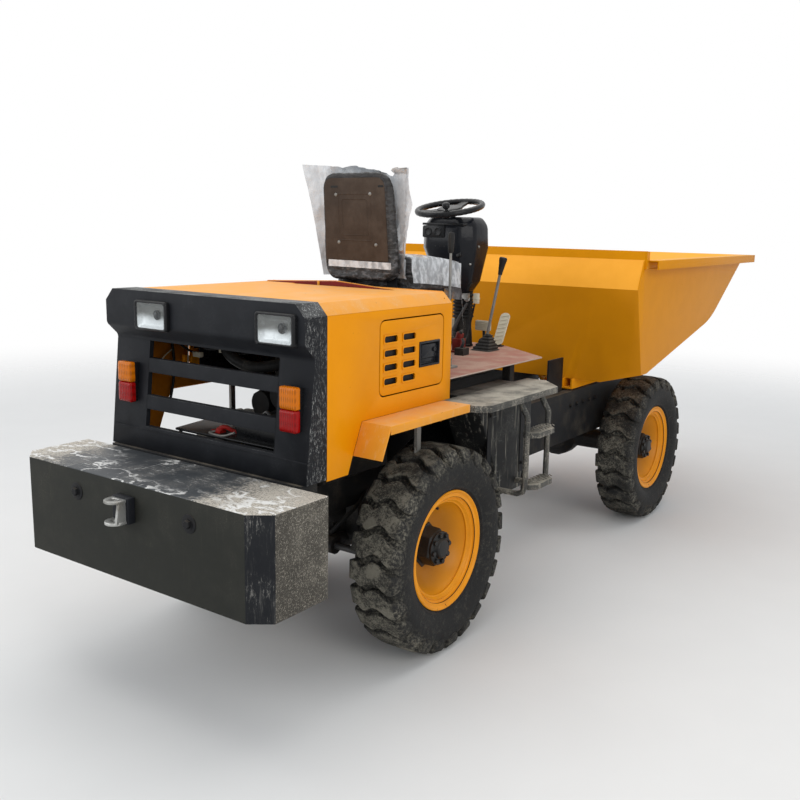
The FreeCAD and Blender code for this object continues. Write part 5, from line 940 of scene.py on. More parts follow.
@dataclass(frozen=True)
class Repeat:
    """Copies of one small shape at equal steps round an axis or along a line, by Geometry Nodes."""

    count: int
    turn: Point = (0.0, 0.0, 0.0)
    move: Point = (0.0, 0.0, 0.0)

    def tree(self) -> bpy.types.NodeTree:
        """The shared node tree, built the first time it is asked for."""
        found = bpy.data.node_groups.get("repeat shape")
        if found:
            return found
        tree = bpy.data.node_groups.new("repeat shape", "GeometryNodeTree")
        face = tree.interface
        face.new_socket("Geometry", in_out="INPUT", socket_type="NodeSocketGeometry")
        face.new_socket("Count", in_out="INPUT", socket_type="NodeSocketInt")
        face.new_socket("Turn", in_out="INPUT", socket_type="NodeSocketVector")
        face.new_socket("Move", in_out="INPUT", socket_type="NodeSocketVector")
        face.new_socket("Material", in_out="INPUT", socket_type="NodeSocketMaterial")
        face.new_socket("Geometry", in_out="OUTPUT", socket_type="NodeSocketGeometry")
        nodes, links = tree.nodes, tree.links
        source = nodes.new("NodeGroupInput")
        target = nodes.new("NodeGroupOutput")
        line = nodes.new("GeometryNodeMeshLine")
        line.mode = "OFFSET"
        spread = nodes.new("GeometryNodeInstanceOnPoints")
        index = nodes.new("GeometryNodeInputIndex")
        scaled = nodes.new("ShaderNodeVectorMath")
        scaled.operation = "SCALE"
        real = nodes.new("GeometryNodeRealizeInstances")
        paint = nodes.new("GeometryNodeSetMaterial")
        links.new(source.outputs["Count"], line.inputs["Count"])
        links.new(source.outputs["Move"], line.inputs["Offset"])
        links.new(line.outputs[0], spread.inputs["Points"])
        links.new(source.outputs["Geometry"], spread.inputs["Instance"])
        links.new(source.outputs["Turn"], scaled.inputs[0])
        links.new(index.outputs[0], scaled.inputs["Scale"])
        links.new(scaled.outputs[0], spread.inputs["Rotation"])
        links.new(spread.outputs[0], real.inputs[0])
        links.new(real.outputs[0], paint.inputs["Geometry"])
        links.new(source.outputs["Material"], paint.inputs["Material"])
        links.new(paint.outputs[0], target.inputs[0])
        return tree

    def of(self, shape: bpy.types.Object, material: bpy.types.Material) -> bpy.types.Object:
        """Repeat a shape and settle it as plain mesh.

        Args:
            shape: the object that holds one copy, made about the origin.
            material: the copies' finish.

        Returns:
            The same object, holding every copy.
        """
        modifier = shape.modifiers.new("repeat", "NODES")
        tree = self.tree()
        modifier.node_group = tree
        keys = {s.name: s.identifier for s in tree.interface.items_tree if s.in_out == "INPUT"}
        modifier[keys["Count"]] = self.count
        modifier[keys["Turn"]] = self.turn
        modifier[keys["Move"]] = self.move
        modifier[keys["Material"]] = material
        return settle(shape)


def moved(item: bpy.types.Object, shift: Sequence[float] = (0, 0, 0), turn: Optional[Matrix] = None) -> bpy.types.Object:
    """Move an object's mesh, first turned about the origin where asked."""
    if turn:
        item.data.transform(turn.to_4x4())
    item.data.transform(Matrix.Translation(Vector(shift)))
    item.data.update()
    return item


def flip(item: bpy.types.Object, name: str) -> bpy.types.Object:
    """A mirror image of an object across the middle, as a new object."""
    mesh = bmesh.new()
    mesh.from_mesh(item.data)
    for vert in mesh.verts:
        vert.co.x = -vert.co.x
    bmesh.ops.reverse_faces(mesh, faces=mesh.faces)
    twin = Form(mesh).object(name, 34.0)
    for material in item.data.materials:
        twin.data.materials.append(material)
    return twin


@dataclass
class Bench:
    """Takes finished pieces: their finish, the body they ride on and the nodes they stand for."""

    frame: dict[str, Any]
    taken: int = 0

    def take(
        self,
        piece: bpy.types.Object,
        body: str,
        finish: Optional[Finish] = None,
        stands_for: Iterable[str] = (),
    ) -> bpy.types.Object:
        """Dress a piece and hand it to the frame.

        Args:
            piece: the finished object at the origin.
            body: the CAD body that carries it.
            finish: its finish, or nothing where its slots are filled.
            stands_for: the CAD nodes it replaces.

        Returns:
            The piece.
        """
        if finish is not None:
            piece.data.materials.clear()
            piece.data.materials.append(finish.material())
        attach(piece, body)
        nodes = list(stands_for)
        if nodes:
            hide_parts(*nodes)
        self.taken += 1
        LOG.info("%s rides on %s, %d faces", piece.name, body, len(piece.data.polygons))
        return piece

    def dress(self, node: str, finish: Finish) -> None:
        """Give a CAD node that stays in view its finish."""
        item = self.frame["nodes"][node]
        item.data.materials.clear()
        item.data.materials.append(finish.material())
        LOG.info("%s keeps its solid", node)

    def copy(self, node: str, name: str, width: float = 0.002, segments: int = 2, flat: float = 1.0) -> bpy.types.Object:
        """A merged copy of a CAD node's mesh with its edges rounded, as a new object."""
        mesh = bmesh.new()
        mesh.from_mesh(self.frame["nodes"][node].data)
        bmesh.ops.remove_doubles(mesh, verts=mesh.verts, dist=2e-5)
        bmesh.ops.dissolve_limit(
            mesh,
            angle_limit=math.radians(flat),
            verts=mesh.verts,
            edges=mesh.edges,
            delimit={"NORMAL"},
        )
        item = Form(mesh).object(name)
        item.data.materials.clear()
        if width:
            bevel(item, width, segments)
        return item


@dataclass
class Wheel:
    """One wheel: tyre with its bars, two-part rim, hub with bolted cap, valve and ring joint."""

    end: str
    side: str
    sides: int = 72
    bars: int = 24
    pitch: float = 0.104
    groove: float = 0.031
    edge: tuple[tuple[float, float, float, float, float, float], ...] = (
        (-0.1056, 0.338, -0.1000, 0.334, 0.016, 0.030),
        (-0.1046, 0.350, -0.0940, 0.342, 0.026, 0.010),
        (-0.1016, 0.367, -0.0900, 0.352, 0.034, 0.0),
        (-0.0960, 0.381, -0.0860, 0.362, 0.038, 0.0),
        (-0.0885, 0.3895, -0.0840, 0.366, 0.040, 0.0),
        (-0.0750, 0.3930, -0.0740, 0.370, 0.042, 0.0),
        (-0.0600, 0.3950, -0.0600, 0.371, 0.040, 0.0),
        (-0.0500, 0.3955, -0.0500, 0.372, 0.028, 0.0),
        (-0.0400, 0.3960, -0.0400, 0.372, 0.024, 0.0),
        (-0.0250, 0.3965, -0.0250, 0.372, 0.030, 0.0),
        (-0.0080, 0.3968, -0.0080, 0.372, 0.044, 0.0),
        (0.0080, 0.3968, 0.0080, 0.372, 0.051, 0.0),
        (0.0240, 0.3965, 0.0240, 0.372, 0.050, 0.0),
        (0.0420, 0.3960, 0.0420, 0.372, 0.040, 0.0),
        (0.0580, 0.3950, 0.0580, 0.371, 0.026, 0.0),
        (0.0740, 0.3930, 0.0730, 0.370, 0.017, 0.0),
        (0.0885, 0.3895, 0.0840, 0.366, 0.014, 0.0),
        (0.0960, 0.381, 0.0860, 0.362, 0.014, 0.002),
        (0.1016, 0.367, 0.0900, 0.352, 0.013, 0.006),
        (0.1046, 0.350, 0.0940, 0.342, 0.010, 0.014),
        (0.1056, 0.338, 0.1000, 0.334, 0.000, 0.028),
    )
    wall: tuple[tuple[float, float], ...] = (
        (0.0706, 0.2040), (0.0706, 0.2270), (0.0745, 0.2335), (0.0790, 0.2372), (0.0840, 0.2392),
        (0.0862, 0.2420), (0.0858, 0.2460), (0.0895, 0.2540), (0.0960, 0.2680), (0.1020, 0.2880),
        (0.1046, 0.3100), (0.1038, 0.3260), (0.1005, 0.3400), (0.0950, 0.3510), (0.0880, 0.3590),
        (0.0780, 0.3650), (0.0600, 0.3690), (0.0300, 0.3710),
    )
    rim: tuple[tuple[float, float], ...] = (
        (0.0745, 0.2312), (0.0712, 0.2290), (0.0712, 0.2050), (0.0600, 0.2028), (0.0300, 0.1950),
        (-0.0300, 0.1930), (-0.0600, 0.2028), (-0.0712, 0.2050), (-0.0712, 0.2290), (-0.0745, 0.2312),
        (-0.0780, 0.2308), (-0.0790, 0.2275), (-0.0780, 0.2240), (-0.0745, 0.2225), (-0.0730, 0.2000),
        (-0.0450, 0.1890), (-0.0400, 0.1500), (-0.0370, 0.1100), (-0.0370, 0.0400), (-0.0290, 0.0400),
        (-0.0290, 0.0980), (-0.0265, 0.1080), (-0.0200, 0.1240), (0.0000, 0.1520), (0.0220, 0.1715),
        (0.0400, 0.1810), (0.0440, 0.1790), (0.0475, 0.1800), (0.0490, 0.1835), (0.0555, 0.1880),
        (0.0590, 0.1905), (0.0590, 0.1930), (0.0570, 0.1950), (0.0570, 0.1975), (0.0590, 0.1990),
        (0.0640, 0.2060), (0.0690, 0.2125), (0.0725, 0.2180), (0.0750, 0.2218),
        (0.0775, 0.2235), (0.0790, 0.2262), (0.0788, 0.2290), (0.0770, 0.2308),
    )

    @property
    def centre(self) -> Vector:
        """The wheel's centre in the frame."""
        along = FRONT_AXLE if self.end == "front" else REAR_AXLE
        return Vector((SIDES[self.side] * HALF_TRACK, along, AXLE_HEIGHT))

    def _set(self, piece: bpy.types.Object, spin: float = 0.0) -> bpy.types.Object:
        """Put a piece made about the origin, facing right, in its place."""
        turn = Matrix.Rotation(spin, 3, "X")
        if self.side == "left":
            turn = Matrix.Rotation(math.pi, 3, "Z") @ turn
        return moved(piece, self.centre, turn)

    def _name(self, part: str) -> str:
        """A piece's name."""
        return f"{part}.{self.end}.{self.side}"

    def _bar(self) -> bpy.types.Object:
        """One wavy bar of the tread, running down both shoulders to a taper."""
        rows = []
        for x, top, base_x, base, upper, narrow in self.edge:
            base = base - 0.010 if base > 0.34 else base
            lower = upper - (self.pitch - self.groove)
            high, low = upper - narrow, lower + narrow
            soft, foot = 0.0035, 0.003
            spots = (
                (base_x, base, high + foot),
                (x, top - soft, high),
                (x, top, high - soft),
                (x, top, low + soft),
                (x, top - soft, low),
                (base_x, base, low - foot),
            )
            row = []
            for u, radius, along in spots:
                angle = math.pi - along / AXLE_HEIGHT
                row.append((u, radius * math.cos(angle), radius * math.sin(angle)))
            rows.append(row)
        return Form().rings(rows).object("bar")

    def _tyre(self) -> bpy.types.Object:
        """Carcass with round walls and the bars repeated round it."""
        inner = [(-0.0630, 0.2045), (-0.0900, 0.2950), (-0.0740, 0.3420), (0.0, 0.3480)]
        inner += [(-x, r) for x, r in reversed(inner[:-1])]
        profile = list(self.wall) + [(0.0, 0.3715)] + [(-x, r) for x, r in reversed(self.wall)] + inner
        carcass = Form().lathe(profile, self.sides, (0, 0, 0), Axis.X.value, closed=True).object("carcass", 38)
        amount = 0.5 if self.end == "front" else 1.0
        rubber = Rubber(self._name("tyre rubber"), centre=tuple(self.centre), amount=amount).build()
        carcass.data.materials.append(rubber)
        tread = Repeat(self.bars, turn=(math.tau / self.bars, 0, 0)).of(self._bar(), rubber)
        shade(tread, 34)
        return self._set(join(self._name("tyre"), [carcass, tread]), 0.07 if self.end == "front" else 0.0)

    def _rim(self) -> bpy.types.Object:
        """Rim, disc and clamped outer ring in one turned shape."""
        return self._set(
            Form().lathe(self.rim, self.sides, (0, 0, 0), Axis.X.value, closed=True).object(self._name("rim"), 28)
        )

    def _hub(self) -> bpy.types.Object:
        """Hub housing through the disc, its round cap with bolts, and the brake drum behind."""
        x = Axis.X.value
        form = Form()
        form.lathe([(-0.0605, 0.042), (-0.0605, 0.147), (-0.045, 0.147), (-0.0415, 0.110), (-0.0415, 0.042)], 48, (0, 0, 0), x, closed=True)
        form.lathe([(-0.036, 0.0), (-0.036, 0.088), (-0.024, 0.088), (-0.024, 0.076), (0.026, 0.074), (0.034, 0.068), (0.034, 0.0)], 6, (0, 0, 0), x, phase=math.pi / 8)
        form.lathe([(0.033, 0.0), (0.033, 0.0655), (0.041, 0.0655), (0.044, 0.062), (0.044, 0.040), (0.056, 0.036), (0.060, 0.030), (0.0605, 0.0)], 40, (0, 0, 0), x)
        housing = form.object("housing", 30)
        bevel(housing, 0.0015, 2)
        housing.data.materials.append(Finish.HUB_CAST.material())
        bolt = Form().bolt((0.0415, 0.0525, 0.0), x, 0.018, 0.010).object("bolt")
        bolts = Repeat(8, turn=(math.tau / 8, 0, 0)).of(bolt, Finish.HUB_CAST.material())
        return self._set(join(self._name("hub"), [housing, bolts]), 0.4 if self.end == "front" else 0.15)

    def _trim(self) -> bpy.types.Object:
        """Valve stem and the open joint of the clamped ring."""
        form = Form()
        form.lathe([(0.0, 0.0), (0.0, 0.011), (0.006, 0.011), (0.006, 0.0065), (0.026, 0.005), (0.027, 0.0)], 14, (0.010, -0.010, 0.165), Vector((1, 0, -0.35)))
        form.prism([(0.0560, -0.006, -0.1955), (0.0792, -0.001, -0.2262), (0.0792, 0.0015, -0.2262), (0.0560, -0.0035, -0.1955)], Vector((0.0006, 0, -0.0052)))
        return self._set(form.object(self._name("rim.trim")))

    def build(self, bench: Bench) -> None:
        """Build the wheel on its body."""
        body = f"wheel_{self.end}_{self.side}"
        tyre = bench.take(self._tyre(), body, None, [f"tyre_{self.end}_{self.side}"])
        bench.take(self._rim(), body, Finish.RIM_PAINT, [f"rim_{self.end}_{self.side}"])
        hub = bench.take(self._hub(), body, None, [f"hub_{self.end}_{self.side}"])
        bench.take(self._trim(), body, Finish.SOFT_PLASTIC)


def repaint(item: bpy.types.Object, first: Finish, rules: Sequence[tuple[Finish, Callable[[Vector, Vector], bool]]]) -> None:
    """Give an object's faces finishes by rules on a face's middle and normal; first where none holds."""
    finishes = [first] + [finish for finish, _ in rules]
    item.data.materials.clear()
    for finish in finishes:
        item.data.materials.append(finish.material())
    for face in item.data.polygons:
        place = 0
        for number, (_, rule) in enumerate(rules, 1):
            if rule(face.center, face.normal):
                place = number
        face.material_index = place


@dataclass
class Skip:
    """Folded tipping skip with its rim channels, beams and pivot lugs."""

    rim_width: float = 0.003

    def build(self, bench: Bench) -> None:
        """Build the skip on its body."""
        hopper = bench.copy("skip", "skip.hopper", self.rim_width, 2)
        repaint(
            hopper,
            Finish.SKIP_PAINT,
            [
                # Rear faces tilted up get a lighter copy of the paint, painted light; low upright rear faces get a
                # darker copy, painted shade.
                (Finish.SKIP_PAINTED_LIGHT, lambda middle, normal: normal.y < -0.5 and normal.z > 0.1),
                (Finish.SKIP_PAINTED_SHADE, lambda middle, normal: normal.y < -0.5 and normal.z < 0.02 and middle.z < 1.35),
                # Rim top faces: paler paint, partly dust, partly painted light.
                (Finish.PALE_SKIP, lambda middle, normal: normal.z > 0.9 and middle.z > 1.4),
            ],
        )
        bench.take(hopper, "skip", None, ["skip"])
        bench.take(self._welds(), "skip", Finish.SKIP_PAINT)

    def _welds(self) -> bpy.types.Object:
        """Weld beads along the upper corner seams and under the rim."""
        form = Form()
        for side in SIDES.values():
            x = side * 0.7015
            form.tube([(x, 0.391, 1.318), (x, 0.446, 1.452)], 0.003, 6)
            form.tube([(x, 0.470, 1.4125), (x, 2.10, 1.4125)], 0.0028, 6)
            form.box((min(x, x + side * 0.012), 0.449, 1.412), (max(x, x + side * 0.012), 0.483, 1.496))
        return form.object("skip.welds")


@dataclass
class Bonnet:
    """Hood top, its sides and mudguards, and the two louvred doors."""

    louvre_rows: int = 4
    louvre_pitch: float = 0.049
    louvre_top: float = 1.228
    louvre_length: float = 0.078
    louvre_height: float = 0.028
    columns: tuple[float, float] = (-1.328, -1.218)
    latch_low: tuple[float, float] = (-1.114, 1.095)
    latch_high: tuple[float, float] = (-0.983, 1.187)

    def build(self, bench: Bench) -> None:
        """Build every piece of the bonnet."""
        top = bench.copy("hood_top", "hood.top", 0.004, 3)
        repaint(
            top,
            Finish.PAINT,
            [
                # Upward faces of the hood top get the paler paint, partly dust, partly painted light.
                (Finish.PALE_PAINT, lambda middle, normal: normal.z > 0.5),
                # Undersides take the darker copy: painted shade.
                (Finish.SHADED_PAINT, lambda middle, normal: normal.z < -0.5),
            ],
        )
        bench.take(top, "chassis", None, ["hood_top"])
        sides = bench.copy("hood_sides", "hood.sides", 0.0012, 2)
        # Inner faces of the hood sides take the darker copy: painted shade.
        repaint(sides, Finish.PAINT, [(Finish.SHADED_PAINT, lambda middle, normal: normal.x * middle.x < -0.01)])
        bench.take(sides, "chassis", None, ["hood_sides"])
        guards = bench.copy("mudguards", "mudguards", 0.0014, 2)
        bench.take(guards, "chassis", Finish.PALE_PAINT, ["mudguards"])
        bench.take(self._channel(), "chassis", Finish.RED_EDGE)
        bench.take(self._lip(), "chassis", Finish.PALE_PAINT)
        bench.take(self._stays(), "chassis", Finish.BARE_STEEL)
        for side in SIDES:
            self._door(bench, side)

    def _channel(self) -> bpy.types.Object:
        """Dark red tray seen through the slot before the seat."""
        form = Form()
        profile = [(0, -0.985, 1.3495), (0, -0.985, 1.322), (0, -0.946, 1.322), (0, -0.946, 1.3495), (0, -0.949, 1.3495), (0, -0.949, 1.325), (0, -0.982, 1.325), (0, -0.982, 1.3495)]
        form.prism([(-0.262, y, z) for _, y, z in profile], Vector((0.524, 0, 0)))
        form.box((-0.10, -0.984, 1.325), (-0.088, -0.947, 1.352))
        form.box((0.09, -0.978, 1.325), (0.21, -0.955, 1.338))
        form.prism([(-0.42, -0.960, 1.350), (0.279, -0.960, 1.350), (-0.043, -0.960, 1.3725), (-0.42, -0.960, 1.356)], Vector((0, 0.004, 0)))
        return bevel(form.object("hood.tray"), 0.001, 1)

    def _lip(self) -> bpy.types.Object:
        """Raised lip round the slot and the front hem of the top sheet."""
        form = Form()
        form.prism([(-0.42, -0.956, 1.356), (-0.043, -0.956, 1.3725), (0.279, -0.956, 1.350), (0.300, -0.956, 1.3510), (-0.043, -0.956, 1.3760), (-0.42, -0.956, 1.3595)], Vector((0, 0.006, 0)))
        form.box((-0.133, -0.966, 1.350), (-0.123, -0.9605, 1.370))
        form.box((-0.436, -0.9035, 1.349), (0.436, -0.9005, 1.3575))
        return bevel(form.object("hood.lip"), 0.0012, 2)

    def _stays(self) -> bpy.types.Object:
        """Flat stays that hold the mudguards up from the chassis side."""
        form = Form()
        for side in SIDES.values():
            inner, outer = side * 0.472, side * 0.486
            form.box((min(inner, outer), -1.126, 0.79), (max(inner, outer), -1.101, 0.948))
            form.box((min(side * 0.476, side * 0.481), -1.131, 0.70), (max(side * 0.476, side * 0.481), -1.096, 0.80))
        return bevel(form.object("mudguards.stays"), 0.001, 1)

    def _door(self, bench: Bench, side: str) -> None:
        """One door with its louvre rims, dark shade plates behind the slots and its latch."""
        face = bench.copy(f"door_{side}", f"door.{side}", 0.0014, 2)
        body = f"door_{side}"
        sign = SIDES[side]
        repaint(
            face,
            Finish.PAINT,
            [(Finish.GLOSSY_BLACK, lambda middle, normal: self._in_latch(middle))],
        )
        bench.take(face, body, None, [body])
        bench.take(self._louvres(sign, side), body, Finish.PAINT)
        bench.take(self._darks(sign, side), body, Finish.SOFT_PLASTIC)
        bench.take(self._latch(sign, side), body, Finish.GLOSSY_BLACK)

    def _in_latch(self, middle: Vector) -> bool:
        """Whether a point lies in the latch's housing."""
        (y0, z0), (y1, z1) = self.latch_low, self.latch_high
        return y0 - 0.002 < middle.y < y1 + 0.002 and z0 - 0.002 < middle.z < z1 + 0.002

    def _slots(self) -> Iterable[tuple[float, float]]:
        """Rear lower corner of every louvre slot."""
        for start in self.columns:
            for row in range(self.louvre_rows):
                yield start, self.louvre_top - self.louvre_pitch * row - self.louvre_height

    def _louvres(self, sign: float, side: str) -> bpy.types.Object:
        """Pressed rims that narrow every louvre slot to its rounded opening."""
        form = Form()
        for y, z in self._slots():
            outer = rounded((y - 0.002, z - 0.002), (y + self.louvre_length + 0.002, z + self.louvre_height + 0.002), 0.003, 4)
            inner = rounded((y + 0.001, z + 0.0035), (y + self.louvre_length - 0.001, z + self.louvre_height - 0.0025), 0.008, 4)
            rows = [(outer, 0.4790), (outer, 0.4814), (inner, 0.4812), (inner, 0.4790)]
            form.rings([[(sign * x, u, w) for u, w in outline] for outline, x in rows], loop=True)
        return form.object(f"door.{side}.louvres", 50)

    def _darks(self, sign: float, side: str) -> bpy.types.Object:
        """Shade plates a little behind the louvre slots."""
        form = Form()
        for y, z in self._slots():
            inner, outer = sorted((sign * 0.4660, sign * 0.4680))
            form.box((inner, y - 0.003, z - 0.003), (outer, y + self.louvre_length + 0.003, z + self.louvre_height + 0.003))
        return form.object(f"door.{side}.shade")

    def _latch(self, sign: float, side: str) -> bpy.types.Object:
        """Paddle, thumb recess and key barrel in the latch housing."""
        (y0, z0), (y1, z1) = self.latch_low, self.latch_high
        form = Form()

        def slab(a: float, b: float, c: float, d: float, inner: float, outer: float, radius: float) -> None:
            outline = [(sign * inner, y, z) for y, z in rounded((a, c), (b, d), radius, 4)]
            form.prism(outline, Vector((sign * (outer - inner), 0, 0)))

        slab(y0 + 0.020, y1 - 0.012, z0 + 0.030, z1 - 0.013, 0.4640, 0.4755, 0.006)
        slab(y0 + 0.026, y1 - 0.018, z0 + 0.012, z0 + 0.026, 0.4640, 0.4700, 0.004)
        form.lathe([(0, 0.0), (0, 0.009), (0.004, 0.009), (0.005, 0.0075), (0.005, 0.003), (0.0035, 0.0025), (0.0035, 0.0)], 20, (sign * 0.4752, y1 - 0.030, z0 + 0.058), Vector((sign, 0, 0)))
        for y in (y0 + 0.007, y1 - 0.007):
            form.lathe([(0, 0), (0, 0.0034), (0.0012, 0.003), (0.0018, 0)], 12, (sign * 0.482 - sign * 0.0008, y, z0 + 0.046), Vector((sign, 0, 0)))
        return bevel(form.object(f"door.{side}.latch"), 0.0012, 2)


@dataclass
class RearPanel:
    """Black rear surround with its lamps and what hangs behind the slats."""

    face: float = -1.734
    head_low: float = 1.223
    head_high: float = 1.327

    def build(self, bench: Bench) -> None:
        """Build the surround, seams, lamps."""
        surround = bench.copy("rear_surround", "rear.surround", 0.003, 3)
        repaint(
            surround,
            Finish.BLACK,
            [
                (Finish.SPECKLED_BLACK, lambda middle, normal: abs(normal.x) > 0.45 or normal.z > 0.5),
            ],
        )
        bench.take(surround, "chassis", None, ["rear_surround"])
        bench.take(self._seam(), "chassis", Finish.BLACK)
        lamps = {"left": (-0.303, -0.135), "right": (0.281, 0.449)}
        for number, (side, (low, high)) in enumerate(lamps.items()):
            stands = ["headlamps"] if number == 0 else []
            self._head_lamp(bench, side, low, high, stands)
        tails = {"left": (-0.418, -0.346), "right": (0.374, 0.446)}
        for number, (side, (low, high)) in enumerate(tails.items()):
            stands = ["tail_lamps"] if number == 0 else []
            self._tail_lamp(bench, side, low, high, stands)

    def _seam(self) -> bpy.types.Object:
        """Folded edge of the lower plate, window lips and slat returns."""
        form = Form()

        def at(z: float) -> float:
            share = (z - 0.786) / (1.186 - 0.786)
            return -1.728 + share * 0.042

        form.prism(
            [(-0.474, at(0.858) - 0.0022, 0.8545), (-0.474, at(0.858) - 0.0022, 0.8585), (-0.474, at(0.858) + 0.002, 0.8600), (-0.474, at(0.858) + 0.002, 0.8530)],
            Vector((0.948, 0, 0)),
        )
        for z in (0.868, 0.935, 0.981, 1.067, 1.113, 1.180):
            form.box((-0.300, at(z) + 0.001, z - 0.0025), (0.330, at(z) + 0.018, z + 0.0025))
        for x in (-0.3005, 0.3305):
            form.prism([(x, at(0.868), 0.868), (x, at(1.18), 1.18), (x, at(1.18) + 0.018, 1.18), (x, at(0.868) + 0.018, 0.868)], Vector((0.003, 0, 0)))
        return form.object("rear.seams")

    def _head_lamp(self, bench: Bench, side: str, low: float, high: float, stands: list[str]) -> None:
        """One rectangular head lamp: bezel, reflector, bulb and fluted glass."""
        y = self.face
        zl, zh = self.head_low, self.head_high
        outer = rounded((low, zl), (high, zh), 0.012, 5)
        inner = rounded((low + 0.0125, zl + 0.008), (high - 0.0125, zh - 0.008), 0.008, 5)
        deep = rounded((low + 0.030, zl + 0.022), (high - 0.030, zh - 0.022), 0.012, 5)
        form = Form()
        form.rings([
            [(x, y + 0.001, z) for x, z in outer], [(x, y - 0.014, z) for x, z in outer],
            [(x * 1.0, y - 0.0178, z) for x, z in rounded((low + 0.004, zl + 0.004), (high - 0.004, zh - 0.004), 0.010, 5)],
            [(x, y - 0.0165, z) for x, z in inner], [(x, y - 0.006, z) for x, z in inner],
        ], caps=False)
        frame = bevel(form.object(f"lamp.head.{side}.bezel"), 0.0008, 1, 40)
        bench.take(frame, "chassis", Finish.PLASTIC, stands)
        bowl = Form().rings([
            [(x, y - 0.0125, z) for x, z in inner],
            [(x, y - 0.0060, z) for x, z in rounded((low + 0.022, zl + 0.015), (high - 0.022, zh - 0.015), 0.012, 5)],
            [(x, y - 0.0012, z) for x, z in deep],
        ], caps=False)
        bowl.mesh.faces.new([v for v in bowl.mesh.verts if abs(v.co.y - (y - 0.0012)) < 1e-6])
        bench.take(bowl.object(f"lamp.head.{side}.reflector", 60), "chassis", Finish.REFLECTOR)
        middle = ((low + high) / 2 + 0.022, (zl + zh) / 2 + 0.004)
        bulb = Form().lathe([(0, 0.0), (0, 0.017), (0.003, 0.017), (0.003, 0.011), (0.0085, 0.010), (0.0108, 0.006), (0.0112, 0)], 24, (middle[0], y - 0.0014, middle[1]), Vector((0, -1, 0)))
        bench.take(bulb.object(f"lamp.head.{side}.bulb"), "chassis", Finish.BULB)
        glass = Form()
        glass.rings([
            [(x, y - 0.0130, z) for x, z in inner], [(x, y - 0.0162, z) for x, z in inner],
            [(x, y - 0.0176, z) for x, z in rounded((low + 0.018, zl + 0.013), (high - 0.018, zh - 0.013), 0.010, 5)],
        ])
        bench.take(glass.object(f"lamp.head.{side}.glass", 50), "chassis", Finish.HEAD_LENS)

    def _tail_lamp(self, bench: Bench, side: str, low: float, high: float, stands: list[str]) -> None:
        """One tail lamp: black base, amber lens over a red one, bevelled caps."""
        base = Form()
        base.prism([(low + 0.002, -1.703, 0.955), (low + 0.002, -1.722, 0.953), (low + 0.002, -1.722, 1.097), (low + 0.002, -1.6965, 1.095)], Vector((high - low - 0.004, 0, 0)))
        item = bevel(base.object(f"lamp.tail.{side}.base"), 0.002, 2)
        bench.take(item, "chassis", Finish.PLASTIC, stands)

        def lens(name: str, z0: float, z1: float, finish: Finish) -> None:
            loops = []
            for inset, y in ((0.0, -1.7205), (0.0, -1.7365), (0.0035, -1.7415), (0.010, -1.7430)):
                loops.append([(x, y, z) for x, z in rounded((low + inset, z0 + inset), (high - inset, z1 - inset), 0.006, 4)])
            bench.take(Form().rings(loops).object(name, 40), "chassis", finish)

        lens(f"lamp.tail.{side}.amber", 1.0255, 1.098, Finish.AMBER)
        lens(f"lamp.tail.{side}.red", 0.952, 1.0245, Finish.RED_LENS)


@dataclass
class Counterweight:
    """Chamfered weight with its two wall bolts and the galvanised tow jaw."""

    bolts: tuple[tuple[float, float], ...] = ((-0.257, 0.708), (0.291, 0.708))

    def build(self, bench: Bench) -> None:
        """Build the weight, bolts and jaw."""
        weight = bench.copy("counterweight", "counterweight", 0.004, 3)
        repaint(
            weight,
            Finish.WEIGHT_BLACK,
            [
                (Finish.STREAKED_BLACK, lambda middle, normal: abs(normal.x) > 0.3),
                (Finish.DUSTY_BLACK, lambda middle, normal: abs(normal.x) > 0.9),
                (Finish.SCRAPED_BLACK, lambda middle, normal: normal.z > 0.6),
            ],
        )
        bench.take(weight, "chassis", None, ["counterweight"])
        form = Form()
        for x, z in self.bolts:
            form.lathe([(0, 0), (0, 0.030), (0.002, 0.030), (0.003, 0.028), (0.003, 0)], 28, (x, -2.045, z), Vector((0, -1, 0)))
            form.bolt((x, -2.0478, z), Vector((0, -1, 0)), 0.024, 0.010)
        bench.take(form.object("counterweight.bolts"), "chassis", Finish.DARK_FRAME)
        bench.take(self._jaw(), "chassis", Finish.GALVANISED, ["tow_jaw"])
        root = Form().box((-0.036, -2.074, 0.658), (0.042, -2.0445, 0.744))
        bench.take(bevel(root.object("tow.root"), 0.004, 3), "chassis", Finish.BLACK)

    def _jaw(self) -> bpy.types.Object:
        """Cast clevis: two round-ended plates with pin holes and a closed right side."""
        form = Form()
        reach, half, hole, start = -2.090, 0.034, 0.014, -2.070
        outline = [(half, start)]
        for step in range(17):
            turn = math.pi * step / 16
            outline.append((half * math.cos(turn), reach - half * math.sin(turn)))
        outline.append((-half, start))
        middle = Vector((0.0, reach))
        pin = [tuple(middle + (Vector(point) - middle).normalized() * hole) for point in outline]
        for low, high in ((0.660, 0.670), (0.730, 0.740)):
            rows = [(outline, low), (outline, high), (pin, high), (pin, low)]
            form.rings([[(x, y, z) for x, y in loop] for loop, z in rows], loop=True)
        side = [(0.022, start, 0.664), (0.022, -2.112, 0.664), (0.022, -2.100, 0.736), (0.022, start, 0.736)]
        form.prism(side, Vector((0.010, 0, 0)))
        return bevel(form.object("tow.jaw"), 0.0025, 3)


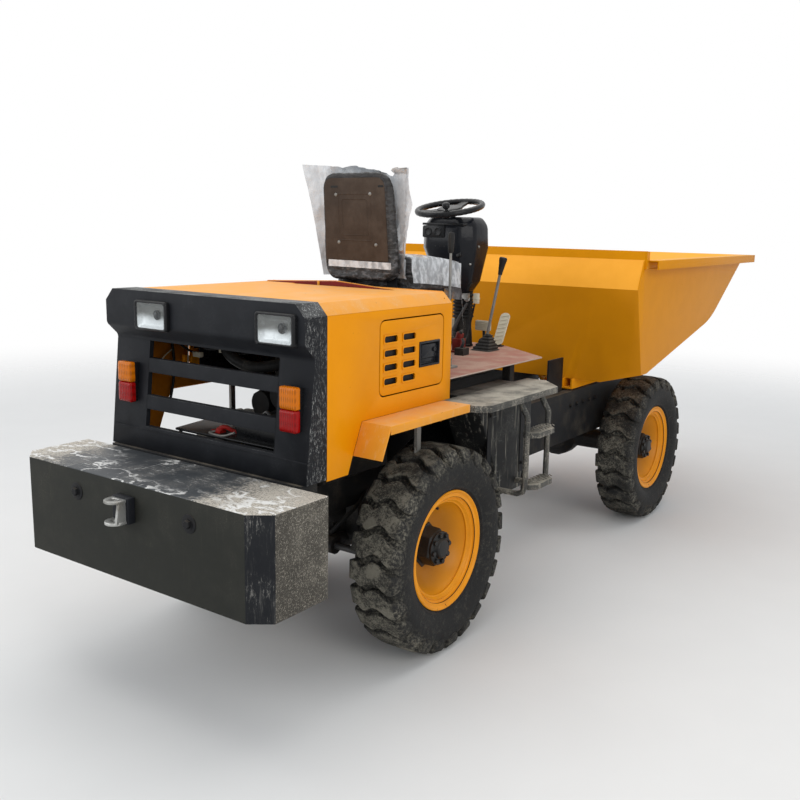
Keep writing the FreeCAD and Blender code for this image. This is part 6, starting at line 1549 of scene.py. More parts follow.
def inflate(item: bpy.types.Object, voxel: float, cap: float, pressure: float = 4.0) -> None:
    """Fill a closed soft shape by a short cloth simulation, with no point moving more than cap metres.

    Args:
        item: the closed mesh, a little smaller than the finished pad.
        voxel: size of the even mesh that is made first.
        cap: the furthest that a point may move.
        pressure: the pressure inside.
    """
    remesh = item.modifiers.new("even", "REMESH")
    remesh.mode = "VOXEL"
    remesh.voxel_size = voxel
    settle(item)
    before = [v.co.copy() for v in item.data.vertices]
    cloth = item.modifiers.new("cloth", "CLOTH")
    cloth.settings.quality = 5
    cloth.settings.mass = 0.3
    cloth.settings.tension_stiffness = 25.0
    cloth.settings.compression_stiffness = 12.0
    cloth.settings.bending_stiffness = 0.6
    cloth.settings.use_pressure = True
    cloth.settings.uniform_pressure_force = pressure
    cloth.settings.effector_weights.gravity = 0.0
    cloth.point_cache.frame_start = 1
    cloth.point_cache.frame_end = 20
    scene = bpy.context.scene
    for number in range(1, 21):
        scene.frame_set(number)
    graph = bpy.context.evaluated_depsgraph_get()
    after = bpy.data.meshes.new_from_object(item.evaluated_get(graph))
    item.modifiers.clear()
    for vertex, start, end in zip(item.data.vertices, before, after.vertices):
        step = end.co - start
        if step.length > cap:
            step *= cap / step.length
        vertex.co = start + step
    bpy.data.meshes.remove(after)
    scene.frame_set(1)
    smooth = item.modifiers.new("smooth", "SUBSURF")
    smooth.levels = smooth.render_levels = 1
    settle(item)
    shade(item, 180.0)


def crumple(item: bpy.types.Object, size: float, depth: float, seed: float, stretch: Point = (1, 1, 1)) -> None:
    """Push an object's points along their normals by a seeded noise, for folds and creases."""
    normals = [v.normal.copy() for v in item.data.vertices]
    for vertex, normal in zip(item.data.vertices, normals):
        spot = Vector(a * b / size for a, b in zip(vertex.co, stretch)) + Vector((seed, seed * 1.7, seed * 0.6))
        ridge = 1.0 - abs(noise.noise(spot)) * 2.0
        vertex.co += normal * depth * (0.6 * noise.noise(spot * 1.9) + 0.5 * ridge - 0.3)


def curve_value(table: Sequence[tuple[float, float]], at: float) -> float:
    """Read a smooth value from a table of places and values."""
    if at <= table[0][0]:
        return table[0][1]
    for (a, one), (b, two) in zip(table, table[1:]):
        if at <= b:
            t = (at - a) / (b - a)
            return one + (two - one) * t
    return table[-1][1]


@dataclass
class Seat:
    """Driver's seat: board in its vinyl surround, pad on its box, and the loose wrapping film."""

    left: float = -0.191
    right: float = 0.190
    low: float = 1.376
    high: float = 1.802
    rear: float = -0.870
    front: float = -0.808
    film_left: tuple[tuple[float, float], ...] = (
        (1.385, -0.214), (1.43, -0.228), (1.526, -0.256), (1.647, -0.284), (1.746, -0.312), (1.80, -0.330), (1.842, -0.338),
    )
    film_right: tuple[tuple[float, float], ...] = (
        (1.385, 0.214), (1.412, 0.206), (1.463, 0.205), (1.537, 0.212), (1.592, 0.224), (1.67, 0.238), (1.731, 0.222), (1.842, 0.208),
    )
    film_top: tuple[tuple[float, float], ...] = (
        (-0.338, 1.842), (-0.297, 1.840), (-0.22, 1.836), (-0.14, 1.828), (-0.056, 1.830), (0.026, 1.816),
        (0.066, 1.812), (0.10, 1.797), (0.121, 1.790), (0.132, 1.803), (0.142, 1.815), (0.17, 1.821), (0.208, 1.819),
    )

    def build(self, bench: Bench) -> None:
        """Build the seat's pieces."""
        bench.take(bench.copy("seat_base", "seat.box", 0.003, 2), "chassis", Finish.BLACK, ["seat_base"])
        self._back(bench)
        self._pad(bench)
        self._board(bench)
        self._film(bench)

    def _loop(self, inset: float, y: float, corner: float) -> list[tuple[float, float, float]]:
        """One outline of the back's padding."""
        low, high = (self.left + inset, self.low + inset), (self.right - inset, self.high - inset)
        return [(x, y, z) for x, z in rounded(low, high, max(corner - inset, 0.012), 8)]

    def _back(self, bench: Bench) -> None:
        """Padded vinyl surround of the back."""
        corner = 0.062
        form = Form().rings([
            self._loop(0.030, self.rear + 0.006, corner), self._loop(0.012, self.rear + 0.001, corner),
            self._loop(0.004, self.rear + 0.006, corner), self._loop(0.0, self.rear + 0.018, corner),
            self._loop(0.0, self.front - 0.024, corner), self._loop(0.004, self.front - 0.010, corner),
            self._loop(0.016, self.front - 0.004, corner), self._loop(0.050, self.front - 0.001, corner),
        ])
        pad = form.object("seat.surround")
        even = pad.modifiers.new("even", "REMESH")
        even.mode = "VOXEL"
        even.voxel_size = 0.0045
        settle(pad)
        crumple(pad, 0.055, 0.0042, 3.1, (1.0, 1.0, 0.55))
        crumple(pad, 0.022, 0.0013, 8.4, (1.0, 1.0, 1.6))
        self._lean(pad)
        smooth = pad.modifiers.new("smooth", "SUBSURF")
        smooth.levels = smooth.render_levels = 1
        settle(pad)
        shade(pad, 180.0)
        bench.take(pad, "chassis", Finish.VINYL, ["seat_back"])

    def _lean(self, item: bpy.types.Object) -> None:
        """Narrow, thin and shift the back towards its top, and spread its front to the right."""
        deep = self.front - self.rear
        for vertex in item.data.vertices:
            place = vertex.co
            rise = (place.z - self.low) / (self.high - self.low)
            share = (place.y - self.rear) / deep
            spread = 0.020 * max(share, 0.0) * max(0.0, place.x / self.right)
            place.x = place.x / self.right * (0.172 - 0.009 * rise) - 0.026 * rise + spread
            if share > 0:
                place.y = self.rear + min(share, 1.0) * deep * (1 - 0.55 * rise)

    def _pad(self, bench: Bench) -> None:
        """Seat pad, crowned, with a welted seam round its edge."""
        low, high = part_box("seat_cushion")
        z0, z1 = low.z, high.z

        def loop(inset: float, z: float) -> list[tuple[float, float, float]]:
            return [(x, y, z) for x, y in rounded((low.x + inset, low.y + inset), (high.x - inset, high.y - inset), 0.045, 7)]

        form = Form().rings([
            loop(0.012, z0 - 0.022), loop(0.005, z0 - 0.014), loop(0.007, z0 + 0.010), loop(0.006, z0 + 0.045), loop(0.009, z1 - 0.034),
            loop(0.018, z1 - 0.020), loop(0.045, z1 - 0.012), loop(0.100, z1 - 0.008), loop(0.15, z1 - 0.007),
        ])
        pad = form.object("seat.pad")
        inflate(pad, 0.0065, 0.007)
        for vertex in pad.data.vertices:
            rise = (vertex.co.z - z0) / (z1 - z0)
            vertex.co.z += self._crown(vertex.co) * max(rise, 0.0)
        crumple(pad, 0.06, 0.002, 5.2)
        for vertex in pad.data.vertices:
            vertex.co.z = max(vertex.co.z, z0 - 0.022)
        bench.take(pad, "chassis", Finish.VINYL, ["seat_cushion"])
        welt = Form()
        path = [Vector(p) for p in loop(0.008, z0 + 0.047)]
        welt.tube(path, 0.0032, 8, loop=True)
        bench.take(welt.object("seat.welt", 60), "chassis", Finish.SOFT_PLASTIC)

    def _crown(self, place: Vector) -> float:
        """Extra height of the pad: full at its back, falling away to its front edge."""
        along = min(max((-0.44 - place.y) / 0.30, 0.0), 1.0)
        across = max(0.0, 1.0 - ((place.x - 0.012) / 0.235) ** 2)
        return 0.030 * math.sin(along * math.pi / 2) * across**0.5 - 0.012 * (1.0 - along) ** 2

    def _board(self, bench: Bench) -> None:
        """Board in the back with its pressed frame, slots and bolts."""
        y = self.rear - 0.0005
        low, high = (self.left + 0.013, 1.4545), (self.right - 0.014, self.high - 0.020)
        corner = rounded((low[0], low[1] - 0.2), high, 0.042, 8)
        outline = [p for p in corner if p[1] > 1.6] + [(low[0], low[1]), (high[0], low[1])]
        form = Form().prism([(x, y + 0.004, z) for x, z in outline], Vector((0, -0.005, 0)))
        plate = form.object("seat.board")
        bevel(plate, 0.0012, 2)
        raised = Form()
        for inset, width in ((0.0, 0.006), (0.022, 0.004)):
            a = rounded((-0.098 + inset, 1.532 + inset), (0.098 - inset, 1.722 - inset), 0.012, 4)
            b = rounded((-0.098 + inset + width, 1.532 + inset + width), (0.098 - inset - width, 1.722 - inset - width), 0.008, 4)
            raised.rings([
                [(x, y - 0.0008, z) for x, z in a],
                [(x * 0.5 + u * 0.5, y - 0.0026, z * 0.5 + w * 0.5) for (x, z), (u, w) in zip(a, b)],
                [(x, y - 0.0008, z) for x, z in b],
            ], caps=False)
        raised_item = raised.object("pressing", 60)
        board = join("seat.board", [plate, raised_item])
        self._lean(board)
        bench.take(board, "chassis", Finish.BOARD)
        fixing = Form()
        for x, z in ((-0.114, 1.716), (0.060, 1.718), (-0.096, 1.526), (0.093, 1.519)):
            fixing.lathe([(0, 0), (0, 0.0075), (0.0014, 0.0072), (0.0035, 0.0045), (0.004, 0)], 16, (x, y - 0.001, z), Vector((0, -1, 0)))
        bench.take(fixing.object("seat.board.bolts"), "chassis", Finish.BARE_STEEL)
        slots = Form()
        for x0, x1 in ((-0.142, -0.104), (0.098, 0.126)):
            slots.prism([(x, y - 0.0012, z) for x, z in rounded((x0, 1.7435), (x1, 1.7515), 0.0038, 4)], Vector((0, -0.0006, 0)))
        bench.take(slots.object("seat.board.slots"), "chassis", Finish.SOFT_PLASTIC)

    def _film(self, bench: Bench) -> None:
        """Wrapping film: over the back with its two ears, over the pad, and a strip under the board."""
        across = [i / 72 for i in range(73)]
        along = [i / 64 for i in range(65)]

        def spot(u: float, v: float) -> Vector:
            foot = 1.388
            guess = foot + v * 0.42
            x = curve_value(self.film_left, guess) * (1 - u) + curve_value(self.film_right, guess) * u
            top = curve_value(self.film_top, x)
            z = foot + v * (top - foot)
            side = abs(2 * u - 1)
            over_back = 1.0 if self.left < x < self.right else 0.0
            hug = 0.5 + 0.5 * math.cos(math.pi * min(side * 1.02, 1.0))
            y = self.front + 0.010 + 0.018 * hug - 0.030 * side**5 - 0.034 * max(0.0, (v - 0.82) / 0.18) ** 2 * over_back
            y += 0.010 * math.sin(9.0 * u + 4.0 * v) * (1 - v * 0.5)
            return Vector((x, y, z))

        film = Form().sheet(across, along, spot).object("film.back")
        crumple(film, 0.07, 0.010, 1.3, (1.0, 1.0, 0.6))
        crumple(film, 0.022, 0.0028, 6.5, (1.0, 1.0, 0.7))
        for vertex in film.data.vertices:
            inside = self.left - 0.004 < vertex.co.x < self.right + 0.004 and vertex.co.z < self.high + 0.002
            if inside:
                vertex.co.y = max(vertex.co.y, self.front + 0.003)
            vertex.co.z = min(vertex.co.z, 1.846)
        smooth_open(film)
        bench.take(film, "chassis", Finish.FILM, ["seat_film"])
        self._seat_film(bench)

    def _seat_film(self, bench: Bench) -> None:
        """Film lying over the pad and hanging past its front and right edges."""
        low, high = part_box("seat_cushion")
        lift = high.z + 0.006

        def spot(u: float, v: float) -> Vector:
            x = -0.190 + 0.530 * u
            y = -0.806 + 0.526 * v
            z = lift + 0.003 * math.sin(9 * u + 3 * v) + self._crown(Vector((x, y, 0.0)))
            over_x = max(0.0, x - (high.x - 0.010))
            over_y = max(0.0, y - (high.y - 0.020))
            x -= over_x * 0.86
            y -= over_y * 0.80
            z -= over_x * 0.93 * (0.75 + 0.25 * v) + over_y * 0.96
            return Vector((x, y, z))

        cells = [i / 56 for i in range(57)]
        film = Form().sheet(cells, cells, spot).object("film.pad")
        crumple(film, 0.12, 0.004, 9.1)
        crumple(film, 0.04, 0.0012, 2.6)
        for vertex in film.data.vertices:
            inside = vertex.co.x < high.x - 0.004 and vertex.co.y < high.y - 0.004
            if inside:
                vertex.co.z = max(vertex.co.z, high.z + 0.003 + self._crown(vertex.co))
        smooth_open(film)
        bench.take(film, "chassis", Finish.THIN_FILM)
        strip = Form().sheet(
            [i / 40 for i in range(41)],
            [i / 6 for i in range(7)],
            lambda u, v: Vector((-0.150 + 0.318 * u, self.rear - 0.003 - 0.003 * math.sin(30 * u), 1.4285 + 0.027 * v - 0.004 * u)),
        ).object("film.strip")
        crumple(strip, 0.02, 0.0016, 4.4)
        smooth_open(strip)
        bench.take(strip, "chassis", Finish.FILM)


def smooth_open(item: bpy.types.Object) -> None:
    """Shade an open sheet smooth all over."""
    item.data.update()
    shade(item, 180.0)


@dataclass
class Controls:
    """Cowl, column, steering wheel, levers and pedals at the driver's place."""

    wheel_centre: Point = (0.0, -0.188, 1.680)
    wheel_radius: float = 0.149
    spinner_turn: float = 297.0
    grip: float = 0.0142
    tilt: float = 13.0

    def build(self, bench: Bench) -> None:
        """Build the controls."""
        cowl = bench.copy("binnacle", "cowl", 0.016, 4)
        for vertex in cowl.data.vertices:
            share = min(max((1.515 - vertex.co.z) / 0.09, 0.0), 1.0)
            vertex.co.x *= 1.0 - 0.11 * share * share * (3.0 - 2.0 * share)
        shade(cowl, 50)
        bench.take(cowl, "chassis", Finish.GLOSSY_BLACK, ["binnacle"])
        bench.take(self._dash(), "chassis", Finish.PLASTIC)
        bench.take(self._column(), "chassis", Finish.SOFT_PLASTIC, ["column_boot"])
        bench.take(self._wheel(), "steering", Finish.PLASTIC, ["steering_wheel"])
        bench.take(self._spinner(), "steering", Finish.PLASTIC)
        self._levers(bench)
        self._pedals(bench)
        self._small(bench)

    def _dash(self) -> bpy.types.Object:
        """Instrument cluster let into the cowl's driver side: two dials, lamps and the key switch."""
        form = Form()
        out = Vector((0, -0.94, 0.34)).normalized()
        form.prism([(x, -0.240, z) for x, z in rounded((-0.108, 1.545), (0.012, 1.600), 0.008, 4)], Vector((0, -0.0075, 0)))
        for x, radius in ((-0.076, 0.019), (-0.024, 0.019)):
            centre = Vector((x, -0.2455, 1.572))
            form.lathe([(-0.001, radius), (0.004, radius), (0.005, radius - 0.0015), (0.005, radius - 0.003), (0.0025, radius - 0.004), (0.0025, 0)], 28, centre, Vector((0, -1, 0)))
        for number in range(4):
            form.lathe([(0, 0), (0, 0.005), (0.004, 0.0045), (0.005, 0)], 12, (-0.036 + number * 0.024, -0.2415, 1.508), out)
        form.lathe([(0, 0), (0, 0.014), (0.010, 0.013), (0.012, 0.010), (0.012, 0)], 20, (0.082, -0.225, 1.470), out)
        form.box((-0.110, -0.2465, 1.602), (0.110, -0.150, 1.612))
        form.lathe([(0, 0.034), (0.018, 0.030), (0.030, 0.024), (0.030, 0.0), (0, 0)], 28, (0, -0.198, 1.6385), Vector((0, -0.2, 1)))
        return bevel(form.object("cowl.dash"), 0.0012, 2)

    def _column(self) -> bpy.types.Object:
        """Column tube with its fine ribbed sleeve under the cowl."""
        base, top = 1.030, 1.290
        profile = [(base, 0.0), (base, 0.052), (base + 0.008, 0.052), (base + 0.012, 0.043), (1.165, 0.041)]
        z = 1.168
        while z < top - 0.012:
            profile += [(z, 0.049), (z + 0.0045, 0.0515), (z + 0.009, 0.049), (z + 0.0105, 0.0435), (z + 0.0150, 0.0435)]
            z += 0.0172
        profile += [(top - 0.002, 0.046), (top + 0.01, 0.046), (top + 0.01, 0.0)]
        form = Form().lathe([(h - base, r) for h, r in profile], 40, (0, -0.043, base), Vector((0, 0, 1)))
        return form.object("column.sleeve", 40)

    def _wheel(self) -> bpy.types.Object:
        """Steering wheel: moulded rim with finger swells, three broad spokes and a padded hub."""
        radius = self.wheel_radius
        rim = Form()
        path = []
        radii = []
        for step in range(96):
            angle = math.tau * step / 96
            path.append((radius * math.cos(angle), radius * math.sin(angle), 0.0))
            radii.append(self.grip * (0.955 + 0.045 * math.cos(angle * 36)))
        rim.tube(path, radii, 14, loop=True)
        for turn in (90, 210, 330):
            spin = Matrix.Rotation(math.radians(turn), 3, "Z")
            rows = []
            for reach, half, z, thick in ((0.020, 0.036, -0.008, 0.013), (0.050, 0.032, -0.009, 0.013), (0.090, 0.0225, -0.0085, 0.012), (0.125, 0.0205, -0.005, 0.011), (0.149, 0.025, -0.001, 0.010)):
                loop = [(reach, y, w) for y, w in rounded((-half, z - thick / 2), (half, z + thick / 2), 0.004, 3)]
                rows.append([spin @ Vector(p) for p in loop])
            rim.rings(rows)
        rim.lathe([(-0.030, 0.0), (-0.030, 0.030), (-0.018, 0.050), (-0.004, 0.060), (0.002, 0.0575), (0.0055, 0.047), (0.0070, 0.026), (0.0075, 0.0)], 40, (0, 0, 0), Vector((0, 0, 1)))
        rim.lathe([(-0.052, 0.0), (-0.052, 0.0135), (-0.026, 0.0135), (-0.026, 0.0)], 20, (0, 0, 0), Vector((0, 0, 1)))
        wheel = rim.object("steering.wheel", 40)
        return moved(wheel, self.wheel_centre, Matrix.Rotation(math.radians(self.tilt), 3, "X"))

    def _spinner(self) -> bpy.types.Object:
        """Spinner knob clamped to the steering wheel's rim."""
        form = Form()
        angle = math.radians(self.spinner_turn)
        out = Vector((math.cos(angle), math.sin(angle), 0.0))
        foot = out * self.wheel_radius
        along = Vector((-out.y, out.x, 0.0)) * 0.013
        form.tube([foot - along, foot + along], [self.grip + 0.0035] * 2, 20)
        stem = [(0.010, 0.0), (0.010, 0.0075), (0.022, 0.0065), (0.025, 0.011), (0.030, 0.0162), (0.038, 0.0178), (0.046, 0.0165), (0.051, 0.011), (0.053, 0.005), (0.0533, 0.0)]
        form.lathe(stem, 24, tuple(foot), Vector((0, 0, 1)))
        return moved(form.object("steering.spinner", 40), self.wheel_centre, Matrix.Rotation(math.radians(self.tilt), 3, "X"))

    def _levers(self, bench: Bench) -> None:
        """Hand lever beside the seat and the gear lever in its pleated gaiter."""
        up = Vector((0, 0, 1))
        brake = Form()
        brake.box((0.30, -0.718, 1.0302), (0.36, -0.658, 1.039))
        brake.box((0.318, -0.70, 1.039), (0.324, -0.676, 1.085))
        brake.box((0.336, -0.70, 1.039), (0.342, -0.676, 1.085))
        brake.lathe([(0, 0), (0, 0.0055), (0.46, 0.0055), (0.46, 0)], 14, (0.33, -0.688, 1.045), up)
        brake.bolt((0.342, -0.688, 1.070), Vector((1, 0, 0)), 0.013, 0.006)
        bench.take(bevel(brake.object("lever.hand"), 0.0008, 1), "chassis", Finish.BARE_STEEL, ["levers"])
        grip = Form().lathe([(0, 0), (0, 0.009), (0.004, 0.0115), (0.028, 0.0122), (0.060, 0.013), (0.076, 0.0125), (0.0815, 0.009), (0.0825, 0)], 24, (0.33, -0.688, 1.4935), up)
        bench.take(grip.object("lever.hand.grip", 50), "chassis", Finish.SOFT_PLASTIC)
        foot, tip = Vector((0.170, -0.113, 1.060)), Vector((0.250, -0.113, 1.465))
        lean = (tip - foot).normalized()
        rod = Form().tube([foot, foot + lean * 0.16, tip - lean * 0.05], 0.0068, 14)
        bench.take(rod.object("lever.gear", 40), "chassis", Finish.BARE_STEEL)
        knob = Form().lathe([(0, 0), (0, 0.0098), (0.010, 0.0102), (0.050, 0.0150), (0.068, 0.0182), (0.076, 0.0180), (0.0800, 0.0150), (0.0805, 0.0)], 28, tip - lean * 0.083, lean)
        bench.take(knob.object("lever.gear.grip", 45), "chassis", Finish.SOFT_PLASTIC)
        gaiter = Form()
        rows = []
        for step in range(11):
            share = step / 10
            half = 0.053 - 0.034 * share - (0.0055 if step % 2 else 0.0)
            height = 1.031 + 0.070 * share
            centre = 0.170 + 0.0135 * share
            rows.append([(centre + x, -0.113 + y, height) for x, y in rounded((-half, -half), (half, half), 0.008, 3)])
        gaiter.rings(rows)
        gaiter.lathe([(0, 0), (0, 0.014), (0.008, 0.012), (0.009, 0)], 20, Vector((0.1835, -0.113, 1.0995)), lean)
        bench.take(bevel(gaiter.object("lever.gear.gaiter"), 0.0008, 1, 50), "chassis", Finish.SOFT_PLASTIC)

    def _pedals(self, bench: Bench) -> None:
        """Grooved accelerator plate and the ribbed brake and clutch pads on their arms."""
        angle = math.radians(62)
        lean = Matrix.Rotation(angle, 3, "X")
        plate = Form()
        half = 0.026
        outline = [(x, y, 0.0) for x, y in rounded((-half, 0.0), (half, 0.168), 0.022, 6)]
        plate.prism(outline, Vector((0, 0, 0.006)))
        for number in range(7):
            y = 0.018 + number * 0.021
            plate.prism([(-0.019, y, 0.0058), (0.019, y + 0.010, 0.0058), (0.019, y + 0.0165, 0.0058), (-0.019, y + 0.0065, 0.0058)], Vector((0, 0, 0.0026)))
        item = moved(bevel(plate.object("pedal.accelerator"), 0.0008, 1), (0.150, 0.037, 1.037), lean)
        bench.take(item, "chassis", Finish.CREAM, ["foot_pedals"])
        arms = Form()
        pads = Form()
        for x in (0.079, -0.079):
            arms.tube(smooth_path([(x, 0.022, 1.034), (x, 0.028, 1.060), (x, 0.026, 1.100), (x, 0.020, 1.128)], 5), 0.0075, 10)
            arms.box((x - 0.024, 0.010, 1.0302), (x + 0.024, 0.052, 1.038))
            arms.lathe([(-0.020, 0), (-0.020, 0.013), (0.020, 0.013), (0.020, 0)], 20, (x, 0.024, 1.050), Vector((1, 0, 0)))
            outline = [(u + x, 0.0215, w) for u, w in rounded((-0.042, 1.104), (0.042, 1.152), 0.007, 4)]
            pads.prism(outline, Vector((0, -0.010, 0)))
            for number in range(5):
                z = 1.109 + number * 0.0085
                pads.box((x - 0.037, 0.0098, z), (x + 0.037, 0.0122, z + 0.0042))
        arms.box((0.132, 0.030, 1.0302), (0.168, 0.070, 1.036))
        arms.lathe([(-0.018, 0), (-0.018, 0.006), (0.018, 0.006), (0.018, 0)], 14, (0.150, 0.040, 1.041), Vector((1, 0, 0)))
        bench.take(bevel(arms.object("pedal.arms"), 0.0008, 1), "chassis", Finish.CAST)
        bench.take(bevel(pads.object("pedal.pads"), 0.0008, 1), "chassis", Finish.CREAM)

    def _small(self, bench: Bench) -> None:
        """Small fittings round the column: joint cap, connector, arm, hoses and the red hand valve."""
        cap = Form().lathe([(0, 0), (0, 0.014), (0.008, 0.014), (0.010, 0.011), (0.0105, 0.004), (0.014, 0.003), (0.014, 0)], 20, (0.053, -0.096, 1.262), Vector((0.35, -0.9, 0.1)))
        for y, z, radius in ((-0.158, 1.507, 0.0075), (-0.228, 1.430, 0.0045)):
            cap.lathe([(0, 0), (0, radius), (0.006, radius * 0.8), (0.009, 0)], 14, (0.1405, y, z), Vector((1, 0, 0)))
        cap.box((0.032, -0.112, 1.262), (0.066, -0.096, 1.288))
        bench.take(cap.object("column.cap"), "chassis", Finish.GALVANISED)
        block = Form().box((0.092, -0.108, 1.243), (0.116, -0.088, 1.290))
        block.box((0.090, -0.110, 1.262), (0.118, -0.086, 1.270))
        bench.take(bevel(block.object("column.connector"), 0.002, 2), "chassis", Finish.CREAM)
        arm = Form().tube([(-0.025, -0.10, 1.095), (0.010, -0.099, 1.165), (0.052, -0.094, 1.240)], (0.010, 0.008, 0.0065), 10)
        arm.lathe([(-0.010, 0), (-0.010, 0.016), (0.010, 0.016), (0.010, 0)], 20, (-0.025, -0.10, 1.095), Vector((0, 1, 0)))
        bench.take(arm.object("column.arm"), "chassis", Finish.GREY_GREASE)
        valve = Form().box((0.085, -0.296, 1.0302), (0.150, -0.236, 1.040)).box((0.095, -0.288, 1.038), (0.142, -0.244, 1.095))
        valve.lathe([(0, 0), (0, 0.018), (0.030, 0.018), (0.034, 0.012), (0.034, 0)], 20, (0.118, -0.266, 1.090), Vector((0.2, 0.1, 1)))
        bench.take(bevel(valve.object("valve.body"), 0.003, 2), "chassis", Finish.RED_CAST)
        lever = Form().tube(smooth_path([(0.118, -0.266, 1.118), (0.150, -0.290, 1.135), (0.170, -0.330, 1.128)], 5), 0.0055, 10)
        lever.box((0.150, -0.352, 1.0302), (0.196, -0.300, 1.062))
        lever.tube(smooth_path([(0.172, -0.330, 1.060), (0.178, -0.322, 1.085), (0.160, -0.300, 1.096)], 5), 0.007, 10)
        bench.take(bevel(lever.object("valve.lever"), 0.001, 1), "chassis", Finish.CAST)
        hoses = Form()
        hoses.tube(smooth_path([(0.060, -0.060, 1.036), (0.066, -0.078, 1.10), (0.060, -0.085, 1.18), (0.066, -0.090, 1.262)], 8), 0.006, 10)
        hoses.tube(smooth_path([(-0.058, -0.050, 1.036), (-0.066, -0.090, 1.10), (-0.056, -0.096, 1.20), (-0.045, -0.080, 1.286)], 8), 0.007, 10)
        hoses.tube(smooth_path([(0.100, -0.250, 1.036), (0.075, -0.190, 1.050), (0.062, -0.110, 1.075), (0.068, -0.085, 1.150), (0.096, -0.098, 1.240)], 8), 0.0045, 8)
        bench.take(hoses.object("column.hoses", 60), "chassis", Finish.SOFT_PLASTIC)


@dataclass
class Platform:
    """Driver's floor, steps, ladders, side tanks, bulkhead and chassis."""

    def build(self, bench: Bench) -> None:
        """Build the platform's pieces."""
        floor = bench.copy("floor_plate", "floor.plate", 0.0012, 2)
        repaint(floor, Finish.PRIMER, [(Finish.PALE_EDGE, lambda middle, normal: abs(normal.z) < 0.5)])
        bench.take(floor, "chassis", None, ["floor_plate"])
        bench.take(bench.copy("step_plates", "steps", 0.003, 2), "chassis", Finish.DUSTY_STEEL, ["step_plates"])
        bench.take(bench.copy("ladders", "ladders", 0.0015, 2), "chassis", Finish.DUSTY_STEEL, ["ladders"])
        bench.take(self._chequer(), "chassis", Finish.DUSTY_STEEL)
        tanks = bench.copy("side_tanks", "tanks", 0.006, 3)
        bench.take(tanks, "chassis", Finish.TANK, ["side_tanks"])
        bench.take(self._tank_fittings(), "chassis", Finish.DARK_FRAME)
        bench.take(bench.copy("bulkhead", "bulkhead", 0.001, 1), "chassis", Finish.DARK_FRAME, ["bulkhead"])
        frame = bench.copy("main_frame", "chassis.frame", 0.002, 2)
        bench.take(frame, "chassis", Finish.DARK_FRAME, ["main_frame"])
        self._bolts(bench)

    def _chequer(self) -> bpy.types.Object:
        """Raised bars on the ladder rungs, laid crosswise by turns."""
        items = []
        material = Finish.DUSTY_STEEL.material()
        for side in SIDES.values():
            for z in (0.790, 0.575):
                for phase, turn in ((0, 0.7), (1, -0.7)):
                    bar = Form().box((-0.010, -0.0022, -0.0012), (0.010, 0.0022, 0.0016)).object("bar")
                    moved(bar, (0, 0, 0), Matrix.Rotation(turn, 3, "Z"))
                    row = Repeat(6, move=(0, 0.0245, 0)).of(bar, material)
                    grid = Repeat(2, move=(side * 0.026, 0.0, 0)).of(row, material)
                    moved(grid, (side * (0.659 + 0.013 * phase), -0.578 + 0.012 * phase, z + 0.0115))
                    items.append(grid)
        return join("ladders.chequer", items)

    def _tank_fittings(self) -> bpy.types.Object:
        """Tank filler caps, drain plugs, straps and their bolts."""
        form = Form()
        for side in SIDES.values():
            out = Vector((side, 0, 0))
            for y in (-0.66, -0.38):
                x0, x1 = sorted((side * 0.5195, side * 0.5235))
                form.box((x0, y - 0.016, 0.56), (x1, y + 0.016, 0.88))
                form.bolt((side * 0.5232, y, 0.60), out, 0.014, 0.007)
                form.bolt((side * 0.5232, y, 0.85), out, 0.014, 0.007)
            form.lathe([(0, 0), (0, 0.016), (0.006, 0.016), (0.008, 0.013), (0.008, 0)], 20, (side * 0.5195, -0.345, 0.535), out)
        return bevel(form.object("tanks.fittings"), 0.0008, 1)

    def _bolts(self, bench: Bench) -> None:
        """Bolt rows on the chassis: end plate, cross-member and cheeks."""
        material = Finish.DARK_FRAME.material()
        rows = []
        for side in SIDES.values():
            bolt = Form().bolt((0, 0, 0), Vector((side, 0, 0)), 0.019, 0.009).object("bolt")
            row = Repeat(5, move=(0, 0.075, 0)).of(bolt, material)
            rows.append(moved(row, (side * 0.3502, 0.47, 0.700)))
            bolt = Form().bolt((0, 0, 0), Vector((side, 0, 0)), 0.019, 0.009).object("bolt")
            row = Repeat(4, move=(0, 0.060, 0)).of(bolt, material)
            rows.append(moved(row, (side * 0.3502, 0.98, 0.570)))
        item = join("chassis.bolts", rows)
        bench.take(item, "chassis")


